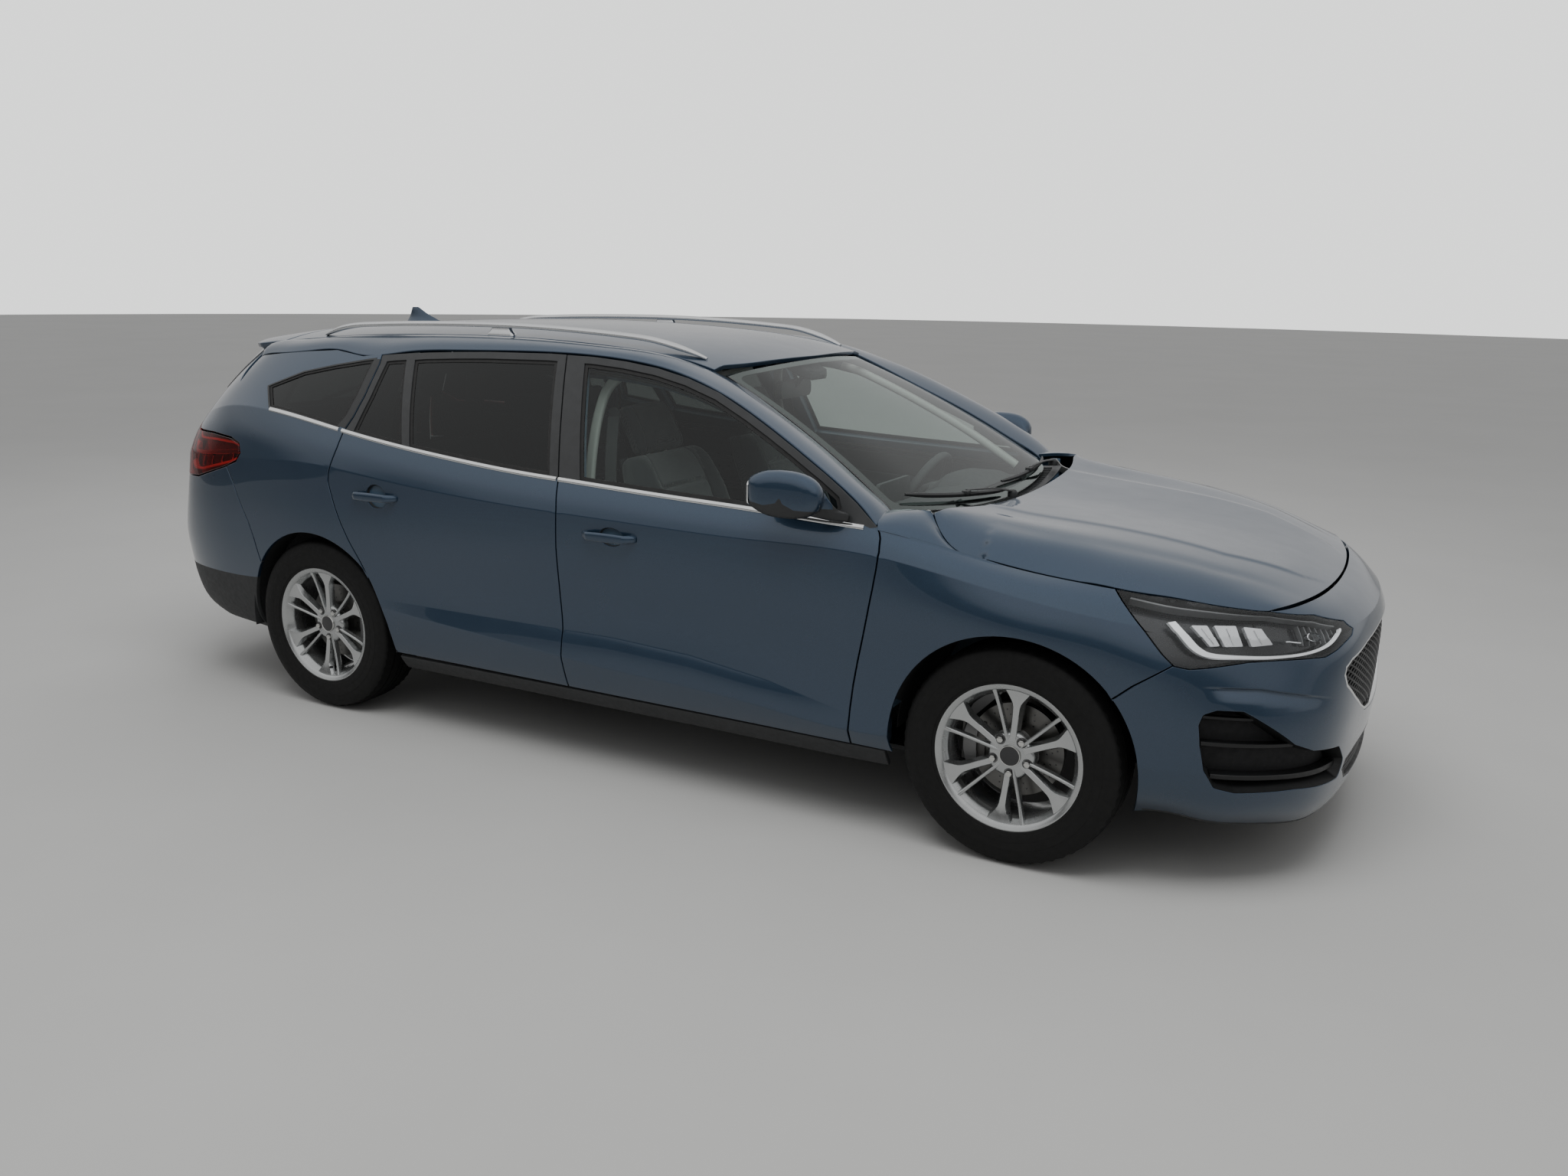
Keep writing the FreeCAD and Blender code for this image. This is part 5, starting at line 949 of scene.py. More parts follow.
def smooth_normals(V, F, angle=40.0):
    """Splits a mesh at sharp edges and gives vertex normals, so hard-surface parts shade well."""
    V = np.asarray(V, float)
    fn = face_normals(V, F)[0]
    un = fn / (np.linalg.norm(fn, axis=1)[:, None] + 1e-18)
    ul, fl, VL = un.tolist(), fn.tolist(), V.tolist()
    corners = {}
    for fi, f in enumerate(F):
        for i in f:
            corners.setdefault(i, []).append(fi)
    ca = cos(radians(angle))
    NV, NN, NF = [], [], [list(f) for f in F]
    for i, fs in corners.items():
        groups = []
        for fi in fs:
            a = ul[fi]
            for g in groups:
                if any(a[0] * ul[h][0] + a[1] * ul[h][1] + a[2] * ul[h][2] > ca for h in g):
                    g.append(fi)
                    break
            else:
                groups.append([fi])
        for g in groups:
            x = y = z = 0.0
            for h in g:
                q = fl[h]
                x += q[0]
                y += q[1]
                z += q[2]
            l = sqrt(x * x + y * y + z * z)
            n = (x / l, y / l, z / l) if l > 1e-18 else tuple(ul[g[0]])
            k = len(NV)
            NV.append(VL[i])
            NN.append(n)
            for fi in g:
                r = NF[fi]
                for c, w in enumerate(F[fi]):
                    if w == i:
                        r[c] = k
    return np.array(NV), np.array(NN), [tuple(f) for f in NF]


def loft(sections, closed=True, caps=True):
    """Quads through equal-length sections (lists of 3-D points)."""
    V = [p for s in sections for p in s]
    n = len(sections[0])
    F = []
    for i in range(len(sections) - 1):
        for j in range(n if closed else n - 1):
            k = (j + 1) % n
            F.append((i * n + j, i * n + k, (i + 1) * n + k, (i + 1) * n + j))
    if caps and closed:
        F.append(tuple(range(n))[::-1])
        F.append(tuple(range((len(sections) - 1) * n, len(sections) * n)))
    return np.array(V, float), F


def solid_data(V, F, angle=35.0, x=True):
    """Orients a closed shell outwards and splits its normals."""
    V = np.asarray(V, float)
    if face_normals(V, F)[1] < 0:
        F = [tuple(f[::-1]) for f in F]
    return smooth_normals(V, F, angle)


def rounded_rect(w, h, r, n=4):
    """Closed outline centred on 0, counter-clockwise."""
    out = []
    for cx, cy, a0 in ((w / 2 - r, h / 2 - r, 0), (-w / 2 + r, h / 2 - r, 90), (-w / 2 + r, -h / 2 + r, 180), (w / 2 - r, -h / 2 + r, 270)):
        for k in range(n + 1):
            a = radians(a0 + 90 * k / n)
            out.append((cx + r * cos(a), cy + r * sin(a)))
    return out


def catmull(pts, n=6):
    p = [np.array(q, float) for q in pts]
    p = [2 * p[0] - p[1]] + p + [2 * p[-1] - p[-2]]
    out = []
    for i in range(1, len(p) - 2):
        for k in range(n):
            t = k / n
            a, b, c, d = p[i - 1], p[i], p[i + 1], p[i + 2]
            out.append(.5 * ((2 * b) + (-a + c) * t + (2 * a - 5 * b + 4 * c - d) * t * t + (-a + 3 * b - 3 * c + d) * t ** 3))
    out.append(p[-2])
    return out


def sweep(path, section, up=(0, 0, 1), scale=None, caps=True):
    """Section (2-D outline: across, up) carried along a 3-D path."""
    P = [np.array(q, float) for q in path]
    up = np.array(up, float)
    secs = []
    for i, q in enumerate(P):
        t = P[min(i + 1, len(P) - 1)] - P[max(i - 1, 0)]
        t /= np.linalg.norm(t)
        a = np.cross(t, up)
        a /= np.linalg.norm(a) + 1e-12
        b = np.cross(a, t)
        k = scale[i] if scale is not None else 1.0
        ka, kb = (k, k) if np.isscalar(k) else k
        secs.append([q + a * s[0] * ka + b * s[1] * kb for s in section])
    return loft(secs, True, caps)


def tube(path, r, n=10, up=(0, 0, 1), scale=None):
    return sweep(path, [(r * cos(2 * pi * k / n), r * sin(2 * pi * k / n)) for k in range(n)], up, scale)


def lathe(profile, centre, axis='y', n=64, sgn=1, closed=False):
    """Profile (axial, radius) turned about an axis through centre."""
    c = np.array(centre, float)
    V, F = [], []
    m = len(profile)
    for k in range(n):
        a = 2 * pi * k / n
        for h, r in profile:
            if axis == 'y':
                V.append(c + np.array([r * cos(a), sgn * h, r * sin(a)]))
            elif axis == 'x':
                V.append(c + np.array([sgn * h, r * cos(a), r * sin(a)]))
            else:
                V.append(c + np.array([r * cos(a), r * sin(a), sgn * h]))
    for k in range(n):
        k2 = (k + 1) % n
        for j in range(m if closed else m - 1):
            j2 = (j + 1) % m
            F.append((k * m + j, k2 * m + j, k2 * m + j2, k * m + j2))
    return np.array(V), F


def box_data(lo, hi, bev=.004, angle=50):
    """Box with rounded edges."""
    bm = bmesh.new()
    bmesh.ops.create_cube(bm, size=1.0)
    lo, hi = np.array(lo, float), np.array(hi, float)
    for v in bm.verts:
        for c in range(3):
            v.co[c] = (lo[c] + hi[c]) / 2 + v.co[c] * (hi[c] - lo[c])
    if bev:
        bmesh.ops.bevel(bm, geom=bm.edges[:], offset=bev, segments=3, profile=.5, affect='EDGES')
    bm.verts.index_update()
    V = np.array([v.co[:] for v in bm.verts])
    F = [tuple(v.index for v in f.verts) for f in bm.faces]
    bm.free()
    return solid_data(V, F, angle)


def shift(data, d=(XS, 0, 0)):
    V, N, F = data
    return V + np.array(d), N, F


def mirrored(data):
    V, N, F = data
    return V * np.array([1, -1, 1]), N * np.array([1, -1, 1]), [tuple(f[::-1]) for f in F]


def uvs(pts, **kw):
    return FRING.find(pts, **kw)

# ---------------------------------------------------------------------------
# Materials
# ---------------------------------------------------------------------------
def new_mat(name):
    m = bpy.data.materials.new(name)
    m.use_nodes = True
    nt = m.node_tree
    nt.nodes.clear()
    out = nt.nodes.new('ShaderNodeOutputMaterial')
    b = nt.nodes.new('ShaderNodeBsdfPrincipled')
    nt.links.new(b.outputs[0], out.inputs[0])
    return m, nt, b


def setv(b, **kw):
    names = {'color': 'Base Color', 'metallic': 'Metallic', 'rough': 'Roughness', 'coat': 'Coat Weight', 'coat_rough': 'Coat Roughness',
             'ior': 'IOR', 'trans': 'Transmission Weight', 'alpha': 'Alpha', 'spec': 'Specular IOR Level', 'sheen': 'Sheen Weight',
             'sheen_rough': 'Sheen Roughness', 'emit': 'Emission Color', 'emit_s': 'Emission Strength', 'coat_ior': 'Coat IOR', 'aniso': 'Anisotropic'}
    for k, v in kw.items():
        s = b.inputs[names[k]]
        s.default_value = (v[0], v[1], v[2], 1.0) if k in ('color', 'emit') else v


def coords(nt, kind='Object', scale=(1, 1, 1)):
    t = nt.nodes.new('ShaderNodeTexCoord')
    m = nt.nodes.new('ShaderNodeMapping')
    m.inputs['Scale'].default_value = scale
    nt.links.new(t.outputs[kind], m.inputs[0])
    return m.outputs[0]


def noise(nt, vec, scale, detail=3.0, rough=.5):
    n = nt.nodes.new('ShaderNodeTexNoise')
    n.inputs['Scale'].default_value = scale
    n.inputs['Detail'].default_value = detail
    n.inputs['Roughness'].default_value = rough
    nt.links.new(vec, n.inputs['Vector'])
    return n.outputs['Fac']


def ramp(nt, fac, stops):
    r = nt.nodes.new('ShaderNodeValToRGB')
    el = r.color_ramp.elements
    while len(el) < len(stops):
        el.new(.5)
    for e, (p, c) in zip(el, stops):
        e.position = p
        e.color = (c, c, c, 1) if np.isscalar(c) else (c[0], c[1], c[2], 1)
    nt.links.new(fac, r.inputs[0])
    return r.outputs[0]


def mix(nt, fac, a, b):
    m = nt.nodes.new('ShaderNodeMix')
    m.data_type = 'RGBA'
    for sock, v in ((m.inputs[0], fac), (m.inputs[6], a), (m.inputs[7], b)):
        if isinstance(v, (int, float)):
            sock.default_value = v if sock is m.inputs[0] else (v, v, v, 1)
        elif isinstance(v, tuple):
            sock.default_value = (v[0], v[1], v[2], 1)
        else:
            nt.links.new(v, sock)
    return m.outputs[2]


def bump(nt, b, height, strength=.2, dist=.001):
    n = nt.nodes.new('ShaderNodeBump')
    n.inputs['Strength'].default_value = strength
    n.inputs['Distance'].default_value = dist
    nt.links.new(height, n.inputs['Height'])
    nt.links.new(n.outputs[0], b.inputs['Normal'])


def math_node(nt, op, a, b=None, c=None):
    m = nt.nodes.new('ShaderNodeMath')
    m.operation = op
    for i, v in enumerate((a, b, c)):
        if v is None:
            continue
        if isinstance(v, (int, float)):
            m.inputs[i].default_value = v
        else:
            nt.links.new(v, m.inputs[i])
    return m.outputs[0]


def paint_mat(name, col, dark, metallic=.55, rough=.34):
    m, nt, b = new_mat(name)
    v = coords(nt)
    flake = nt.nodes.new('ShaderNodeTexVoronoi')
    flake.inputs['Scale'].default_value = 2600
    nt.links.new(v, flake.inputs['Vector'])
    f = ramp(nt, flake.outputs['Color'], [(0.0, dark), (1.0, col)])
    big = noise(nt, v, 1.4, 2)
    c = mix(nt, math_node(nt, 'MULTIPLY', big, .18), f, tuple(x * .86 for x in col))
    nt.links.new(c, b.inputs['Base Color'])
    rg = ramp(nt, noise(nt, v, 9, 4), [(.3, rough - .03), (.7, rough + .03)])
    nt.links.new(rg, b.inputs['Roughness'])
    setv(b, metallic=metallic, coat=1.0, coat_rough=.025, coat_ior=1.5)
    return m


def plastic_mat(name, col, rough=.5, grain=1400, amount=.25, var=.25, coat=0.0, spec=.5):
    m, nt, b = new_mat(name)
    v = coords(nt)
    n1 = noise(nt, v, 22, 4)
    c = mix(nt, n1, tuple(x * (1 - var) for x in col), tuple(x * (1 + var) for x in col))
    nt.links.new(c, b.inputs['Base Color'])
    rg = ramp(nt, noise(nt, v, 60, 3), [(.3, max(rough - .05, .02)), (.7, rough + .06)])
    nt.links.new(rg, b.inputs['Roughness'])
    if amount:
        bump(nt, b, noise(nt, v, grain, 2), amount, .0004)
    setv(b, coat=coat, coat_rough=.05, spec=spec)
    return m


def metal_mat(name, col, rough=.25, var=.06, metallic=1.0, grain=0, coat=0.0):
    m, nt, b = new_mat(name)
    v = coords(nt)
    c = mix(nt, noise(nt, v, 14, 4), tuple(x * (1 - var) for x in col), tuple(min(1, x * (1 + var)) for x in col))
    nt.links.new(c, b.inputs['Base Color'])
    rg = ramp(nt, noise(nt, v, 45, 4), [(.3, max(rough - .04, .01)), (.7, rough + .05)])
    nt.links.new(rg, b.inputs['Roughness'])
    if grain:
        bump(nt, b, noise(nt, v, grain, 3), .15, .0004)
    setv(b, metallic=metallic, coat=coat, coat_rough=.04)
    return m


def glass_mat(name, tint, alpha, rough=.01):
    """Thin window glass: a tinted clear layer with a mirror-like face."""
    m = bpy.data.materials.new(name)
    m.use_nodes = True
    nt = m.node_tree
    nt.nodes.clear()
    out = nt.nodes.new('ShaderNodeOutputMaterial')
    tr = nt.nodes.new('ShaderNodeBsdfTransparent')
    gl = nt.nodes.new('ShaderNodeBsdfGlossy')
    fr = nt.nodes.new('ShaderNodeFresnel')
    geo = nt.nodes.new('ShaderNodeNewGeometry')
    nt.links.new(math_node(nt, 'MULTIPLY_ADD', geo.outputs['Backfacing'], 1 / 1.45 - 1.45, 1.45), fr.inputs['IOR'])
    gl.inputs['Roughness'].default_value = rough
    gl.inputs['Color'].default_value = (.95, .97, .97, 1)
    v = coords(nt)
    c = mix(nt, noise(nt, v, 2.0, 2), tuple(x * .94 for x in tint), tint)
    nt.links.new(c, tr.inputs['Color'])
    mx = nt.nodes.new('ShaderNodeMixShader')
    nt.links.new(math_node(nt, 'MULTIPLY', fr.outputs[0], alpha), mx.inputs[0])
    nt.links.new(tr.outputs[0], mx.inputs[1])
    nt.links.new(gl.outputs[0], mx.inputs[2])
    nt.links.new(mx.outputs[0], out.inputs[0])
    return m


PAINT = paint_mat('paint_blue', (.034, .066, .112), (.010, .022, .042), .62, .30)
PAINT_IN = plastic_mat('paint_inner', (.040, .070, .105), .40, 600, .1, coat=.4)
# near-black: real dark plastic in some parts, painted shade in gaps, slots and recesses elsewhere
BLACK_AND_SHADE = plastic_mat('gap_dark', (.006, .006, .007), .8, 800, .2)
BLACK = plastic_mat('trim_black', (.018, .019, .020), .42)
GLOSSBLACK = plastic_mat('gloss_black', (.006, .006, .007), .10, 900, 0, coat=.6)
TEXBLACK = plastic_mat('textured_black', (.022, .023, .024), .62, 900, .5)
SEAL = plastic_mat('seal_rubber', (.012, .012, .012), .7, 900, .3)
CHROME = metal_mat('chrome', (.78, .79, .79), .06, .03)
ALU = metal_mat('rail_silver', (.74, .75, .76), .24, .04, grain=900)
RIM = metal_mat('rim_silver', (.42, .43, .43), .24, .05, metallic=.92, coat=.5)
RIMDARK = metal_mat('rim_inner', (.10, .105, .11), .45, .1)
STEEL = metal_mat('steel', (.42, .42, .41), .38, .12, grain=500)
CAST = metal_mat('cast_iron', (.16, .155, .15), .55, .2, grain=260)
UNDER = plastic_mat('underbody', (.030, .031, .032), .75, 300, .5)
CARPET = plastic_mat('carpet', (.020, .020, .022), .95, 500, .9)
GLASS_C = glass_mat('glass_clear', (.72, .80, .77), 1.0)
GLASS_D = glass_mat('glass_dark', (.10, .115, .11), 1.0)
GLASS_L = glass_mat('glass_lamp', (.93, .94, .95), 1.0)

# ---------------------------------------------------------------------------
# Camera, floor and light
# ---------------------------------------------------------------------------
F_PX, YAW, PITCH, ROLL = 1700.3, -.491, .2418, .0155      # focal length for a 2048 px wide frame
cam_d = bpy.data.cameras.new('camera')
cam_d.sensor_fit = 'HORIZONTAL'
cam_d.sensor_width = 36.0
cam_d.lens = F_PX / 2048 * 36.0
cam_d.clip_start, cam_d.clip_end = .05, 200
cam = bpy.data.objects.new('camera', cam_d)
SCENE.collection.objects.link(cam)
fw = Vector((sin(YAW) * cos(PITCH), cos(YAW) * cos(PITCH), -sin(PITCH)))
rt = fw.cross(Vector((0, 0, 1))).normalized()
upv = rt.cross(fw)
r2 = rt * cos(ROLL) + upv * sin(ROLL)
u2 = upv * cos(ROLL) - rt * sin(ROLL)
cam.matrix_world = Matrix(((r2.x, u2.x, -fw.x, 2.419 + XS), (r2.y, u2.y, -fw.y, -4.231), (r2.z, u2.z, -fw.z, 1.666), (0, 0, 0, 1)))
SCENE.camera = cam


def stage_floor():
    """A large flat disc."""
    V, F = [(0, 0, 0)], []
    n, radii = 72, (1.5, 3, 5, 8, 13, 22, 40)
    for q in radii:
        for k in range(n):
            a = 2 * pi * k / n
            V.append((q * cos(a), q * sin(a), 0))
    for k in range(n):
        F.append((0, 1 + k, 1 + (k + 1) % n))
    for i in range(len(radii) - 1):
        for k in range(n):
            a, b = 1 + i * n + k, 1 + i * n + (k + 1) % n
            F.append((a, a + n, b + n, b))
    m, nt, b = new_mat('floor')
    v = coords(nt)
    c = mix(nt, noise(nt, v, .7, 5, .6), (.30, .30, .295), (.35, .35, .345))
    nt.links.new(c, b.inputs['Base Color'])
    setv(b, rough=.62, spec=.3)
    ob = make_mesh('floor', V, F, m)


def light(name, kind, loc, target, size, energy, col=(1, 1, 1), size_y=None):
    l = bpy.data.lights.new(name, kind)
    l.energy = energy
    l.color = col
    if kind == 'AREA':
        l.shape = 'RECTANGLE' if size_y else 'SQUARE'
        l.size = size
        if size_y:
            l.size_y = size_y
    o = bpy.data.objects.new(name, l)
    SCENE.collection.objects.link(o)
    o.location = loc
    d = Vector(target) - Vector(loc)
    o.rotation_euler = d.to_track_quat('-Z', 'Y').to_euler()
    o.visible_glossy = False
    return o


def stage_light():
    w = bpy.data.worlds.new('studio')
    SCENE.world = w
    w.use_nodes = True
    nt = w.node_tree
    nt.nodes.clear()
    out = nt.nodes.new('ShaderNodeOutputWorld')
    bg = nt.nodes.new('ShaderNodeBackground')
    tc = nt.nodes.new('ShaderNodeTexCoord')
    sp = nt.nodes.new('ShaderNodeSeparateXYZ')
    nt.links.new(tc.outputs['Generated'], sp.inputs[0])
    # brightness by height: a dim near side, a pale far side, a softer ceiling
    hz = math_node(nt, 'MULTIPLY_ADD', sp.outputs[2], .5, .5)
    near = ramp(nt, hz, [(.0, .10), (.49, .10), (.51, .07), (.555, .12), (.59, .55), (.66, .80), (.76, .88), (.88, .92), (1.0, .85)])
    far = ramp(nt, hz, [(.0, .20), (.49, .20), (.505, .45), (.53, .58), (.62, .60), (.72, .66), (.84, .78), (1.0, .85)])
    sy = ramp(nt, math_node(nt, 'MULTIPLY_ADD', sp.outputs[1], .5, .5), [(.38, 0.0), (.56, 1.0)])
    h = mix(nt, sy, near, far)
    lp = nt.nodes.new('ShaderNodeLightPath')
    c = mix(nt, lp.outputs['Is Camera Ray'], h, (1.55, 1.57, 1.55))
    nt.links.new(c, bg.inputs[0])
    bg.inputs[1].default_value = 1.0
    nt.links.new(bg.outputs[0], out.inputs[0])
    light('key', 'AREA', (1.5, -2.0, 5.5), (0, 0, .5), 5.0, 330, (1, 1, .99), 3.0)
    light('fill', 'AREA', (-3.0, 3.5, 5.0), (0, 0, .5), 5.0, 160, (1, 1, 1), 3.0)


stage_floor()
stage_light()

# ---------------------------------------------------------------------------
# Body skins
# ---------------------------------------------------------------------------
CR = (.19, .74, .94)
MID_U = RING.u1
U_CORNER = RING.uk[[i for i, r in enumerate(RING.rows) if abs(r[4][0] + 2.21) < 1e-6 and r[4][1] > 0][0]]
SIDES = (('left', 1), ('right', -1))
G = .0022             # half of a panel gap
BELT_V = .94


class Side:
    both = staticmethod(FRING.both)


def poly_uv(poly, step=.02, closed=True):
    return uvs(densify(poly, step, closed))


def yz_uv(poly, front, step=.02, closed=True):
    rng = (MID_U - 1.0, MID_U) if front else (0.0, U_CORNER + .15)
    q = densify(poly, step, closed)
    a = FRING.find(np.abs(q), ax=(1, 2), u_rng=rng)
    neg = q[:, 0] < 0
    if front:
        a[neg, 0] = 2 * MID_U - a[neg, 0]
    else:
        a[neg, 0] *= -1
    return a


def run(*segs):
    out = []
    for s in segs:
        s = np.asarray(s, float)
        for p in s:
            if not out or np.hypot(*(p - out[-1])) > 2e-4:
                out.append(p)
    if np.hypot(*(out[0] - out[-1])) < 2e-4:
        out.pop()
    return np.array(out)


def arc(c, a0, a1, n=36, dr=0.0):
    return [(c[0] + (c[2] + dr) * cos(radians(a0 + (a1 - a0) * k / n)), c[1] + (c[2] + dr) * sin(radians(a0 + (a1 - a0) * k / n))) for k in range(n + 1)]


def line_uv(poly, step=.02):
    return uvs(densify(poly, step, closed=False))


def ellipse(c, a, b, n=28, tilt=0.0):
    return np.array([(c[0] + a * cos(2 * pi * k / n) * cos(tilt) - b * sin(2 * pi * k / n) * sin(tilt),
                      c[1] + a * cos(2 * pi * k / n) * sin(tilt) + b * sin(2 * pi * k / n) * cos(tilt)) for k in range(n)])


HANDLES = {'front': (.005, .817), 'rear': (-1.010, .849)}
FD_UV, RD_UV = poly_uv(front_door_outline()), poly_uv(rear_door_outline())
FG_UV, RG_UV, RL_UV, QG_UV = (poly_uv(o()) for o in (front_glass_outline, rear_glass_outline, rear_light_outline, quarter_glass_outline))
CUP = {k: uvs([HANDLES[k]])[0] for k in HANDLES}

CREASE_X, CREASE_Z = [-1.2, -.9, -.5, 0, .3, .58, .85, 1.1], [.475, .474, .476, .480, .467, .432, .376, .33]


def door_at(u, v):
    """Door surface with the rising fold along its lower part."""
    p, n = Side.both(u, v)
    t = np.clip((np.interp(p[:, 0], CREASE_X, CREASE_Z) - p[:, 2]) / .180, 0, 1)
    d = .0052 * np.interp(p[:, 0], [-1.10, -.75, -.2, .55, .95], [0, .6, 1, 1, 0]) * 6.75 * t * (1 - t) ** 2
    return p + n * d[:, None]


DoorS = Shaped(door_at, Side)
_dx = np.linspace(-1.05, .93, 100)
_dv = uvs([(x, z) for x, z in zip(_dx, np.interp(_dx, CREASE_X, CREASE_Z))])
DOOR_X = np.concatenate([_dv + np.array([0, d]) for d in (.004, -.001, -.006, -.016)])
for nm, sd in SIDES:
    for k, dv, holes in (('front', FD_UV, [FG_UV]), ('rear', RD_UV, [RG_UV, RL_UV])):
        hs = [inset(h, -.001) for h in holes] + [ellipse(CUP[k] + np.array([.004, .004]), .047, .037)]
        panel('%s_%s_door_skin' % (nm, k), DoorS, inset(dv, G), PAINT, '%s_%s_door' % (nm, k), node='%s_%s_door' % (nm, k), slot='body_paint', side=sd, creases=CR, holes=hs,
              depth=.010, split=(BELT_V + .002, BLACK), extra=DOOR_X)

# roof side rails of the body: strip between the door tops and the roof
def rail_rows():
    rows = []
    for x in (-1.83, -1.70, -1.55, -1.40, -1.25, -1.05, -.8, -.5, -.2, .05, .20, .35, .50, .65, .80, .88):
        if x > -1.3:
            zt = lin(DLO_TOP, x) + .0035
        else:
            zt = curve1([(-1.83, 1.300), (-1.6, 1.325), (-1.3, 1.345), (-1.0, 1.353)], x)
        u, v = ring_find(x, zt)
        p = RING.at(u, v)
        if x <= .10:
            q = (x, .560, roof_z(x, .560))
        else:
            k = (x - .10) / (.88 - .10)
            wx, ws, wz = .19 + (.892 - .19) * k, .505 + (.700 - .505) * k, 1.322 + (.966 - 1.322) * k
            kk = min(1.0, (x - .10) / .18)
            r0 = (x, .560, roof_z(x, .560))
            b = .022 * 4 * k * (1 - k)
            q = tuple(r0[c] * (1 - kk) + (wx + b * .4, ws + .006, wz + b * .88)[c] * kk for c in range(3))
        m = tuple((p[c] + q[c]) / 2 for c in range(3))
        hgt = .014 + .006 * (x > .2)
        m = (m[0], m[1] + hgt * .5 / sqrt(.61), m[2] + hgt * .6 / sqrt(.61))
        rows.append([p, ((p[0] + 2 * m[0]) / 3, (p[1] + 2 * m[1]) / 3 + .003, (p[2] + 2 * m[2]) / 3 + .003), m,
                     ((q[0] + 2 * m[0]) / 3, (q[1] + 2 * m[1]) / 3, (q[2] + 2 * m[2]) / 3 + .003), q])
    a, b = rows[-2], rows[-1]
    rows.append([tuple(q[c] + (q[c] - p[c]) * .45 - (.010 if c == 2 else 0) for c in range(3)) for p, q in zip(a, b)])
    # rounded rear end, closed down to the quarter's upper edge
    r0 = rows[0]
    for dx, dy, dz in ((.024, .005, .009), (.044, .020, .046), (.058, .034, .100)):
        rows.insert(0, [(p[0] - dx, p[1] - dy * (1 - k / 4.5), p[2] - dz) for k, p in enumerate(r0)])
    return rows


_rr = rail_rows()
RAILN = Net(_rr, knots(_rr, 2), [0, .035, .06, .085, .125])
FRAIL = Flip(Fast(RAILN))
rail_line = [(r[0][0], r[0][2]) for r in _rr]                 # lower edge, rear to front

arch_r = uvs(arc(ARCH_R, 144, 40))
top_q = line_uv([(-1.158, 1.3335 + .004)] + [(p[0], p[1]) for p in rail_line[::-1] if p[0] < -1.2])
u_gate = U_CORNER - .022
D_TOP = np.array([top_q[-1], (u_gate, 1.40)])
quarter_o = run(top_q, densify([top_q[-1], (u_gate, 1.40), (u_gate, .945)], .02, False),
                line_uv([(-2.10, 1.004), (-2.06, 1.003), (-1.954, 1.005), (-1.82, .999), (-1.760, .982), (-1.747, .945), (-1.772, .912), (-1.832, .890),
                         (-1.786, .833), (-1.751, .776), (-1.695, .690), (-1.669, .630), (-1.640, .536)]),
                arch_r, line_uv([(-1.075, .553), (-1.105, .608), (-1.150, .680), (-1.182, .740), (-1.209, .798), (-1.231, .857), (-1.241, .888),
                                 (-1.240, .918), (-1.229, .955), (-1.210, 1.009), (-1.197, 1.064), (-1.174, 1.118), (-1.158, 1.190), (-1.150, 1.300), (-1.158, 1.3335)]))
QO = inset(quarter_o, G)
q_flat = lambda lp: (lp[:, 1] > 1.18)
for nm, sd in SIDES:
    panel(nm + '_quarter_skin', Side, QO, PAINT, 'body', node=nm + '_body_side', slot='body_paint', side=sd, creases=CR, holes=[inset(QG_UV, -.004)], depth=.014)
    ru, rv = RAILN.u1, RAILN.vk[-1]
    panel(nm + '_roof_side', FRAIL, [(.001, .001), (ru - .001, .001), (ru - .001, rv - .001), (.001, rv - .001)], PAINT, 'body', slot='body_paint', side=sd, depth=.010, r=.0035)

# wings
lamp_back = [(1.599, .8365), (1.639, .801), (1.695, .747), (1.747, .690), (1.778, .662)]
fe = [(p[0] + .0, p[1]) for p in F_EDGE]
wing_o = run(line_uv(fe[::-1]), densify([uvs([fe[0]])[0], uvs([(1.598, .8362)])[0]], .02, False), line_uv(lamp_back), line_uv([(1.778, .662), (1.684, .598), (1.632, .553)]),
             uvs(arc(ARCH_F, 38.8, 188.9)), line_uv([(.990, .270), (.856, .272)]))
u_a, u_b = uvs([fe[0]])[0], uvs([(1.222, .864)])[0]
wing_flat = lambda lp: (lp[:, 1] > .925) & (lp[:, 0] < u_b[0])
WO = inset(wing_o, G)
for nm, sd in SIDES:
    a = panel_data(Side, WO, side=sd, creases=(.19, .74), depth=.007, flat=wing_flat)
    b = panel_data(Flip(FCORNER), inset([(0, 0), (.32, 0), (.32, .19), (0, .19)], .0012), side=sd, depth=.012, flat=lambda lp: lp[:, 1] < .004)
    piece(nm + '_wing_skin', [(*a, 0), (*b, 0)], [PAINT], 'body', node='front_wings' if sd > 0 else None)

# hood
_t = [CORNER.at(.32, .19 - .19 * k / 12) for k in range(13)]
_q0, _q1 = np.array([uvs([(1.222, .864)])[0][0], .9405]), uvs([(1.598, .8362)])[0]
_w = np.array([_q0 + (_q1 - _q0) * k / 24 for k in range(1, 25)])
_t = np.concatenate([np.array(_t), FRING.at(_w[:, 0], _w[:, 1])])
_o = np.argsort(_t[:, 0])
EDGE_T = _t[_o]
_uu = np.linspace(-.02, 1.05, 215)
_ce = FHOOD.at(_uu, np.full(215, .83))
_dy = np.interp(_ce[:, 0], EDGE_T[:, 0], EDGE_T[:, 1]) - .0018 - _ce[:, 1]
_dz = np.interp(_ce[:, 0], EDGE_T[:, 0], EDGE_T[:, 2]) + .0004 - _ce[:, 2]
_fd = np.clip((1.60 - _ce[:, 0]) / .10, 0, 1) * np.clip((_ce[:, 0] - 1.034) / .01, 0, 1)
_dy, _dz = _dy * _fd, _dz * _fd


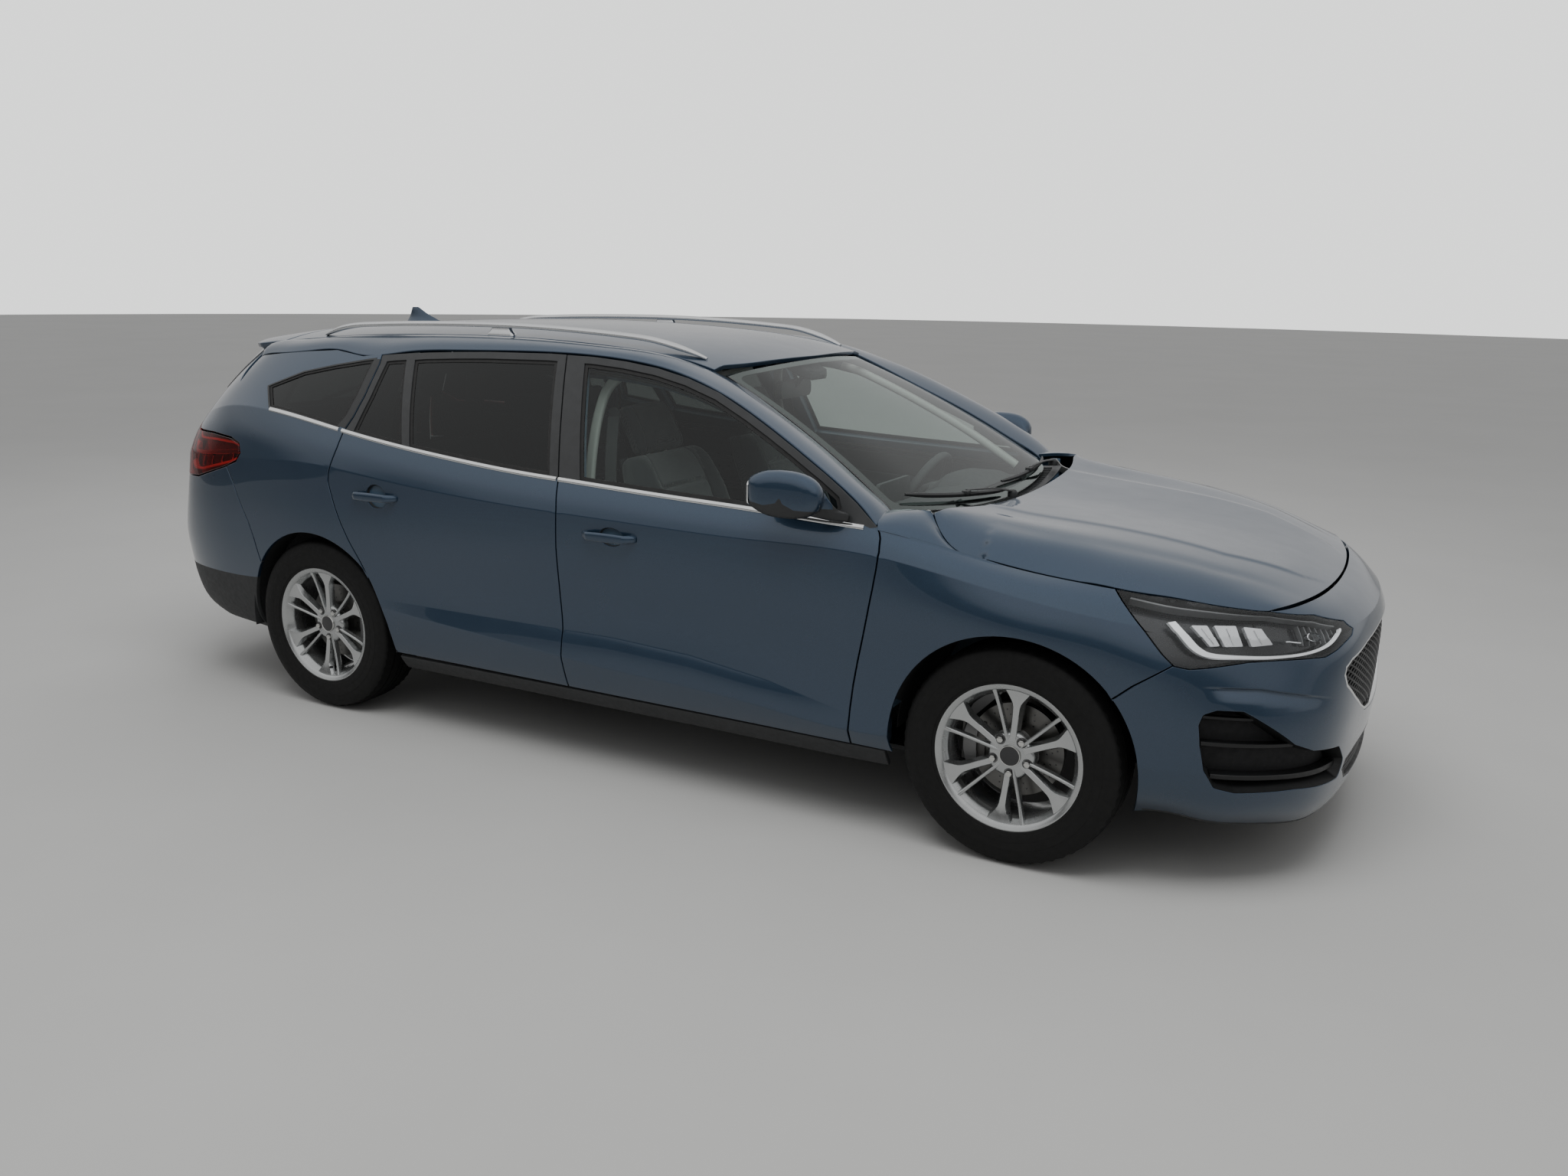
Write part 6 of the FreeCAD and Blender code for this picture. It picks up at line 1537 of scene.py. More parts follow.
def hood_at(u, v):
    """Hood surface: side edges meet the wings, a raised middle between two soft creases, a faint fold nearer each side."""
    u, v = np.asarray(u, float), np.asarray(v, float)
    p = FHOOD.at(u, v)
    a = np.abs(v)
    w = np.clip((a - .64) / .19, 0, 1)
    w = w * w * (3 - 2 * w)
    p[:, 1] += np.sign(v) * w * np.interp(u, _uu, _dy)
    p[:, 2] += w * np.interp(u, _uu, _dz)
    vc = np.interp(u, [0, .07, .29, .95, 1.03], [.20, .29, .41, .41, .42])
    s = (vc - a)
    amp = .0060 * np.clip(u / .12, 0, 1) * np.clip((1.06 - u) / .10, 0, 1)
    p[:, 2] += amp * (.5 + .5 * np.tanh(s / .013)) * np.exp(-np.clip(s, 0, 1) / .22)
    v2 = np.interp(u, [0, .25, .70, 1.03], [.50, .60, .655, .66])
    q = (a - v2)
    p[:, 2] -= .0035 * np.exp(-(q / .040) ** 2) * np.clip(u / .2, 0, 1) * np.clip((1.0 - u) / .2, 0, 1)
    return p


HoodS = Shaped(hood_at, Flip(FHOOD))
_xu = np.linspace(.01, 1.02, 70)
_vc = np.interp(_xu, [0, .07, .29, .95, 1.03], [.20, .29, .41, .41, .42])
HOOD_X = np.concatenate([np.stack([_xu, sg * (_vc + d)], 1) for sg in (1, -1) for d in (-.026, -.013, 0, .013, .026)])
hd = round_poly(inset([(0, -.83), (1.03, -.83), (1.03, .83), (0, .83)], G), .03)
panel('hood_skin', HoodS, hd, PAINT, 'hood', node='hood', slot='body_paint', back=.016, step=.022, extra=HOOD_X)

# roof
WS_T = [(-s, x) for s, x, z in WS_TOP[:0:-1]] + [(s, x) for s, x, z in WS_TOP]


def ws_top_at(y):
    t, v = [p[0] for p in WS_T], [p[1] for p in WS_T]
    y = max(-.505, min(.505, y))
    A = spline_matrix(t)
    m = [sum(A[i][k] * v[k] for k in range(len(v))) for i in range(len(v))]
    return cubic(t, v, m, y)


ys = [(-.555 + 1.11 * k / 40) for k in range(41)]
roof_o = [(-(ws_top_at(y) - .006), y) for y in ys] + [(1.788, .555), (1.788, -.555)]
panel('roof_skin', ROOF, roof_o, PAINT, 'body', node='roof_panel', slot='body_paint', back=.016, step=.03)

# front bumper
GRILLE = [(0, .672), (.110, .669), (.285, .656), (.433, .636), (.470, .620), (.480, .598), (.463, .562), (.386, .509), (.300, .462), (.223, .430), (.12, .416), (0, .412)]
GR_FULL = GRILLE + [(-a, b) for a, b in GRILLE[-2:0:-1]]
LOWER = [(0, .335), (.30, .335), (.44, .325), (.46, .30), (.40, .255), (.30, .238), (0, .232)]
LO_FULL = LOWER + [(-a, b) for a, b in LOWER[-2:0:-1]]
lf = LAMP_F
i0 = lf.index((1.780, .660))
low_edge = lf[8:i0 + 1][::-1]              # from the rear end forward along the underside
tip_edge = lf[4:9][::-1]                   # round the front tip and back up to the hood line
u_l = uvs([(1.977, .786)])[0]
side_low = uvs(arc(ARCH_F, -19.0, 38.8))
half = run(densify([(MID_U, .004), (side_low[0][0] + .05, .004)], .03, False), side_low, line_uv([(1.632, .553), (1.684, .598), (1.778, .6625)]), line_uv(low_edge), line_uv(tip_edge),
           densify([(u_l[0], .94), (MID_U, .94)], .02, False))
bo = np.concatenate([half, np.stack([2 * MID_U - half[::-1, 0], half[::-1, 1]], 1)])
BO = inset(run(bo), G)
GU, LU = yz_uv(GR_FULL, True), yz_uv(LO_FULL, True)
LU = np.stack([MID_U + (LU[:, 0] - MID_U) * .86, LU[:, 1]], 1)
IU = round_poly(poly_uv(INTAKE, .05), .02)
IU2 = np.stack([2 * MID_U - IU[:, 0], IU[:, 1]], 1)
FOLD_U = [4.90, 4.96, 5.10, 5.29, 5.40, 5.50]
FOLD_V = [.505, .503, .499, .462, .435, .415]


def bump_at(u, v):
    """Bumper surface with a lens-shaped hollow below each lamp."""
    u, v = np.asarray(u, float), np.asarray(v, float)
    p, n = FRING.both(u, v)
    w = np.where(u > MID_U, 2 * MID_U - u, u)
    v0 = np.interp(w, FOLD_U, FOLD_V)
    s = v0 - v
    amp = np.clip((w - 4.93) / .08, 0, 1) * np.clip((5.36 - w) / .14, 0, 1)
    amp = amp * amp * (3 - 2 * amp)
    hol = np.clip(s / .007, 0, 1) * np.clip(1 - np.clip(s, 0, 1) / .062, 0, 1) ** 1.5
    d = -.0085 * amp * hol
    return p + n * d[:, None]


BumpS = Shaped(bump_at, Side)
_w = np.linspace(4.92, 5.36, 46)
_v0 = np.interp(_w, FOLD_U, FOLD_V)
BUMP_X = np.concatenate([np.stack([_w, _v0 + d], 1) for d in (.004, -.0005, -.0035, -.0075, -.016)])
BUMP_X = np.concatenate([BUMP_X, np.stack([2 * MID_U - BUMP_X[:, 0], BUMP_X[:, 1]], 1)])
panel('front_bumper_skin', BumpS, BO, PAINT, 'body', node='front_bumper', slot='body_paint', creases=(.74,), holes=[GU, LU, IU, IU2], depth=.016, step=.016, extra=BUMP_X)

# rear bumper
Y_G = .655
ug = U_CORNER - .100
half = run(densify([(0, .004), (uvs([(-1.70, .25)])[0][0] * 1.0, .004)], .03, False), uvs(arc(ARCH_R, 192.3, 144)),
           line_uv([(-1.640, .536), (-1.669, .630), (-1.695, .690), (-1.751, .776), (-1.786, .833), (-1.833, .889), (-1.905, .867), (-2.043, .827)]),
           densify([uvs([(-2.043, .827)])[0], (ug, .655), (ug, .575), (0, .575)], .02, False))
bo = np.concatenate([half, np.stack([-half[::-1, 0], half[::-1, 1]], 1)])
RBO = inset(run(bo), G)
panel('rear_bumper_skin', Side, RBO, TEXBLACK, 'body', node='rear_bumper', slot='body_paint', creases=(.235,), depth=.014, off=-.0007, split=(.236, PAINT))

# tailgate
RGLASS = [(0, 1.352), (.30, 1.345), (.43, 1.322), (.470, 1.285), (.530, 1.16), (.565, 1.075), (.555, 1.048), (.50, 1.042), (0, 1.036)]
RGF = RGLASS + [(-a, b) for a, b in RGLASS[-2:0:-1]]
u_d = U_CORNER - .030
half = densify([(0, .585), (ug - .004, .585), (ug - .004, .935), (u_d, .945), (u_d, 1.40), (0, 1.40)], .02, False)
TO = run(half, np.stack([-half[::-1, 0], half[::-1, 1]], 1))
RGU = yz_uv(RGF, False)
LT = [(.655, .838), (.655, .955), (.52, .955), (.36, .935), (.345, .895), (.40, .850)]
LTU = yz_uv([(.648, .838), (.648, .955), (.52, .955), (.36, .935), (.345, .895), (.40, .850)], False)
LTU2 = np.stack([-LTU[:, 0], LTU[:, 1]], 1)
PL_U = yz_uv([(-.30, .775), (.30, .775), (.285, .905), (-.285, .905)], False)
panel('tailgate_skin', Side, inset(TO, .0005), PAINT, 'tailgate', node='tailgate', slot='body_paint', creases=(.74, .94), holes=[RGU, LTU, LTU2, PL_U], back=.030)
sp_o = [(1.802, -.553), (1.950, -.553), (1.986, -.535), (2.018, -.47), (2.040, -.34), (2.040, .34), (2.018, .47), (1.986, .535), (1.950, .553), (1.802, .553)]
panel('tailgate_spoiler', ROOF, sp_o, PAINT, 'tailgate', slot='body_paint', back=.022, r=.006)

# window glass
panel('windscreen_glass', Glass(), [(-.694, .004), (.694, .004), (.694, .868), (-.694, .868)], GLASS_C, 'body', node='windscreen', slot='clear_glass', off=-.003, r=.001, depth=.004, step=.05)
fr = inset([(-.6985, .002), (.6985, .002), (.6985, .870), (-.6985, .870)], 0)
panel('windscreen_band', Glass(), fr, GLOSSBLACK, 'body', slot='black_trim', off=-.0035, r=.001, depth=.003, holes=[round_poly(inset(fr, .028)[::1], .04)], step=.05)
for nm, sd in SIDES:
    panel(nm + '_front_door_pane', Side, FG_UV, GLASS_C, nm + '_front_door', node=nm + '_front_door_glass', slot='clear_glass', side=sd, off=-.007, r=.0008, depth=.003, step=.05)
    panel(nm + '_rear_door_pane', Side, RG_UV, GLASS_D, nm + '_rear_door', node=nm + '_rear_door_glass', slot='dark_glass', side=sd, off=-.007, r=.0008, depth=.003, step=.05)
    panel(nm + '_rear_door_light', Side, RL_UV, GLASS_D, nm + '_rear_door', slot='dark_glass', side=sd, off=-.007, r=.0008, depth=.003, step=.05)
    panel(nm + '_quarter_pane', Side, QG_UV, GLASS_D, 'body', node='quarter_glass' if sd > 0 else None, slot='dark_glass', side=sd, off=-.005, r=.0008, depth=.003, step=.05)
    for k, g in (('front', FG_UV), ('rear', RG_UV), ('rear_light', RL_UV)):
        b = 'rear' if k == 'rear_light' else k
        panel('%s_%s_window_seal' % (nm, k), Side, inset(g, -.0015), SEAL, '%s_%s_door' % (nm, b), slot='wiper_black', side=sd, off=-.0045, r=.0015, depth=.006,
              holes=[inset(g, .011)], step=.05)
    panel(nm + '_quarter_seal', Side, inset(QG_UV, -.0035), SEAL, 'body', slot='wiper_black', side=sd, off=-.0015, r=.002, depth=.006, holes=[inset(QG_UV, .010)], step=.05)
panel('tailgate_pane', Side, RGU, GLASS_D, 'tailgate', node='tailgate_glass', slot='dark_glass', off=-.004, r=.001, depth=.003, step=.05)
panel('tailgate_seal', Side, inset(RGU, -.002), SEAL, 'tailgate', slot='wiper_black', off=-.0025, r=.0015, depth=.006, holes=[inset(RGU, .012)], step=.05)

# lamps (outer lenses)
LFU = poly_uv(LAMP_F)
LRU = run(line_uv([(-2.15, .819), (-2.043, .8285), (-1.90, .869), (-1.836, .888), (-1.776, .914), (-1.751, .945), (-1.763, .980), (-1.82, .997), (-1.954, 1.003), (-2.06, 1.001), (-2.10, 1.001)]),
          densify([(u_gate, .943), (ug + .002, .935), (ug + .002, .660)], .02, False))
for nm, sd in SIDES:
    panel(nm + '_headlamp_lens', Side, inset(LFU, .0012), GLASS_L, 'body', slot='headlamp', side=sd, r=.002, depth=.010, off=-.0005, node='headlamps' if sd > 0 else None)
    panel(nm + '_tail_lamp_lens', Side, inset(LRU, .0015), glass_mat('glass_red_' + nm, (.60, .115, .105), 1.0), 'body', slot='tail_lamp', side=sd, r=.003, depth=.020, node='tail_lamps' if sd > 0 else None)

# ---------------------------------------------------------------------------
# Wheels
# ---------------------------------------------------------------------------
RUBBER = plastic_mat('tyre_rubber', (.0045, .0045, .0044), .66, 700, .5, .2, spec=.30)
RUBBER2 = plastic_mat('tyre_tread', (.0038, .0038, .0037), .85, 400, .7, .2, spec=.25)
NUT = metal_mat('wheel_nut', (.60, .60, .58), .20, .05)
RIMF = metal_mat('rim_face', (.46, .47, .47), .19, .05, metallic=.95, coat=.7)
DISC = metal_mat('brake_disc', (.15, .148, .142), .33, .10, grain=300)
CALI = metal_mat('caliper', (.20, .20, .20), .5, .15, metallic=.7, grain=300)
TYRE_PROF = [(-.080, .2085), (-.0895, .2125), (-.0950, .2190), (-.0968, .2215), (-.0972, .2270), (-.0988, .2282), (-.1004, .2400), (-.1012, .2500), (-.1006, .2512), (-.1018, .2620), (-.1019, .2740),
             (-.1010, .2752), (-.1003, .2860), (-.0985, .2950), (-.0975, .2962), (-.0944, .3060), (-.0905, .3118), (-.0870, .3160), (-.0800, .3212)]


def tyre_data():
    n = 120
    V, F, M = [], [], []
    side = TYRE_PROF
    tread = [(-.0800, .3212), (-.0640, .3238), (-.0500, .3250), (-.0490, .3252), (-.0482, .3190), (-.0412, .3190), (-.0404, .3256), (-.0220, .32595), (-.0140, .3260), (-.0132, .3192), (-.0062, .3192),
             (-.0054, .3260), (.0054, .3260), (.0062, .3192), (.0132, .3192), (.0140, .3260), (.0220, .32595), (.0404, .3256), (.0412, .3190), (.0482, .3190), (.0490, .3252), (.0500, .3250), (.0640, .3238), (.0800, .3212)]
    prof = side[:-1] + tread + [(-a, r) for a, r in side[:-1][::-1]]
    ns = len(side) - 1
    m = len(prof)
    for k in range(n):
        a = 2 * pi * k / n
        lug = k % 2 == 0
        for j, (h, r) in enumerate(prof):
            rr = r
            # shoulder blocks: every second step is sunk at the shoulder; the middle of the tread is slightly turned
            if lug and .052 < abs(h) < .084 and r > .318:
                rr = r - .0048
            ang = a + (.010 if abs(h) < .05 else 0) * (h / .05)
            V.append((rr * cos(ang), h, rr * sin(ang)))
    for k in range(n):
        k2 = (k + 1) % n
        for j in range(m - 1):
            F.append((k * m + j, k2 * m + j, k2 * m + j + 1, k * m + j + 1))
            M.append(1 if ns - 1 < j < m - ns - 1 else 0)
    # bead face inside closes the ring
    for k in range(n):
        k2 = (k + 1) % n
        F.append((k * m + m - 1, k2 * m + m - 1, k2 * m, k * m))
        M.append(0)
    V = np.array(V)
    vol = 0
    v2 = V - 0
    for f in F[:2000]:
        pass
    return V, F, M


def split_shade(V, F, M, angle=32):
    V = np.asarray(V, float)
    v = 0.0
    for f in F:
        p = V[list(f)]
        for i in range(1, len(f) - 1):
            v += np.dot(p[0], np.cross(p[i], p[i + 1]))
    if v < 0:
        F = [tuple(f[::-1]) for f in F]
    a, b, c = smooth_normals(V, F, angle)
    return a, b, c, M


def ring_text_free(V):
    return V


def rim_parts():
    """Rim in wheel coordinates: y outwards, wheel axis on y, angle from +x towards +z."""
    items = []
    barrel = [(-.0935, .2190), (-.0935, .2100), (-.088, .2030), (-.074, .1975), (-.058, .1915), (.018, .1855), (.058, .1905), (.070, .1955), (.0800, .2025), (.0865, .2095), (.0890, .2190),
              (.0915, .2200), (.0942, .2190), (.0945, .2150), (.0925, .2110), (.0905, .2055), (.0875, .2020), (.0840, .1995), (.0790, .1965), (.0700, .1895), (.0600, .1845), (.018, .1790), (-.058, .1850), (-.082, .1955), (-.0915, .2060), (-.0950, .2110),
              (-.0955, .2190)]
    V, F = lathe(barrel, (0, 0, 0), 'y', 96, 1, True)
    items.append((*solid_data(V, F, 28), 0))
    # spokes: outlines in the wheel plane, lofted over an inwards-falling face
    def face_y(r):
        t = max(0.0, min(1.0, (r - .03) / (.2150 - .03)))
        return .0655 + .0040 * sin(pi * t) + .0255 * t ** 3.2

    def spoke(outline, th, mat, crown):
        """outline rows: radius, half width of the face, half width at the back, depth."""
        secs = []
        for r, wt, wb, dp in outline:
            y = face_y(r)
            pts = [(-wb, y - dp), (-wt - .0012, y - .0022), (-wt, y - .0008), (-wt * .5, y + crown * .5), (0, y + crown), (wt * .5, y + crown * .5), (wt, y - .0008), (wt + .0012, y - .0022), (wb, y - dp),
                   (wb * .7, y - dp - .006), (-wb * .7, y - dp - .006)]
            secs.append([(r * cos(th) - w * sin(th), q, r * sin(th) + w * cos(th)) for w, q in pts])
        V, F = loft(secs)
        items.append((*solid_data(V, F, 20), mat))

    for k in range(6):
        # six wide arms that flare over the rim edge, and six slim straight ones
        wide = [(.030, .0085, .0150, .016), (.050, .0090, .0160, .018), (.064, .0080, .0155, .020), (.090, .0078, .0155, .022), (.120, .0082, .0165, .022), (.148, .0092, .0180, .021),
                (.160, .0120, .0210, .019), (.172, .0185, .0270, .016), (.186, .0275, .0350, .013), (.200, .0365, .0425, .009), (.2095, .0425, .0470, .006), (.2150, .0450, .0480, .003)]
        slim = [(.034, .0042, .0085, .012), (.058, .0040, .0072, .014), (.085, .0038, .0068, .016), (.120, .0038, .0066, .016), (.155, .0038, .0068, .015), (.180, .0042, .0072, .012), (.200, .0050, .0080, .008),
                (.2145, .0060, .0090, .003)]
        spoke(wide, radians(25 + 60 * k), 1, -.0008)
        spoke(slim, radians(45 + 60 * k), 0, .0004)
    # hub, with five nut pockets; their walls are gloss black as painted shade
    hub_o = [(.060 * cos(2 * pi * k / 60) * (1 + .035 * cos(10 * pi * k / 60)), .060 * sin(2 * pi * k / 60) * (1 + .035 * cos(10 * pi * k / 60))) for k in range(60)]
    secs = []
    for y, s in ((.036, 1.22), (.052, 1.20), (.0600, 1.13), (.0635, 1.06), (.0655, .98), (.0662, .56)):
        secs.append([(x * s, y, z * s) for x, z in hub_o])
    V, F = loft(secs)
    items.append((*solid_data(V, F, 26), 0))
    for k in range(5):
        a = radians(90 + 36 + 72 * k)
        c = (.054 * cos(a), 0, .054 * sin(a))
        V, F = lathe([(.0610, .0125), (.0664, .0135), (.0668, .0145), (.0660, .0155), (.0630, .0155)], c, 'y', 24)
        items.append((*solid_data(V, F, 40), 2))
        V, F = lathe([(.0664, .0001), (.0664, .0128)], c, 'y', 24)
        V = V + np.array([0, .0004, 0])
        items.append((*solid_data(V, F, 40), 2))
        # hexagonal nut with a domed end
        secs = []
        for y, s in ((.060, .0092), (.0715, .0092), (.0728, .0086), (.0736, .0070), (.0740, .0040), (.0741, .0005)):
            secs.append([(c[0] + s * (1.06 if j % 2 == 0 else .97) * cos(2 * pi * j / 12), y, c[2] + s * (1.06 if j % 2 == 0 else .97) * sin(2 * pi * j / 12)) for j in range(12)])
        V, F = loft(secs)
        items.append((*solid_data(V, F, 30), 3))
    # plain centre cap with a thin bright ring
    V, F = lathe([(.055, .0315), (.0705, .0315), (.0722, .0305), (.0722, .0288), (.0712, .0282)], (0, 0, 0), 'y', 48)
    items.append((*solid_data(V, F, 30), 3))
    V, F = lathe([(.0700, .0286), (.0714, .0278), (.0718, .0240), (.0722, .0120), (.0723, .0001)], (0, 0, 0), 'y', 48)
    items.append((*solid_data(V, F, 50), 2))
    # valve stem
    V, F = tube([(.006, .058, -.176), (.006, .078, -.170)], .0042, 10, up=(1, 0, 0))
    items.append((*solid_data(V, F, 50), 2))
    # brake disc and bell turn with the wheel
    V, F = lathe([(-.017, .067), (-.017, .139), (-.0085, .1395), (-.0080, .134), (-.0035, .134), (-.0030, .1395), (.0052, .139), (.0052, .073), (.032, .070), (.032, .033), (.028, .033), (.024, .064),
                  (-.006, .067)], (0, 0, 0), 'y', 72, 1, True)
    items.append((*solid_data(V, F, 30), 4))
    # black rings on the disc stand for its drilled holes: painted shade
    for k in range(18):
        a = 2 * pi * k / 18
        for r in (.088, .104, .120):
            aa = a + (r - .088) * 4
            V, F = lathe([(.0054, .0001), (.0056, .0028)], (r * cos(aa), 0, r * sin(aa)), 'y', 8)
            items.append((*solid_data(V, F, 40), 2))
    return items


_rp = join_data(rim_parts())
_td = split_shade(*tyre_data())
WHEELS = (('left', 'front', 1.35, .786, 1), ('right', 'front', 1.35, .786, -1), ('left', 'rear', -1.35, .7805, 1), ('right', 'rear', -1.35, .7805, -1))
for s_, e_, x_, y_, sd in WHEELS:
    w = '%s_%s' % (s_, e_)
    o = np.array([x_ + XS, sd * y_, .32612])
    V, N, F, M = _td
    f = np.array([1, sd, 1])
    FF = F if sd > 0 else [tuple(q[::-1]) for q in F]
    finish_piece(make_mesh(w + '_tyre_skin', V * f + o, FF, [RUBBER, RUBBER2], N * f, M), w + '_wheel', w + '_tyre')
    V, N, F, M = _rp
    f = np.array([-1, 1, 1]) if sd > 0 else np.array([1, -1, 1])
    FF = [tuple(q[::-1]) for q in F]
    finish_piece(make_mesh(w + '_rim_skin', V * f + o, FF, [RIM, RIMF, GLOSSBLACK, NUT, DISC], N * f, M), w + '_wheel', w + '_rim')

# front calipers ride the knuckles; rear calipers ride the body
def caliper(x0, yc, zc, sd, back):
    """Caliper body bridging the disc edge at the rear or front of the wheel."""
    items = []
    secs = []
    for t, w in ((-.060, .030), (-.050, .037), (-.022, .041), (.022, .041), (.050, .037), (.060, .030)):
        r = .150
        a = t / r
        cx, cz = back * r * cos(a), r * sin(a)
        er = np.array([back * cos(a), 0, sin(a)])
        p = [(-.042, -.030), (-.042, .010), (-.030, .018), (.010, .018), (.020, .010), (.020, -.030), (.0085, -.030), (.0085, -.006), (-.0205, -.006), (-.0205, -.030)]
        secs.append([np.array([cx, q, cz]) + er * (h * (w / .041)) for q, h in p])
    V, F = loft(secs)
    items.append((*solid_data(V, F, 30), 0))
    for t in (-.03, .03):
        V, F = lathe([(-.046, .0001), (-.046, .011), (-.042, .013), (-.040, .013)], (back * .148, 0, t), 'y', 16)
        items.append((*solid_data(V, F, 30), 1))
    V, N, F, M = join_data(items)
    f = np.array([1, sd, 1])
    return V * f + np.array([x0 + XS, sd * yc, zc]), N * f, (F if sd > 0 else [tuple(q[::-1]) for q in F]), M


for s_, sd in SIDES:
    V, N, F, M = caliper(1.35, .786, .326, sd, -1)
    finish_piece(make_mesh(s_ + '_front_caliper', V, F, [CALI, STEEL], N, M), s_ + '_knuckle')
    V, N, F, M = caliper(-1.35, .7805, .326, sd, 1)
    finish_piece(make_mesh(s_ + '_rear_caliper', V, F, [CALI, STEEL], N, M), 'body')

# ---------------------------------------------------------------------------
# Chrome strip, handles, mirrors, sills, rails, aerial, wipers, cowl
# ---------------------------------------------------------------------------
def surf_pts(uv):
    p, n = FRING.both(uv[:, 0], uv[:, 1])
    return p, n


def ribbon(name, side, lo, hi, mat, body, off=.003, th=.003):
    """Strip on the body side between two x-z lines of equal length."""
    p0, n0 = surf_pts(uvs(lo))
    p1, n1 = surf_pts(uvs(hi))
    secs = []
    for a, na, b, nb in zip(p0, n0, p1, n1):
        m, nm_ = (a + b) / 2, (na + nb) / 2
        secs.append([a - na * .004, a + na * off * .5, a * .8 + b * .2 + na * off, m + nm_ * (off + th * .25), a * .2 + b * .8 + nb * off, b + nb * off * .5, b - nb * .004])
    V, F = loft(secs)
    d = shift(solid_data(V, F, 45))
    if side < 0:
        d = mirrored(d)
    return finish_piece(make_mesh(name, d[0], d[2], mat, d[1]), body)


def belt_z(x, dz=0.0):
    return curve1(BELT, x) + dz


def belt_pts(x0, x1, dz, n=22):
    return [(x0 + (x1 - x0) * k / n, belt_z(x0 + (x1 - x0) * k / n, dz)) for k in range(n + 1)]


FRAMEGREY = plastic_mat('frame_grey', (.009, .0098, .0105), .30, 900, .1)
for nm, sd in SIDES:
    for tag, x0, x1, b in (('front', .880, -.224, nm + '_front_door'), ('rear', -.232, -1.206, nm + '_rear_door'), ('quarter', -1.222, -1.600, 'body')):
        ribbon('%s_%s_bright_strip' % (nm, tag), sd, belt_pts(x0, x1, -.0045), belt_pts(x0, x1, .0085), CHROME, b, .0035, .003)


def handle(name, side, c, body):
    hx, hz = c
    n = 26
    xs_ = [hx - .108 + .212 * k / n for k in range(n + 1)]
    p, nn = surf_pts(uvs([(x, hz + .004 + .010 * (x - hx)) for x in xs_]))
    secs = []
    for k in range(n + 1):
        t = k / n
        e = min(t, 1 - t)
        st = .0035 + .030 * min(1.0, (e / .16)) ** .75 if e < .16 else .0335
        hh = .0125 + .0028 * sin(pi * t)
        if e < .06:
            hh *= (.62 + .38 * (e / .06))
        th_ = .0135 if .10 < t < .90 else .0135
        c0 = p[k]
        nrm = nn[k]
        up_ = np.array([0, 0, 1.0]) - nrm * nrm[2]
        up_ /= np.linalg.norm(up_)
        inner = max(-.006, st - th_) if e > .13 else -.006
        sec = []
        m = 16
        for j in range(m):
            a = 2 * pi * j / m
            ca, sa = cos(a), sin(a)
            q = (abs(ca) ** .7) * (1 if ca >= 0 else -1)
            r = (abs(sa) ** .85) * (1 if sa >= 0 else -1)
            mid, half = (st + inner) / 2, (st - inner) / 2
            sec.append(c0 + nrm * (mid + half * q) + up_ * (hh * r))
        secs.append(sec)
    V, F = loft(secs)
    bar_ = solid_data(V, F, 50)
    # bowl behind the bar, coloured black as painted shade; the real bowl is body paint
    k2 = 'front' if hx > -.5 else 'rear'
    cu = CUP[k2] + np.array([.004, .004])
    rings = []
    for s, dp in ((.985, .0035), (.965, .009), (.90, .017), (.75, .0225), (.5, .0250), (.2, .0262)):
        e_ = ellipse(cu, .047 * s, .037 * s, 40)
        P, N = FRING.both(e_[:, 0], e_[:, 1])
        rings.append([P[i] - N[i] * dp for i in range(len(P))])
    V, F = loft(rings, True, False)
    F.append(tuple(range(5 * 40, 6 * 40)))
    V = np.array(V)
    a, b_, c_ = smooth_normals(V, F, 60)
    pc = FRING.both(np.array([cu[0]]), np.array([cu[1]]))[1][0]
    if np.dot(b_.mean(0), pc) < 0:
        c_ = [tuple(f[::-1]) for f in c_]
        b_ = -b_
    items = [(*shift(bar_), 0), (*shift((a, b_, c_)), 1)]
    if side < 0:
        items = [(*mirrored(i[:3]), i[3]) for i in items]
    piece(name, items, [PAINT, BLACK], body)


for nm, sd in SIDES:
    for k in HANDLES:
        handle('%s_%s_handle' % (nm, k), sd, HANDLES[k], '%s_%s_door' % (nm, k))

# mirrors
MIR = [(.876, .036, .015, .802, .966), (.890, .037, .016, .802, .967), (.902, .040, .019, .800, .970), (.910, .052, .030, .793, .980), (.9165, .067, .045, .784, .990), (.923, .079, .056, .776, .997),
       (.932, .0865, .063, .7705, 1.0015), (.944, .0905, .0665, .7680, 1.0040), (.957, .0912, .0675, .7672, 1.0045), (.969, .0890, .0655, .7680, 1.0040), (.978, .0835, .0600, .7700, 1.0030),
       (.984, .0730, .0510, .7720, 1.0020), (.9875, .0560, .0380, .7735, 1.0010), (.9890, .0300, .0190, .7745, 1.0005), (.98935, .0060, .0040, .7750, 1.0000)]

# the housing reaches back and up from its foot
MIR = [(y, a * (1 + .418 * w), b * (1 + .04 * w), xc - .1105 * w, zc + .0240 * w) for y, a, b, xc, zc in MIR for w in (min(1, max(0, (y - .893) / .028)) ** 1.3,)]


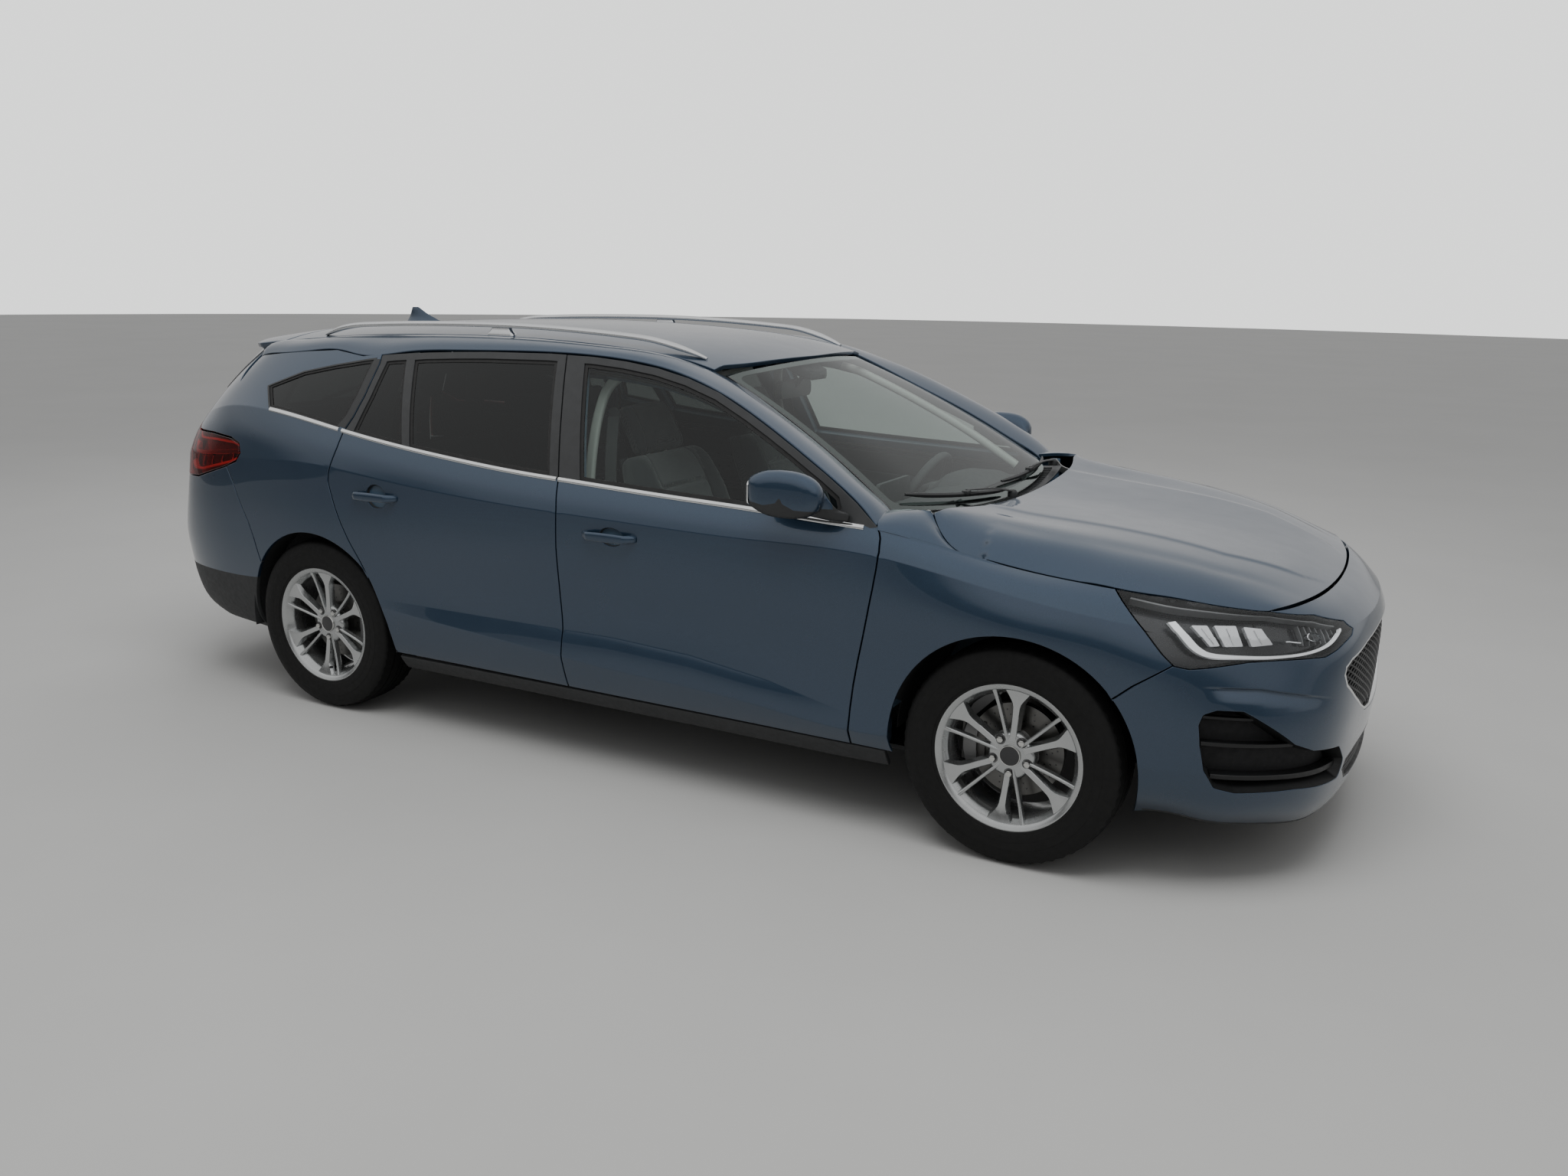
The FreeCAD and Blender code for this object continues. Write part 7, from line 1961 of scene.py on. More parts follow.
def mirror_items():
    V, n = [], 44
    for y, a, b, xc, zc in MIR:
        for j in range(n):
            e = 2 / 2.9
            lv = (.990 - zc) / b
            t0 = asin(max(-.985, min(.985, (abs(lv) ** (1 / e)) * (1 if lv >= 0 else -1)))) if abs(lv) < 1 else (1.4 if lv > 0 else -1.4)
            h_ = n // 2
            t = t0 + (pi - 2 * t0) * j / h_ if j < h_ else pi - t0 + (pi + 2 * t0) * (j - h_) / h_
            c, s = cos(t), sin(t)
            x = a * abs(c) ** e * (1 if c >= 0 else -1)
            z = b * abs(s) ** e * (1 if s >= 0 else -1)
            if x > 0:
                x *= 1 - .10 * (z / b) ** 2          # nose falls away
            if x < 0 and y > .905:
                z *= 1 - .40 * min(1, -x / a) ** 2     # narrower towards the glass
            if x < -.80 * a and y > .905:
                x = -.80 * a - (abs(x) - .80 * a) * .25     # flat face for the glass
            V.append((xc + x + .015 * max(0, z / .0675) * (y > .905) * -.4, y, zc + z))
    F, M = [], []
    m = len(MIR)
    for i in range(m - 1):
        for j in range(n):
            k = (j + 1) % n
            F.append((i * n + j, i * n + k, (i + 1) * n + k, (i + 1) * n + j))
            zc = sum(V[q][2] for q in F[-1]) / 4
            yc = sum(V[q][1] for q in F[-1]) / 4
            xm = sum(V[q][0] for q in F[-1]) / 4
            M.append(1 if j >= n // 2 or yc < .908 else 0)
    F.append(tuple(range(n))[::-1])
    M.append(1)
    F.append(tuple(range((m - 1) * n, m * n)))
    M.append(0)
    V = np.array(V)
    vol = sum(np.dot(V[f[0]], np.cross(V[f[i]], V[f[i + 1]])) for f in F for i in range(1, len(f) - 1))
    if vol < 0:
        F = [tuple(f[::-1]) for f in F]
    a, b, c = smooth_normals(V, F, 50)
    out = [(a, b, [f for f, k in zip(c, M) if k == 0], 0), (a, b, [f for f, k in zip(c, M) if k == 1], 1)]
    # glass: a rounded plate on the rear face
    g = [(-.0015, q[0] * 1.0, q[1]) for q in rounded_rect(.050, .074, .018, 6)]
    secs = []
    for dx, s in ((.004, 1.0), (-.0006, 1.0), (-.0012, .965), (-.0012, .5)):
        secs.append([(.5480 + dx, .9475 + (q[1]) * s, 1.0240 + q[2] * s) for q in g])
    V, F = loft(secs)
    out.append((*solid_data(V, F, 40), 2))
    return out


_mi = [(*shift(i[:3]), i[3]) for i in mirror_items()]
for nm, sd in SIDES:
    it = _mi if sd > 0 else [(*mirrored(i[:3]), i[3]) for i in _mi]
    piece(nm + '_mirror_shell', it, [PAINT, BLACK, CHROME], nm + '_front_door', node=nm + '_mirror')

# sill trims
for nm, sd in SIDES:
    top = line_uv([(-.972, .2600), (-.5, .2625), (0, .2655), (.5, .2665), (.966, .2665)], .03)
    so = run(densify([(top[0][0], .004), (top[-1][0], .004)], .04, False), top[::-1])
    panel(nm + '_sill_trim', Side, so, TEXBLACK, 'body', node='sill_trims' if sd > 0 else None, slot='black_trim', side=sd, depth=.014, r=.004, off=.0015)

# roof rails
def rail_items():
    pts = [(.125, .505, roof_z(.125, .505) + .004), (.085, .512, roof_z(.085, .512) + .012), (.03, .520, roof_z(.03, .520) + .021), (-.03, .527, roof_z(-.03, .527) + .029)]
    for x in (-.10, -.20, -.30, -.45, -.60, -.75, -.90, -1.05, -1.20, -1.32, -1.42):
        pts.append((x, .532, roof_z(x, .532) + .0345))
    pts += [(-1.50, .531, roof_z(-1.50, .531) + .028), (-1.56, .529, roof_z(-1.56, .529) + .016), (-1.60, .528, roof_z(-1.60, .528) + .005)]
    path = catmull(pts, 3)
    sec = [(-.0160, -.0095), (-.0178, -.0040), (-.0172, .0020), (-.0130, .0064), (-.005, .0082), (.005, .0082), (.0130, .0064), (.0172, .0020), (.0178, -.0040), (.0160, -.0095), (.009, -.0105), (-.009, -.0105)]
    n = len(path)
    sc = [(min(1, .40 + .60 * min(k, n - 1 - k) / 7), min(1, .45 + .55 * min(k, n - 1 - k) / 6)) for k in range(n)]
    V, F = sweep(path, sec, scale=sc)
    items = [(*shift(solid_data(V, F, 40)), 0)]
    for x in (-.72,):
        z = roof_z(x, .53)
        secs = []
        for t, w, l in ((-.003, .015, .062), (.004, .0145, .060), (.012, .0115, .050), (.020, .0100, .044), (.027, .0095, .040)):
            if x > 0 or x < -1.4:
                if t > .021:
                    continue
            secs.append([(x + a, .531 + b, roof_z(x + a, .53) + t) for a, b in rounded_rect(2 * l, 2 * w, w * .9, 4)])
        V, F = loft(secs)
        items.append((*shift(solid_data(V, F, 40)), 0))
    return items


_ra = rail_items()
for nm, sd in SIDES:
    it = _ra if sd > 0 else [(*mirrored(i[:3]), i[3]) for i in _ra]
    piece(nm + '_roof_rail', it, [ALU, BLACK], 'body', node='roof_rails' if sd > 0 else None)

# aerial: a swept fin
secs = []
for z, x0, x1, w in ((-.004, -1.690, -1.498, .0235), (.001, -1.689, -1.502, .0225), (.006, -1.684, -1.510, .0180), (.014, -1.677, -1.528, .0130), (.024, -1.670, -1.553, .0100), (.036, -1.664, -1.578, .0078), (.048, -1.659, -1.599, .0058),
                     (.056, -1.656, -1.612, .0040), (.0605, -1.653, -1.622, .0020)):
    s = []
    m = 28
    for j in range(m):
        a = 2 * pi * j / m
        c, q = cos(a), sin(a)
        xm, hl = (x0 + x1) / 2, (x1 - x0) / 2
        x = xm + hl * c
        y = w * q * (1 - .55 * (c * .5 + .5) ** 1.5)
        s.append((x, y, roof_z(x, 0) * .35 + .65 * roof_z(-1.60, 0) + z if z > .001 else roof_z(x, y) + z))
    secs.append(s)
V, F = loft(secs)
d = shift(solid_data(V, F, 50))
finish_piece(make_mesh('aerial_fin', d[0], d[2], PAINT, d[1]), 'body', 'antenna')

# cowl under the windscreen
class Cowl:
    def both(self, u, v):
        t, w = np.asarray(u, float), np.asarray(v, float)
        f = lambda t, w: np.stack([.985 + .085 * t - .10 * (w * w) * (1 - .55 * t), w * .62, .905 + .012 * t + .035 * w * w], 1)
        e = 1e-3
        p = f(t, w)
        n = np.cross(f(t + e, w) - f(t - e, w), f(t, w + e) - f(t, w - e))
        n /= np.linalg.norm(n, axis=1)[:, None]
        n *= np.where(n[:, 2:3] < 0, -1, 1)
        return p, n


class CowlUV(Cowl):
    """Scaled so that both coordinates run in metres."""

    def both(self, u, v):
        return Cowl.both(self, np.asarray(u) / .085, np.asarray(v) / .62)


cv = panel_data(CowlUV(), [(.001, -.60), (.084, -.60), (.084, .60), (.001, .60)], depth=.006, back=.006, step=.02)
items = [(*cv, 0)]
for k in range(-19, 20):
    w = k / 20
    if abs(w) > .93:
        continue
    p, n = CowlUV().both(np.array([.020, .062]), np.array([w * .62, w * .62]))
    secs = [[q + nn_ * h + np.array([0, dy, 0]) for dy, h in ((-.006, -.001), (-.005, .0035), (.005, .0035), (.006, -.001))] for q, nn_ in zip(p, n)]
    V, F = loft(secs)
    items.append((*shift(solid_data(V, F, 30)), 0))
piece('cowl_cover', items, [BLACK], 'body', node='cowl')


# wipers
def ws_base(y):
    xb = curve1([(-b, x) for b, x, z in WS_BASE[:0:-1]] + [(b, x) for b, x, z in WS_BASE], y)
    zb = curve1([(-b, z) for b, x, z in WS_BASE[:0:-1]] + [(b, z) for b, x, z in WS_BASE], y)
    return xb, zb


def wiper_items(y0, y1):
    items = []
    P = []
    for k in range(17):
        t = k / 16
        y = y0 + (y1 - y0) * t
        xb, zb = ws_base(y)
        P.append(np.array([xb - .010 - .032 * t, y, zb + .0245 + .020 * t]))
    blade = [(-.004, -.0075), (-.0012, -.0085), (.0012, -.0085), (.004, -.0075), (.0065, 0), (.0055, .003), (.001, .0068), (-.002, .0068), (-.0060, .002), (-.0065, 0)]
    sc = [min(1, .5 + .5 * min(k, 16 - k) / 1.5) for k in range(17)]
    V, F = sweep(P, blade, scale=sc)
    items.append((*shift(solid_data(V, F, 35)), 0))
    # arm: from the pivot by the cowl up over the middle of the blade
    t = .48
    m = P[8]
    piv_y = y0 - .035 * (1 if y1 > y0 else -1) * -1
    piv_y = y0 + (y1 - y0) * .08
    xb, zb = ws_base(piv_y)
    piv = np.array([xb + .030, piv_y, zb + .020])
    arm = catmull([piv + np.array([0, 0, .004]), piv + (m - piv) * .12 + np.array([0, 0, .010]), piv + (m - piv) * .5 + np.array([.004, 0, .017]), m + np.array([0, 0, .0125])], 5)
    sec = [(-.0085, -.003), (.0085, -.003), (.0085, .001), (.0055, .0045), (-.0055, .0045), (-.0085, .001)]
    scl = [1.0 - .55 * k / (len(arm) - 1) for k in range(len(arm))]
    V, F = sweep(arm, sec, scale=scl)
    items.append((*shift(solid_data(V, F, 30)), 0))
    V, F = lathe([(-.012, .0001), (-.012, .016), (.003, .016), (.010, .0125), (.0125, .008), (.0130, .0001)], tuple(piv), 'z', 24)
    items.append((*shift(solid_data(V, F, 35)), 0))
    bx = box_data(m + np.array([-.010, -.018, -.001]), m + np.array([.010, .018, .0125]), .003)
    items.append((*shift(bx), 0))
    return items


piece('wiper_pair', wiper_items(.58, -.02) + wiper_items(-.06, -.62), [BLACK], 'body', node='wipers')

# wheel arch liners
for nm, sd in SIDES:
    for tag, c, y0, y1, a0, a1 in (('front', ARCH_F, .448, .872, 0, 180), ('rear', ARCH_R, .502, .872, -8, 188)):
        items = []
        n = 40
        prof = []
        ny = 14
        secs = []
        for k in range(n + 1):
            a = radians(a0 + (a1 - a0) * k / n)
            row = []
            for j in range(ny + 1):
                y = y0 + (y1 - y0) * j / ny
                r = .3712 - (.0016 if j % 2 else 0) * (1 if 2 < j < ny - 1 else 0)
                if sd * 0 + y > .80 and (k < 4 or k > n - 4) and tag == 'front':
                    y = min(y, .80)
                row.append((c[0] + r * cos(a), y, c[1] + r * sin(a)))
            secs.append(row)
        V, F = loft(secs, False, False)
        V2 = V.copy()
        cen = np.array([c[0], 0, c[1]])
        dv = V - cen
        dv[:, 1] = 0
        dv /= np.linalg.norm(dv, axis=1)[:, None]
        nV = len(V)
        V = np.concatenate([V, V + dv * .002])
        F2 = [tuple(i + nV for i in f[::-1]) for f in F]
        # side walls close the sheet
        w = []
        for k in range(n):
            i0, i1 = k * (ny + 1), (k + 1) * (ny + 1)
            w.append((i0, i1, i1 + nV, i0 + nV))
            w.append((i1 + ny, i0 + ny, i0 + ny + nV, i1 + ny + nV))
        for j in range(ny):
            w.append((j + 1, j, j + nV, j + 1 + nV))
            b = n * (ny + 1)
            w.append((b + j, b + j + 1, b + j + 1 + nV, b + j + nV))
        d = shift(solid_data(V, F + F2 + w, 30))
        items.append((*d, 0))
        # inner wall
        pts = [(c[0] + .3725 * cos(radians(a0 + (a1 - a0) * k / 40)), c[1] + .3725 * sin(radians(a0 + (a1 - a0) * k / 40))) for k in range(41)]
        if tag == 'rear':
            ww = [[(x, y0 + dy, z) for x, z in pts] for dy in (.001, -.003)]
            V, F = loft(ww)
            items.append((*shift(solid_data(V, F, 30)), 0))
        if sd < 0:
            items = [(*mirrored(i[:3]), i[3]) for i in items]
        piece('%s_%s_arch_liner' % (nm, tag), items, [TEXBLACK], 'body')

# ---------------------------------------------------------------------------
# Front: grille, lower grille, side intakes, lip and lamp insides
# ---------------------------------------------------------------------------
SLAT = plastic_mat('slat_black', (.0050, .0054, .0058), .45, 900, .2)
LAMPBLACK = plastic_mat('lamp_housing', (.018, .019, .021), .28, 900, 0, coat=.5)
LAMPGREY = plastic_mat('lamp_bezel', (.115, .118, .120), .32, 900, 0, coat=.3)
BLADE = metal_mat('lamp_blade', (.74, .75, .76), .30, .04, metallic=.6)
GUIDE = plastic_mat('light_guide', (.86, .87, .88), .22, 900, 0, .02, coat=.6)
REFLECT = metal_mat('reflector', (.86, .87, .88), .08, .02)
AMBER = plastic_mat('amber_lens', (.55, .20, .02), .15, 900, 0, coat=.8)
REDLENS = plastic_mat('red_lens', (.160, .012, .012), .12, 900, 0, coat=1.0)
REDDARK = plastic_mat('red_lens_dark', (.060, .008, .010), .14, 900, 0, coat=1.0)


def face_pt(u, v, d):
    """Point d metres inside the body surface at net coordinates."""
    p, n = FRING.both(np.array([u]), np.array([v]))
    return p[0] - n[0] * d


def surf_bar(line, w0, w1, d0, d1, n=12, closed=False):
    """Bar along a line of (u, v), w wide across it in the surface, from depth d0 (front) to d1 (back)."""
    L = densify(line, .012, closed)
    if closed:
        L = np.vstack([L, L[:1]])
    T = np.gradient(L, axis=0)
    T /= np.hypot(*T.T)[:, None] + 1e-12
    Nn = np.stack([-T[:, 1], T[:, 0]], 1)
    secs = []
    m = len(L)
    for i in range(m):
        w = w0 + (w1 - w0) * i / (m - 1)
        q = [(-w / 2, d1), (-w / 2, d0 + .0016), (-w / 2 + .0016, d0), (w / 2 - .0016, d0), (w / 2, d0 + .0016), (w / 2, d1)]
        uv = np.array([L[i] + Nn[i] * a for a, d in q])
        P, N = FRING.both(uv[:, 0], uv[:, 1])
        secs.append([P[k] - N[k] * q[k][1] for k in range(6)])
    V, F = loft(secs)
    return shift(solid_data(V, F, 35))


def clip_seg(poly, a, b, n=160):
    """Longest part of segment a-b that lies in the outline."""
    t = np.linspace(0, 1, n)
    q = np.array(a)[None] + (np.array(b) - np.array(a))[None] * t[:, None]
    ok = inside(poly, q)
    best, cur = None, None
    for i in range(n):
        if ok[i]:
            cur = (cur[0], i) if cur else (i, i)
            if best is None or cur[1] - cur[0] > best[1] - best[0]:
                best = cur
        else:
            cur = None
    if best is None or best[1] - best[0] < 4:
        return None
    return q[best[0]], q[best[1]]


def both_sides(items):
    return items + [(*mirrored(i[:3]), i[3]) for i in items]


# main grille: bright surround, rhombic mesh, dark back plate as painted shade behind the mesh
items = []
bp = panel_data(Side, inset(GU, -.004), off=-.046, depth=.010, r=.002, step=.035)
items.append((*bp, 0))
mid = MID_U
gi = inset(GU, .010)
lo, hi = gi.min(0), gi.max(0)
pitch = .046
for sgn_ in (1, -1):
    k = -30
    while k < 31:
        c = mid + k * pitch
        h = (hi[1] - lo[1])
        a = (c - sgn_ * h * .9, lo[1] - .01)
        b = (c + sgn_ * h * .9, hi[1] + .01)
        s = clip_seg(gi, a, b)
        if s is not None:
            items.append((*surf_bar([s[0], s[1]], .0085, .0085, .012 if sgn_ > 0 else .0125, .030), 1))
        k += 1
# chrome frame round the opening
fr_o, fr_i = inset(GU, -.0005), inset(GU, .013)
cf = panel_data(Side, inset(GU, .0005), holes=[inset(GU, .0105)], off=-.0012, depth=.013, r=.003, step=.03, edge_step=.009)
items.append((*cf, 2))
# sensor dots above the grille, one each side of the middle
SD = ellipse(np.array([5.683, .775]), .0055, .0055, 18)
items.append((*panel_data(Side, SD, off=-.0006, depth=.004, r=.0006, step=.02), 0))
items.append((*panel_data(Side, np.stack([2 * MID_U - SD[:, 0], SD[:, 1]], 1), off=-.0006, depth=.004, r=.0006, step=.02), 0))
piece('grille_mesh', items, [BLACK_AND_SHADE, SLAT, CHROME], 'body', node='grille')

# lower grille: slats, frame and a dark back plate as painted shade behind them
items = []
items.append((*panel_data(Side, inset(LU, -.004), off=-.046, depth=.010, r=.002, step=.035), 0))
li = inset(LU, .004)
lo, hi = li.min(0), li.max(0)
for v in np.linspace(lo[1] + .016, hi[1] - .012, 5):
    s = clip_seg(li, (lo[0] - .02, v), (hi[0] + .02, v), 400)
    if s is not None:
        items.append((*surf_bar([s[0], s[1]], .007, .007, .010, .034), 1))
for k in range(-8, 9):
    c = MID_U + k * .055
    s = clip_seg(li, (c, lo[1] - .01), (c, hi[1] + .01))
    if s is not None:
        items.append((*surf_bar([s[0], s[1]], .005, .005, .014, .032), 1))
items.append((*panel_data(Side, inset(LU, .0006), holes=[inset(LU, .008)], off=-.0006, depth=.012, r=.002, step=.03), 1))
piece('lower_grille', items, [BLACK_AND_SHADE, SLAT], 'body')

# side intakes: deep pocket and slats
IUi = inset(IU, .003)
for nm, sd in SIDES:
    items = []
    # dark back of the pocket: painted shade
    items.append((*panel_data(Side, inset(IU, -.003), off=-.052, depth=.006, r=.002, step=.03), 0))
    # tapered wall
    rings = []
    for d, k in ((.001, .0008), (.012, .003), (.034, .010), (.051, .014)):
        q = densify(inset(IU, k), .012)[:]
        q = densify(IU, .014)
        q = inset(q, k)
        P, N = FRING.both(q[:, 0], q[:, 1])
        rings.append([P[i] - N[i] * d for i in range(len(P))])
    n0 = min(len(r) for r in rings)
    rings = [r[:n0] for r in rings]
    V, F = loft(rings, True, False)
    V = np.array(V)
    a, b, c = smooth_normals(V, F, 50)
    cen = V.mean(0)
    if np.mean(((cen - a) * b).sum(1)) < 0:
        b = -b
        c = [f[::-1] for f in c]
    items.append((*shift((a, b, c)), 1))
    lo, hi = IUi.min(0), IUi.max(0)
    for v in np.linspace(lo[1] + .030, hi[1] - .034, 3):
        s = clip_seg(IUi, (lo[0] - .02, v), (hi[0] + .02, v), 400)
        if s is not None:
            items.append((*surf_bar([s[0] + np.array([.004, 0]), s[1] - np.array([.004, 0])], .0135, .0135, .020, .046), 1))
    if sd < 0:
        items = [(*mirrored(i[:3]), i[3]) for i in items]
    piece(nm + '_intake', items, [BLACK_AND_SHADE, SLAT], 'body')

# thin lip along the lower front edge
line = [(uvs([(1.66, .25)])[0][0] + .02, .010)]
lp = densify([(U, .012) for U in np.linspace(uvs([(1.72, .24)])[0][0], 2 * MID_U - uvs([(1.72, .24)])[0][0], 60)], .03, False)
items = [(*surf_bar(lp, .012, .012, -.0006, .010), 0)]
piece('front_lip', items, [TEXBLACK], 'body')

# number plate holder left bare on the bumper between the grilles
pv0, pv1 = uvs([(2.2, .36)])[0][1], 0
P = [(-.262, .350), (.262, .350), (.262, .405), (-.262, .405)]

# headlamp insides
LI = inset(LFU, .0035)


def lamp_items():
    items = []
    # back shell follows the outline, dished inwards
    items.append((*panel_data(Side, inset(LFU, .004), off=-.052, depth=.004, r=.001, step=.03), 0))
    q0 = densify(LFU, .012)
    rings = []
    for d, k in ((.0035, .0030), (.012, .0042), (.030, .0060), (.0515, .0075)):
        q = inset(q0, k)
        P, N = FRING.both(q[:, 0], q[:, 1])
        rings.append([P[i] - N[i] * d for i in range(len(P))])
    n0 = min(len(r) for r in rings)
    rings = [r[:n0] for r in rings]
    V, F = loft(rings, True, False)
    a, b, c = smooth_normals(np.array(V), F, 50)
    cen = np.array(V).mean(0)
    if np.mean(((cen - a) * b).sum(1)) < 0:
        b = -b
        c = [f[::-1] for f in c]
    items.append((*shift((a, b, c)), 0))
    return items


LB = LI.min(0), LI.max(0)


def lamp_uv(x, z):
    return uvs([(x, z)])[0]


def lam_line(pts):
    """Line given in side view, in net coordinates."""
    return uvs(densify(pts, .02, False))


def find_cam(px):
    """Returns None."""
    return None


items = lamp_items()
lo, hi = LB
W, H = hi[0] - lo[0], hi[1] - lo[1]


def at_box(a, b):
    """Position in the lamp outline: a along (0 rear, 1 front), b up between its lower and upper edges."""
    u = lo[0] + W * a
    s = clip_seg(LI, (u, lo[1] - .02), (u, hi[1] + .02), 500)
    if s is None:
        return np.array([u, (lo[1] + hi[1]) / 2])
    return np.array([u, s[0][1] + (s[1][1] - s[0][1]) * b])


def box_line(pts, step=.02):
    q = densify([(a, b) for a, b in pts], step, False)
    return np.array([at_box(a, b) for a, b in q])


# pale bezel along the upper rear edge, running forward
items.append((*surf_bar(box_line([(.05, .90), (.30, .93), (.60, .93), (.93, .86)]), .016, .008, .016, .040), 1))
# light guide: wide and falling at the rear, then thin along the bottom and up at the tip
def tapered(line, ws, d0, d1):
    L = np.array(catmull([(*q, 0) for q in line], 6))[:, :2]
    T = np.gradient(L, axis=0)
    T /= np.hypot(*T.T)[:, None] + 1e-12
    Nn = np.stack([-T[:, 1], T[:, 0]], 1)
    k = np.linspace(0, 1, len(L))
    W_ = np.interp(k, np.linspace(0, 1, len(ws)), ws)
    secs = []
    for i in range(len(L)):
        w = W_[i]
        q = [(-w / 2, d1), (-w / 2, d0 + .0016), (-w / 2 + .0016, d0), (w / 2 - .0016, d0), (w / 2, d0 + .0016), (w / 2, d1)]
        uv = np.array([L[i] + Nn[i] * a for a, d in q])
        P, N = FRING.both(uv[:, 0], uv[:, 1])
        secs.append([P[m] - N[m] * q[m][1] for m in range(6)])
    return shift(solid_data(*loft(secs), 35))


g_line = [(4.835, .795), (4.870, .735), (4.915, .668), (4.965, .636), (5.06, .628), (5.17, .628), (5.27, .640), (5.36, .672), (5.43, .722), (5.462, .752)]
items.append((*tapered(g_line, [.028, .030, .030, .026, .017, .013, .012, .012, .011, .008], .009, .024), 2))
items.append((*tapered(g_line, [.036, .038, .038, .034, .025, .020, .018, .018, .017, .014], .019, .034), 3))
# three bright blades, leaning back
for q in (((4.897, .797), (4.950, .808), (4.996, .688), (4.963, .684)), ((4.972, .812), (5.045, .820), (5.072, .688), (5.012, .684)), ((5.070, .814), (5.135, .802), (5.170, .698), (5.100, .686))):
    items.append((*panel_data(Side, round_poly(q, .006), off=-.016, back=.014, depth=.006, r=.002, step=.02), 4))
    c0_, c1_ = (np.array(q[0]) + np.array(q[1])) / 2, (np.array(q[2]) + np.array(q[3])) / 2
    items.append((*surf_bar([c0_ * .85 + c1_ * .15, c1_ * .9 + c0_ * .1], .006, .004, .013, .022), 3))
items.append((*surf_bar([(5.222, .716), (5.262, .706)], .007, .007, .012, .026), 2))
# one projector, towards the front of the lamp
for a_, b_, r_ in ((.785, .50, .027),):
    c = at_box(a_, b_)
    e = ellipse(c, r_, r_, 28)
    P, N = FRING.both(e[:, 0], e[:, 1])
    pc, nc = FRING.both(np.array([c[0]]), np.array([c[1]]))
    rings = []
    for s, d in ((1.20, .030), (1.16, .018), (1.04, .016), (1.0, .024)):
        q = ellipse(c, r_ * s, r_ * s, 28)
        P, N = FRING.both(q[:, 0], q[:, 1])
        rings.append([P[i] - N[i] * d for i in range(28)])
    V, F = loft(rings, True, False)
    a, b, c2 = smooth_normals(np.array(V), F, 40)
    items.append((*shift((a, b, c2)), 3))
    rings = []
    for s, d in ((1.0, .026), (.9, .0205), (.7, .0165), (.4, .0140), (.05, .0130)):
        q = ellipse(c, r_ * s, r_ * s, 28)
        P, N = FRING.both(q[:, 0], q[:, 1])
        rings.append([P[i] - N[i] * d for i in range(28)])
    V, F = loft(rings, True, False)
    a, b, c2 = smooth_normals(np.array(V), F, 80)
    items.append((*shift((a, b, c2)), 5))
# dark ribs on the inner side
for k in range(7):
    a0 = .735 + .030 * k
    items.append((*surf_bar(np.array([at_box(a0, .28), at_box(a0 + .015, .80)]), .004, .004, .030, .046), 1))
for nm, sd in SIDES:
    it = items if sd > 0 else [(*mirrored(i[:3]), i[3]) for i in items]
    piece(nm + '_headlamp_inside', it, [LAMPBLACK, LAMPGREY, GUIDE, REFLECT, BLADE, GLASS_L], 'body')

# ---------------------------------------------------------------------------
# Rear: lamps, plate recess, wiper, reflectors
# ---------------------------------------------------------------------------
GLASS_R = glass_mat('glass_red', (.60, .115, .105), 1.0)
LAMPSILV = plastic_mat('lamp_silver', (.20, .19, .19), .30, 900, 0, coat=.5)


def ring_data(outline, prof, closed_prof=False, angle=40, turn_in=True, step=.014):
    """Band round an outline on the body surface; prof = (inset, depth) pairs."""
    q0 = densify(outline, step)
    rings = []
    for k, d in prof:
        q = inset(q0, k) if abs(k) > 1e-9 else q0
        P, N = FRING.both(q[:, 0], q[:, 1])
        rings.append([P[i] - N[i] * d for i in range(len(P))])
    n0 = min(len(r) for r in rings)
    rings = [r[:n0] for r in rings]
    if closed_prof:
        rings.append(rings[0])
    V, F = loft(rings, True, False)
    V = np.array(V)
    if closed_prof:
        return shift(solid_data(V, F, angle))
    a, b, c = smooth_normals(V, F, angle)
    cen = V.mean(0)
    s = np.mean(((cen - a) * b).sum(1))
    if (s < 0) == turn_in:
        b = -b
        c = [f[::-1] for f in c]
    return shift((a, b, c))


# tail lamps on the body
bucket = [(.004, .006), (.008, .030), (.012, .048)]
LR_lo, LR_hi = LRU.min(0), LRU.max(0)


def chord(poly, u, b):
    s = clip_seg(poly, (u, poly[:, 1].min() - .02), (u, poly[:, 1].max() + .02), 400)
    return None if s is None else s[0] * (1 - b) + s[1] * b


for nm, sd in SIDES:
    items = [(*panel_data(Side, inset(LRU, .006), off=-.047, depth=.004, r=.001, step=.04), 0), (*ring_data(LRU, bucket), 0)]
    us = np.linspace(LR_lo[0] + .010, LR_hi[0] - .012, 30)
    for b, w, m in ((.86, .010, 1), (.16, .010, 1), (.52, .016, 2)):
        L = [chord(LRU, u, b) for u in us]
        L = np.array([q for q in L if q is not None])
        if len(L) > 4:
            items.append((*surf_bar(L, w, w, .014, .034), m))
    for k in range(5):
        u = LR_lo[0] + (LR_hi[0] - LR_lo[0]) * (.28 + .14 * k)
        a, b = chord(LRU, u, .24), chord(LRU, u + .01, .44)
        if a is not None and b is not None:
            items.append((*surf_bar([a, b], .010, .010, .024, .036), 2))
    if sd < 0:
        items = [(*mirrored(i[:3]), i[3]) for i in items]
    piece(nm + '_tail_lamp_inside', items, [LAMPSILV, GUIDE, REFLECT], 'body')

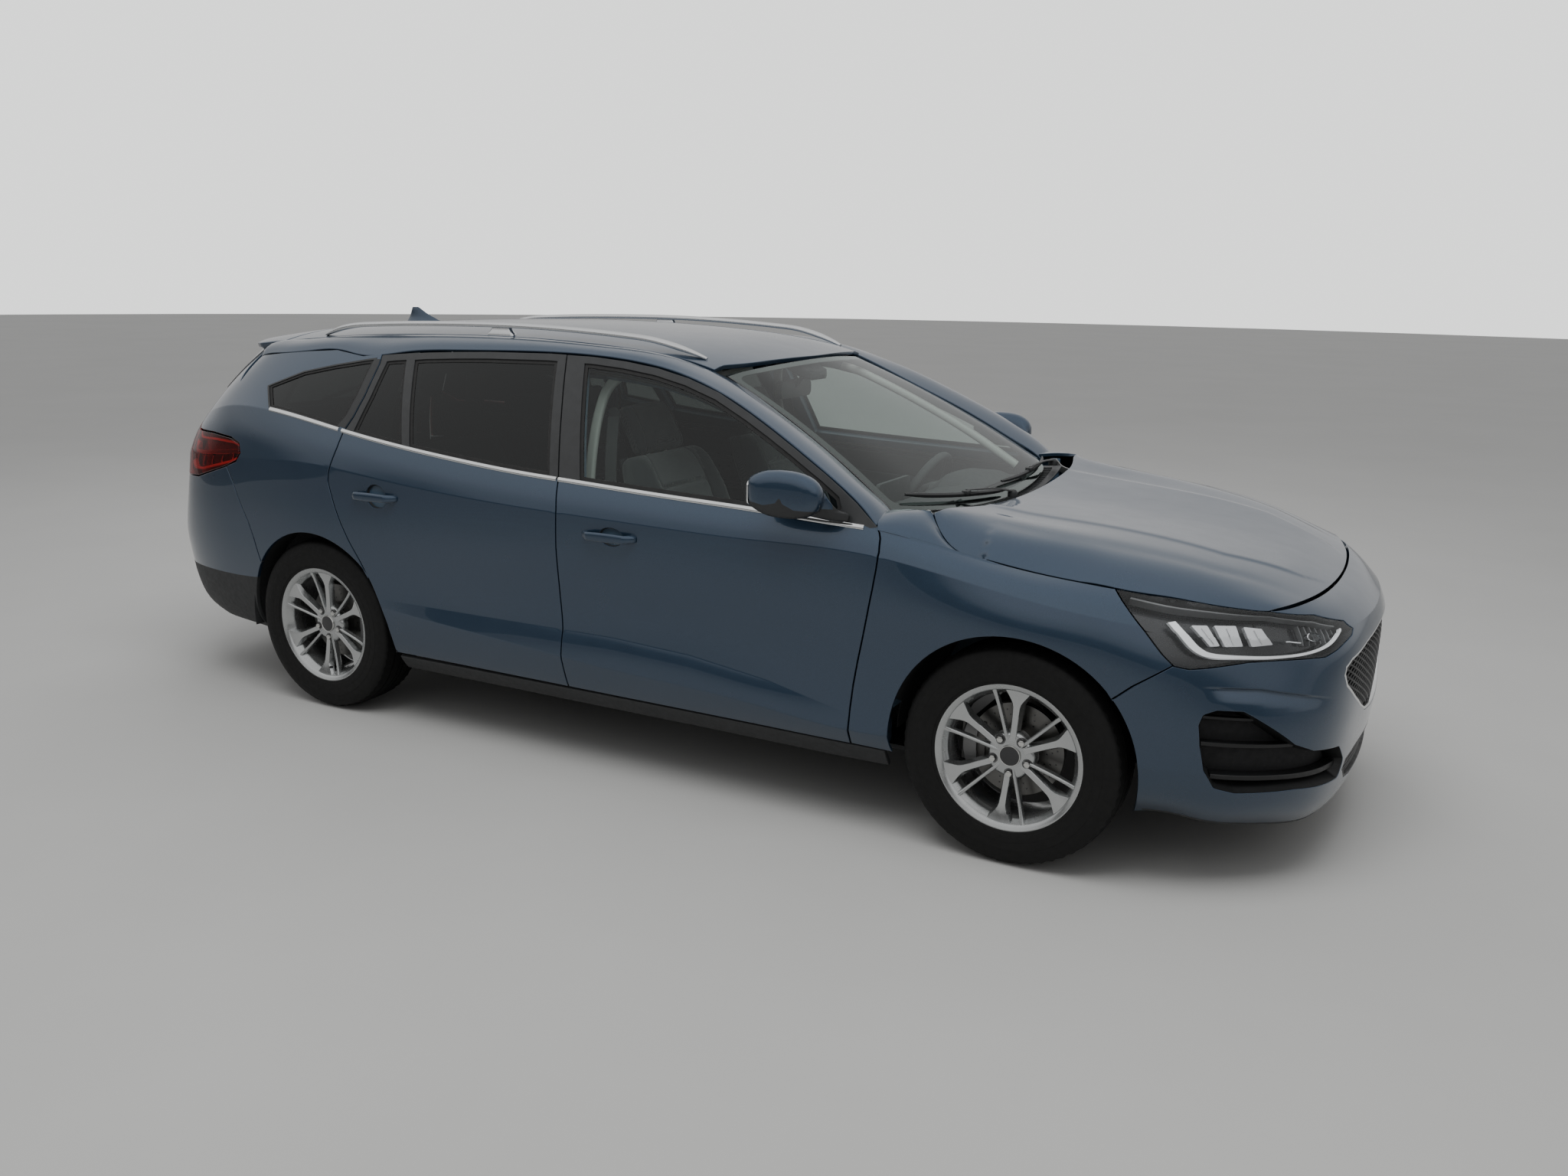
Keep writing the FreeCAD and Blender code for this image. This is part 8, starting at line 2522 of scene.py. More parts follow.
# lamps on the tailgate
for nm, sd, P_ in (('left', 1, LTU), ('right', -1, LTU2)):
    lo, hi = P_.min(0), P_.max(0)
    panel(nm + '_tailgate_lamp_lens', Side, inset(P_, .0012), GLASS_R, 'tailgate', node='tailgate_lamps' if sd > 0 else None, slot='tail_lamp', off=-.0005, depth=.010, r=.002)
    items = [(*panel_data(Side, inset(P_, .005), off=-.027, depth=.004, r=.001, step=.04), 0), (*ring_data(P_, [(.003, .004), (.006, .016), (.008, .028)]), 0)]
    us = np.linspace(lo[0] + .014, hi[0] - .014, 22)
    for b, w, m in ((.84, .009, 1), (.18, .009, 1), (.52, .013, 2)):
        L = [chord(P_, u, b) for u in us]
        L = np.array([q for q in L if q is not None])
        if len(L) > 4:
            items.append((*surf_bar(L, w, w, .010, .022), m))
    piece(nm + '_tailgate_lamp_inside', items, [LAMPSILV, GUIDE, REFLECT], 'tailgate')

# plate recess, blank plate and handle strip
items = [(*ring_data(PL_U, [(.0005, .001), (.004, .010), (.010, .026)]), 0), (*panel_data(Side, inset(PL_U, .006), off=-.0255, depth=.003, r=.001, step=.04), 0)]
PLT = yz_uv([(-.256, .783), (.256, .783), (.256, .868), (-.256, .868)], False)
items.append((*panel_data(Side, round_poly(PLT, .008), off=-.019, depth=.004, r=.0012, step=.05), 1))
HDL = yz_uv([(-.235, .876), (.235, .876), (.232, .898), (-.232, .898)], False)
items.append((*panel_data(Side, round_poly(HDL, .005), off=-.006, depth=.014, r=.003, step=.05, back=.018), 2))
for yy in (-.13, .13):
    items.append((*shift(solid_data(*lathe([(0, .001), (0, .0045), (.002, .004), (.002, .0005)], (RING.at(*uvs([(-2.3, .5)])[0])[0] * 0 - 2.0, yy, .0), 'x', 12), 40)), 2) if False else items[-1])
PLATE = plastic_mat('plate_blank', (.62, .62, .60), .35, 900, 0, .03, coat=.2)
piece('plate_recess', items[:4], [TEXBLACK, PLATE, BLACK], 'tailgate')

# rear reflectors low on the bumper
for nm, sd in SIDES:
    c = FRING.find([(.60, .395)], ax=(1, 2), u_rng=(-.02, U_CORNER + .1)) if False else None
RFL = yz_uv([(.44, .380), (.60, .384), (.60, .404), (.44, .402)], False)
for nm, sd in SIDES:
    q = RFL if sd > 0 else np.stack([-RFL[:, 0], RFL[:, 1]], 1)
    panel(nm + '_rear_reflector', Side, round_poly(q, .004), REDLENS, 'body', slot='tail_lamp', off=.0015, depth=.008, r=.002, step=.03)

# lower valance of the rear bumper
VAL = yz_uv([(-.50, .262), (.50, .262), (.47, .340), (-.47, .340)], False)
items = [(*panel_data(Side, round_poly(VAL, .012), off=.0015, depth=.010, r=.003, step=.04), 0)]
for k in range(4):
    y0 = -.36 + .24 * k
    f = yz_uv([(y0 - .003, .268), (y0 + .003, .268), (y0 + .003, .334), (y0 - .003, .334)], False)
    items.append((*panel_data(Side, f, off=.006, depth=.008, r=.0015, step=.03), 0))
piece('rear_valance', items, [TEXBLACK], 'body')

# rear wiper: cap, arm, blade
def gate_pt(y, z, d):
    q = yz_uv([(y, z)], False)
    P, N = FRING.both(q[:, 0], q[:, 1])
    return P[0] + N[0] * d, N[0]


c0, n0 = gate_pt(.0, 1.000, .002)
items = []
V, F = lathe([(0, .0005), (0, .021), (.010, .020), (.017, .012), (.019, .0005)], (0, 0, 0), 'x', 28)
V = np.array(V)
ex = n0 / np.linalg.norm(n0)
ey = np.array([0, 1., 0])
ez = np.cross(ex, ey)
V = V[:, :1] * ex + V[:, 1:2] * ey + V[:, 2:3] * ez + c0
items.append((*shift(solid_data(V, F, 40)), 0))
arm = [gate_pt(y, z, d)[0] for y, z, d in ((0, 1.000, .016), (.05, 1.018, .020), (.12, 1.040, .021), (.20, 1.062, .019), (.27, 1.080, .017))]
arm = catmull(arm, 6)
items.append((*shift(solid_data(*sweep(arm, rounded_rect(.018, .008, .003), (-1, 0, .2), scale=list(np.linspace(1.15, .6, len(arm)))), 40)), 0))
bl = catmull([gate_pt(y, z, .009)[0] for y, z in ((.06, 1.045), (.16, 1.068), (.26, 1.088), (.36, 1.104))], 8)
items.append((*shift(solid_data(*sweep(bl, rounded_rect(.012, .009, .003), (-1, 0, .2)), 40)), 0))
bl2 = [p - np.array([0, 0, 0]) for p in catmull([gate_pt(y, z, .0045)[0] for y, z in ((.055, 1.044), (.16, 1.067), (.26, 1.087), (.365, 1.105))], 8)]
items.append((*shift(solid_data(*sweep(bl2, rounded_rect(.004, .008, .001), (-1, 0, .2)), 40)), 1))
piece('rear_wiper_arm', items, [BLACK, SEAL], 'tailgate', node='rear_wiper')

# high brake lamp in the spoiler
for k in range(1):
    z0 = ROOF.z(np.array([-2.035]), np.array([0.]))[0]
    bx = box_data((-2.046, -.11, z0 - .024), (-2.036, .11, z0 - .012), .003)
    piece('high_brake_lamp', [(*shift(bx), 0)], [REDDARK], 'tailgate')

# black frame round the rear side window, back to the glass edge
fo = uvs([(-1.232, .996), (-1.236, 1.02)])
QB = inset(QG_UV, -.0135)
qf = [q for q in QB]
for nm, sd in SIDES:
    lo_x = QO[:, 0].max()
    # keep the band inside the quarter skin: pull its points back from the door gap
    P = np.array(qf)
    keep = inside(inset(QO, .0025), P)
    c = QG_UV.mean(0)
    for i in range(len(P)):
        if not keep[i]:
            a, b = P[i], c
            for t in np.linspace(0, 1, 60):
                q = a + (b - a) * t
                if inside(inset(QO, .0025), q[None])[0]:
                    P[i] = q
                    break
    panel(nm + '_quarter_frame', Side, P, FRAMEGREY, 'body', slot='black_trim', side=sd, off=.0012, depth=.003, r=.001, holes=[inset(QG_UV, -.0030)], step=.04)
QGo = inset(QG_UV, -.0030)
QOi = inset(QO, .0008)
vb, vt = QGo[np.argmax(QGo[:, 0])][1], QGo[:, 1].max()
L1, L2 = [], []
for v in np.linspace(.958, vt + .004, 26):
    a = clip_seg(QOi, (QGo[:, 0].mean(), v), (QGo[:, 0].max() + .20, v), 900)
    b = clip_seg(QGo, (QGo[:, 0].mean(), v), (QGo[:, 0].max() + .05, v), 900)
    if a is None:
        continue
    ub = b[1][0] if b is not None else None
    L1.append((a[1][0], v))
    L2.append((ub, v))
ubs = [q[0] for q in L2 if q[0] is not None]
L2 = [(q[0] if q[0] is not None else (ubs[0] if q[1] < QGo[:, 1].mean() else ubs[-1]), q[1]) for q in L2]
L2 = [(min(q[0] - .001, r[0] - .006), q[1]) for q, r in zip(L2, L1)]
for nm, sd in SIDES:
    panel(nm + '_quarter_pillar', Side, np.array(L1 + L2[::-1]), FRAMEGREY, 'body', slot='black_trim', side=sd, off=.0013, depth=.003, r=.0008, step=.03)
# gloss black cheeks between the spoiler and the tailgate
for nm, sd in SIDES:
    u0, u1 = U_CORNER - .115, U_CORNER - .036
    ck = round_poly([(u0, 1.375), (u1, 1.372), (u1 - .004, 1.20), (u1 - .012, 1.10), (u0 + .050, 1.16)], .01)
    panel(nm + '_spoiler_cheek', Side, ck, GLOSSBLACK, 'tailgate', slot='black_trim', side=sd, off=.003, depth=.010, r=.003, step=.03)
    # wedge closing the spoiler's end
    z = lambda x, y: float(ROOF.z(np.array([x]), np.array([y]))[0])
    secs = []
    for yy, k, xe in ((.470, 1.0, -2.000), (.520, 1.0, -1.975), (.546, .95, -1.940)):
        secs.append([(-1.86, yy * sd, z(-1.86, .54) - .012), (xe, yy * sd, z(xe, .54) - .012), (xe, yy * sd, z(xe, .54) - .026 * k), (xe + .030, yy * sd, z(xe, .54) - .055 * k), (-1.90, yy * sd, z(-1.90, .54) - .075 * k), (-1.86, yy * sd, z(-1.86, .54) - .070 * k)])
    piece(nm + '_spoiler_end', [(*shift(solid_data(*loft(secs), 40)), 0)], [PAINT], 'tailgate')

# dark strip under the joint between the quarter and the rear bumper: painted shade in the gap
for nm, sd in SIDES:
    L = line_uv([(-1.640, .536), (-1.669, .630), (-1.695, .690), (-1.751, .776), (-1.786, .833), (-1.833, .889)])
    it = [(*surf_bar(L, .012, .012, .0035, .0060), 0)]
    if sd < 0:
        it = [(*mirrored(i[:3]), i[3]) for i in it]
    piece(nm + '_rear_joint_backing', it, [BLACK_AND_SHADE], 'body')

# ---------------------------------------------------------------------------
# Cabin: frames and jambs, door cards, seats, dashboard, floor, linings
# ---------------------------------------------------------------------------
def fabric_mat(name, col, rough=.92, scale=900, strength=.55):
    """Woven cloth: two crossed fine waves under a soft noise."""
    m, nt, b = new_mat(name)
    v = coords(nt)
    w1, w2 = nt.nodes.new('ShaderNodeTexWave'), nt.nodes.new('ShaderNodeTexWave')
    w2.bands_direction = 'Y'
    for w in (w1, w2):
        w.inputs['Scale'].default_value = scale / 3
        w.inputs['Distortion'].default_value = 1.2
        w.inputs['Detail'].default_value = 2
        nt.links.new(v, w.inputs['Vector'])
    weave = math_node(nt, 'MULTIPLY', w1.outputs['Fac'], w2.outputs['Fac'])
    c = mix(nt, weave, tuple(x * .70 for x in col), tuple(x * 1.25 for x in col))
    c = mix(nt, math_node(nt, 'MULTIPLY', noise(nt, v, 6, 4), .35), c, tuple(x * .8 for x in col))
    nt.links.new(c, b.inputs['Base Color'])
    setv(b, rough=rough, sheen=.35, sheen_rough=.4, spec=.2)
    bump(nt, b, math_node(nt, 'ADD', weave, math_node(nt, 'MULTIPLY', noise(nt, v, 140, 4), .6)), strength, .0012)
    return m


CLOTH = fabric_mat('seat_cloth', (.050, .052, .056))
CLOTH2 = fabric_mat('seat_cloth_light', (.110, .113, .118), scale=700)
LEATHER = plastic_mat('seat_vinyl', (.028, .029, .031), .55, 420, .6)
HEADL = fabric_mat('headlining', (.46, .46, .44), .95, 1300, .3)
PILLAR = plastic_mat('pillar_trim', (.36, .36, .345), .60, 900, .3, .06)
SOFTDASH = plastic_mat('dash_soft', (.024, .025, .027), .66, 520, .25)
DASHHARD = plastic_mat('dash_hard', (.034, .035, .037), .55, 800, .4)
SCREEN = plastic_mat('screen', (.004, .005, .006), .06, 900, 0, coat=.8)
SATIN = metal_mat('satin_trim', (.42, .43, .44), .30, .05)
STITCH = plastic_mat('stitch', (.20, .205, .21), .8, 900, .2)
BELT = fabric_mat('belt_webbing', (.045, .046, .048), .85, 1600, .4)


def soft_pad(L, W, T, bol=(.62, .84, .030), chans=(), crown=.012, bend=0.0, n_exp=4.6, seam=.62, seed=1, wdt=None, sides=None, wave=.0012, taper=(0, 0)):
    """Stuffed pad in its own frame: x along, y across, z out of the seat face.  Deep seams follow the bolsters and cross channels."""
    rs = np.random.RandomState(seed)
    ph = rs.rand(6) * 6.28
    t = np.unique(np.concatenate([np.sin(np.linspace(-pi / 2, pi / 2, 35)), *[c + np.linspace(-.05, .05, 9) for c in chans]]))
    t = t[(t >= -1) & (t <= 1)]
    th = np.linspace(0, 2 * pi, 97)[:-1]
    extra = []
    for s0 in (seam, -seam):
        for d in np.linspace(-.045, .045, 7):
            c = np.clip(s0 + d, -1, 1)
            a = np.arccos(np.sign(c) * abs(c) ** (n_exp / 2))
            extra.append(a)
    th = np.unique(np.round(np.concatenate([th, extra]), 5))
    V = []
    for q in t:
        e = (1 - min(abs(q), .9999) ** 9) ** .42
        ez = (1 - min(abs(q), .9999) ** 7) ** .40
        w = W / 2 * (.86 + .14 * e) * (1 + (wdt(q) if wdt else 0))
        h = T / 2 * (.10 + .90 * ez) * (1 + taper[0] * q)
        for a in th:
            ca, sa = cos(a), sin(a)
            sx = np.sign(ca) * abs(ca) ** (2 / n_exp)
            sz = np.sign(sa) * abs(sa) ** (2 / n_exp)
            y, z = sx * w, sz * h
            x = q * L / 2
            if sz > 0:
                up = sz ** 1.5
                s = abs(sx)
                b = np.clip((s - bol[0]) / (bol[1] - bol[0]), 0, 1)
                b = b * b * (3 - 2 * b)
                fall = np.clip((1 - s) / .10, 0, 1)
                z += up * ez * (bol[2] * b * (1 - .35 * q * q) * fall ** .5)
                z += up * ez * crown * (1 - min(1, (s / seam)) ** 2) * (1 - q * q)
                z -= up * ez * .011 * exp(-((s - seam) / .016) ** 2)
                if s < seam:
                    for c in chans:
                        z -= up * .0085 * exp(-((q - c) / .020) ** 2) * (1 - (s / seam) ** 8)
                        z += up * .0035 * exp(-((abs(q - c) - .075) / .045) ** 2)
                z += up * wave * (sin(x * 41 + ph[0] + y * 13) + sin(y * 57 + ph[1] + x * 17) * .7 + .6 * sin(x * 93 + y * 71 + ph[2]))
            # piping seam round the side
            if abs(sz) < .55:
                y += np.sign(sx) * .0026 * exp(-((sz - .25) / .10) ** 2) * ez
            z += bend * (q * q - .33)
            V.append((x, y, z))
    m = len(th)
    F = []
    for i in range(len(t) - 1):
        for j in range(m):
            k = (j + 1) % m
            F.append((i * m + j, i * m + k, (i + 1) * m + k, (i + 1) * m + j))
    c0, c1 = len(V), len(V) + 1
    V.append(tuple(np.mean(V[:m], 0)))
    V.append(tuple(np.mean(V[(len(t) - 1) * m:len(t) * m], 0)))
    for j in range(m):
        k = (j + 1) % m
        F.append((k, j, c0))
        F.append(((len(t) - 1) * m + j, (len(t) - 1) * m + k, c1))
    V = np.array(V)
    M = []
    for f in F:
        c = V[list(f)].mean(0)
        M.append(0 if (abs(c[1]) < seam * W / 2 * .985 and c[2] > T * .12) else 1)
    return V, F, M


def place(V, o, ax, ay):
    """Puts a pad at o with its length along ax and its width along ay (seat face is ax x ay)."""
    ax, ay = np.array(ax, float), np.array(ay, float)
    ax /= np.linalg.norm(ax)
    ay /= np.linalg.norm(ay)
    az = np.cross(ax, ay)
    return np.array(o) + V[:, :1] * ax + V[:, 1:2] * ay + V[:, 2:3] * az


def pad_piece(name, pad, o, ax, ay, mats, body='body', node=None):
    V, F, M = pad
    P = place(V, o, ax, ay)
    vol = 0.0
    for f in F[:400] + F[-400:]:
        pass
    c = P.mean(0)
    f0 = F[len(F) // 2]
    a, b, d = smooth_normals(P, F, 75)
    if np.mean(((a - c) * b).sum(1)) < 0:
        b = -b
        d = [f[::-1] for f in d]
    ob = piece(name, [(*shift((a, b, d)), None)], mats, body, node) if False else None
    ob = finish_piece(make_mesh(name, a + np.array([XS, 0, 0]), d, mats, b, M), body, node)
    return ob


def beam(a, b, w, h, r=.004, up=(0, 0, 1)):
    return solid_data(*sweep([a, b], rounded_rect(w, h, r), up), 40)


for nm, sd in SIDES:
    yc = .370 * sd
    # cushion: rises a little towards the front
    pad_piece(nm + '_front_cushion', soft_pad(.535, .505, .128, (.60, .84, .034), (-.42, .02, .46), .012, .010, seed=3 if sd > 0 else 4),
              (.268, yc, .398), (.995, 0, .085), (0, 1, 0), [CLOTH2, CLOTH])
    ax = np.array([-.225, 0, .575])
    pad_piece(nm + '_front_backrest', soft_pad(.600, .485, .112, (.58, .84, .042), (-.55, -.18, .18, .55), .010, -.012, seed=7 if sd > 0 else 8, wdt=lambda q: -.10 * max(0, q) ** 2),
              (-.040, yc, .742), ax, (0, -1, 0), [CLOTH2, CLOTH])
    hax = np.array([-.095, 0, .18])
    pad_piece(nm + '_front_head_restraint', soft_pad(.178, .262, .080, (.70, .9, .004), (), .010, -.004, 3.4, .80, seed=11, wdt=lambda q: -.06 * q),
              (-.193, yc, 1.105), hax, (0, -1, 0), [CLOTH, CLOTH])
    it = []
    for dy in (-.055, .055):
        it.append((*shift(solid_data(*tube([(-.150, yc + dy, .985), (-.170, yc + dy, 1.02), (-.182, yc + dy, 1.05)], .0065, 12), 60)), 2))
    # back shell and cushion pan
    sh = catmull([(.040, yc, .440), (-.020, yc, .600), (-.105, yc, .800), (-.195, yc, 1.010)], 5)
    it.append((*shift(solid_data(*sweep(sh, rounded_rect(.440, .024, .010), (1, 0, .3), scale=[(1 - .12 * (i / len(sh)) ** 2, 1) for i in range(len(sh))]), 40)), 0))
    it.append((*shift(box_data((.065, yc - .205, .262), (.455, yc + .205, .345), .020)), 0))
    # side shields with recliner disc and height lever
    for s in (-1, 1):
        pr = [(.010, .335), (.050, .300), (.440, .298), (.500, .330), (.505, .372), (.300, .380), (.115, .395), (.075, .470), (.020, .480), (-.010, .420)]
        ys_ = (yc + s * .236, yc + s * .252)
        q = round_poly(pr, .02)
        secs = [[(x, ys_[0], z) for x, z in q], [(x, ys_[0] + (ys_[1] - ys_[0]) * .8, z) for x, z in q], [(x * .985 + .003, ys_[1], z * .985 + .005) for x, z in q]]
        it.append((*shift(solid_data(*loft(secs), 40)), 0))
        V, F = lathe([(0, .001), (0, .032), (.008, .030), (.012, .020), (.012, .001)], (.045, yc + s * .252, .430), 'y', 28, s)
        it.append((*shift(solid_data(V, F, 40)), 1))
    it.append((*shift(beam((.16, yc + sd * .258, .335), (.33, yc + sd * .258, .345), .012, .024)), 1))
    # rails and their end caps
    for dy in (-.185, .185):
        it.append((*shift(beam((.03, yc + dy, .258), (.47, yc + dy, .258), .036, .026)), 2))
        for x0 in (.05, .44):
            it.append((*shift(box_data((x0 - .025, yc + dy - .022, .243), (x0 + .025, yc + dy + .022, .262), .005)), 0))
    # buckle beside the console
    yb = yc - sd * .258
    it.append((*shift(beam((.09, yb, .330), (.065, yb, .440), .012, .026, .004, (1, 0, 0))), 0))
    it.append((*shift(beam((.064, yb, .440), (.052, yb, .500), .022, .034, .006, (1, 0, 0))), 3))
    piece(nm + '_front_seat_frame', it, [DASHHARD, BLACK, STEEL, SCREEN], 'body', node='front_seats' if sd > 0 else None)

# rear bench: two cushions, two backs, three head restraints
for nm, y0, y1, sd_ in (('wide', -.205, .625, 21), ('narrow', -.625, -.212, 22)):
    yc, w = (y0 + y1) / 2, y1 - y0
    ch = (-.50, -.05, .45)
    pad_piece('rear_cushion_' + nm, soft_pad(.500, w, .150, (.72, .92, .012), ch, .012, .006, seed=sd_, seam=.74), (-.655, yc, .405), (.996, 0, .07), (0, 1, 0), [CLOTH2, CLOTH], node='rear_seat' if nm == 'wide' else None)
    pad_piece('rear_backrest_' + nm, soft_pad(.585, w, .105, (.72, .92, .016), (-.60, -.22, .16, .54), .010, -.006, seed=sd_ + 4, seam=.74), (-.935, yc, .735), (-.172, 0, .56), (0, -1, 0), [CLOTH2, CLOTH])
for k, yy in (('left', .400), ('middle', 0.0), ('right', -.400)):
    pad_piece('rear_head_restraint_' + k, soft_pad(.128, .222, .072, (.70, .9, .003), (), .008, -.003, 3.4, .80, seed=31), (-1.045, yy, 1.083), (-.055, 0, .13), (0, -1, 0), [CLOTH, CLOTH])
it = [(*shift(box_data((-.900, -.600, .300), (-.440, .600, .352), .015)), 0)]
sh = [(-.905, 0, .455), (-.985, 0, .735), (-1.072, 0, 1.015)]
it.append((*shift(solid_data(*sweep(sh, rounded_rect(1.235, .016, .006), (1, 0, .3)), 40)), 1))
for yy in (.400, 0, -.400):
    for dy in (-.045, .045):
        it.append((*shift(solid_data(*tube([(-1.005, yy + dy, .990), (-1.022, yy + dy, 1.02), (-1.030, yy + dy, 1.045)], .006, 10), 60)), 2))
for yy in (.30, .10, -.10, -.32):
    it.append((*shift(beam((-.865, yy, .462), (-.835, yy, .505), .018, .030, .005, (1, 0, 0))), 3))
for yy in (.598, -.598):
    it.append((*shift(beam((-1.02, yy, .93), (-1.045, yy, 1.01), .026, .05, .008, (1, 0, 0))), 0))
piece('rear_seat_frame', it, [DASHHARD, CARPET, STEEL, SCREEN], 'body')

# dashboard ---------------------------------------------------------------
DP = [(.930, .880), (.860, .906), (.780, .912), (.700, .898), (.645, .866), (.612, .826), (.612, .800), (.640, .780), (.660, .735), (.700, .660), (.760, .600), (.830, .585), (.960, .600), (.972, .880)]
DPS = round_poly(DP, .022, 4)


def dash_at(y):
    """Dash outline at y: the driver's side carries an instrument hood, the middle leans to the cabin."""
    t = abs(y) / .665
    out = []
    for x, z in DPS:
        k = max(0.0, 1 - ((y - .370) / .215) ** 4) if abs(y - .370) < .215 else 0
        m_ = exp(-((y) / .16) ** 4)
        dx, dz = 0.0, 0.0
        if z > .80 and x < .93:
            dz += .040 * k * exp(-((x - .72) / .085) ** 2)
            dx += -.012 * k * exp(-((x - .66) / .06) ** 2)
        if z < .80 and x < .80:
            dx += -.030 * m_
        dx += .055 * t ** 3 * (1 if x < .80 else 0)
        dz += -.022 * t ** 4
        out.append((min(x + dx, .972), y, z + dz))
    return out


ysd = sorted(set([round(q, 4) for q in list(np.linspace(-.665, .665, 65)) + [.155, .165, .575, .585]]))
it = [(*shift(solid_data(*loft([dash_at(y) for y in ysd]), 50)), 0)]
# trim strip across the front face, vents, screen, instrument panel, glove box
def face_x(y, z):
    p = dash_at(y)
    best = 9
    for i in range(len(p)):
        a, b = p[i], p[(i + 1) % len(p)]
        if (a[2] - z) * (b[2] - z) <= 0 and abs(a[2] - b[2]) > 1e-9:
            x = a[0] + (b[0] - a[0]) * (z - a[2]) / (b[2] - a[2])
            best = min(best, x)
    return best


strip = [(face_x(y, .792) - .001, y, .792) for y in np.linspace(-.62, .62, 50)]
it.append((*shift(solid_data(*sweep(strip, rounded_rect(.010, .016, .004), (0, 0, 1)), 50)), 2))
for y0, y1 in ((-.600, -.470), (-.165, -.050), (.050, .165), (.545, .640)):
    x = min(face_x(y0, .765), face_x(y1, .765))
    it.append((*shift(box_data((x - .006, y0, .742), (x + .030, y1, .786), .006)), 1))
    for z in (.752, .764, .776):
        it.append((*shift(box_data((x - .009, y0 + .006, z - .002), (x + .010, y1 - .006, z + .0015), .0012)), 3))
    it.append((*shift(box_data((x - .012, (y0 + y1) / 2 - .006, .760), (x + .0, (y0 + y1) / 2 + .006, .770), .002)), 2))
# centre screen standing on the dash
V, F = sweep([(.585, 0, .872), (.600, 0, .872)], rounded_rect(.275, .130, .014), (0, 0, 1))
it.append((*shift(solid_data(V, F, 40)), 1))
V, F = sweep([(.5835, 0, .872), (.5855, 0, .872)], rounded_rect(.258, .114, .008), (0, 0, 1))
it.append((*shift(solid_data(V, F, 40)), 4))
it.append((*shift(box_data((.600, -.035, .80), (.640, .035, .86), .010)), 1))
# instrument panel under its hood
V, F = sweep([(.640, .370, .842), (.655, .370, .842)], rounded_rect(.330, .110, .040), (0, 0, 1))
it.append((*shift(solid_data(V, F, 40)), 1))
for dy in (-.095, .095):
    V, F = lathe([(0, .001), (0, .046), (.006, .050), (.010, .050), (.010, .001)], (.640, .370 + dy, .842), 'x', 36, -1)
    it.append((*shift(solid_data(V, F, 40)), 2))
    V, F = lathe([(0, .001), (0, .044), (.001, .043), (.0015, .001)], (.6295, .370 + dy, .842), 'x', 36, -1)
    it.append((*shift(solid_data(V, F, 40)), 4))
# climate panel with three knobs
x = face_x(0, .690)
it.append((*shift(box_data((x - .004, -.120, .655), (x + .030, .120, .725), .006)), 1))
for dy in (-.085, 0, .085):
    V, F = lathe([(0, .001), (0, .0215), (.016, .019), (.018, .016), (.018, .001)], (x - .004, dy, .690), 'x', 32, -1)
    it.append((*shift(solid_data(V, F, 40)), 2 if dy else 1))
# glove box lid with latch
gx = [face_x(y, z) for y in (-.56, -.20) for z in (.64, .74)]
secs = []
for y in np.linspace(-.575, -.185, 24):
    e = min(1, (y + .575) / .012, (-.185 - y) / .012)
    secs.append([(face_x(y, z) - .005 * max(e, .0) , y, z) for z in np.linspace(.625, .728, 8)] + [(face_x(y, z) + .012, y, z) for z in np.linspace(.728, .625, 8)])
it.append((*shift(solid_data(*loft(secs), 40)), 1))
it.append((*shift(box_data((face_x(-.38, .715) - .011, -.42, .706), (face_x(-.38, .715) + .004, -.34, .722), .003)), 3))
# defroster slots on top, near-black as painted shade in the openings
for y0, y1 in ((-.55, -.12), (.12, .55)):
    for j in range(2):
        it.append((*shift(box_data((.862 + .016 * j, y0, .888), (.870 + .016 * j, y1, .908), .002)), 3))
piece('dashboard_body', it, [SOFTDASH, DASHHARD, SATIN, BLACK_AND_SHADE, SCREEN], 'body', node='dashboard')

# console -------------------------------------------------------------------
it = []
prof = [(-.095, .331), (-.098, .470), (-.086, .500), (.086, .500), (.098, .470), (.095, .331)]
secs = []
for x, k in ((-.095, .86), (-.080, 1.0), (.050, 1.02), (.20, .97), (.36, .96), (.52, 1.02), (.62, 1.20), (.672, 1.42)):
    secs.append([(x + (0 if z < .4 else .0), y * (1 if x < .6 else 1.15), .331 + (z - .331) * k) for y, z in round_poly(prof, .018)])
it.append((*shift(solid_data(*loft(secs), 40)), 0))
# cup holders, near-black inside as painted shade in the recess
for cx, cy in ((.180, .040), (.180, -.040)):
    V, F = lathe([(0, .036), (.004, .038), (.006, .036), (.002, .033), (-.045, .030), (-.045, .001)], (cx, cy, .4955), 'z', 36)
    a, b, c = smooth_normals(V, F, 50)
    it.append((*shift((a, b, c)), 1))
it.append((*shift(solid_data(*tube([(.395, 0, .480), (.392, 0, .530), (.385, 0, .575)], .006, 12), 60)), 2))
V, F = lathe([(-.030, .001), (-.028, .012), (-.010, .019), (.010, .024), (.024, .021), (.030, .010), (.031, .001)], (.384, 0, .590), 'z', 28)
it.append((*shift(solid_data(V, F, 60)), 1))
# gaiter with folds
gs = []
for i in range(9):
    t = i / 8
    r = .052 * (1 - t) ** .8 + .010 + .003 * sin(i * pi)
    r += .0035 * (1 if i % 2 else -1) * (1 - t)
    gs.append([(.392 + r * 1.25 * cos(a), r * .95 * sin(a), .488 + .062 * t) for a in np.linspace(0, 2 * pi, 33)[:-1]])
it.append((*shift(solid_data(*loft(gs), 50)), 3))
it.append((*shift(box_data((.328, -.062, .484), (.456, .062, .4935), .006)), 2))
it.append((*shift(beam((.03, .058, .505), (.165, .058, .530), .022, .020, .008)), 1))
piece('centre_console', it, [DASHHARD, BLACK_AND_SHADE, SATIN, LEATHER, CARPET], 'body')
pad_piece('console_armrest', soft_pad(.190, .150, .050, (.8, .95, .0), (), .006, 0, 4.0, .88, seed=41), (.002, 0, .522), (1, 0, .03), (0, 1, 0), [LEATHER, LEATHER])

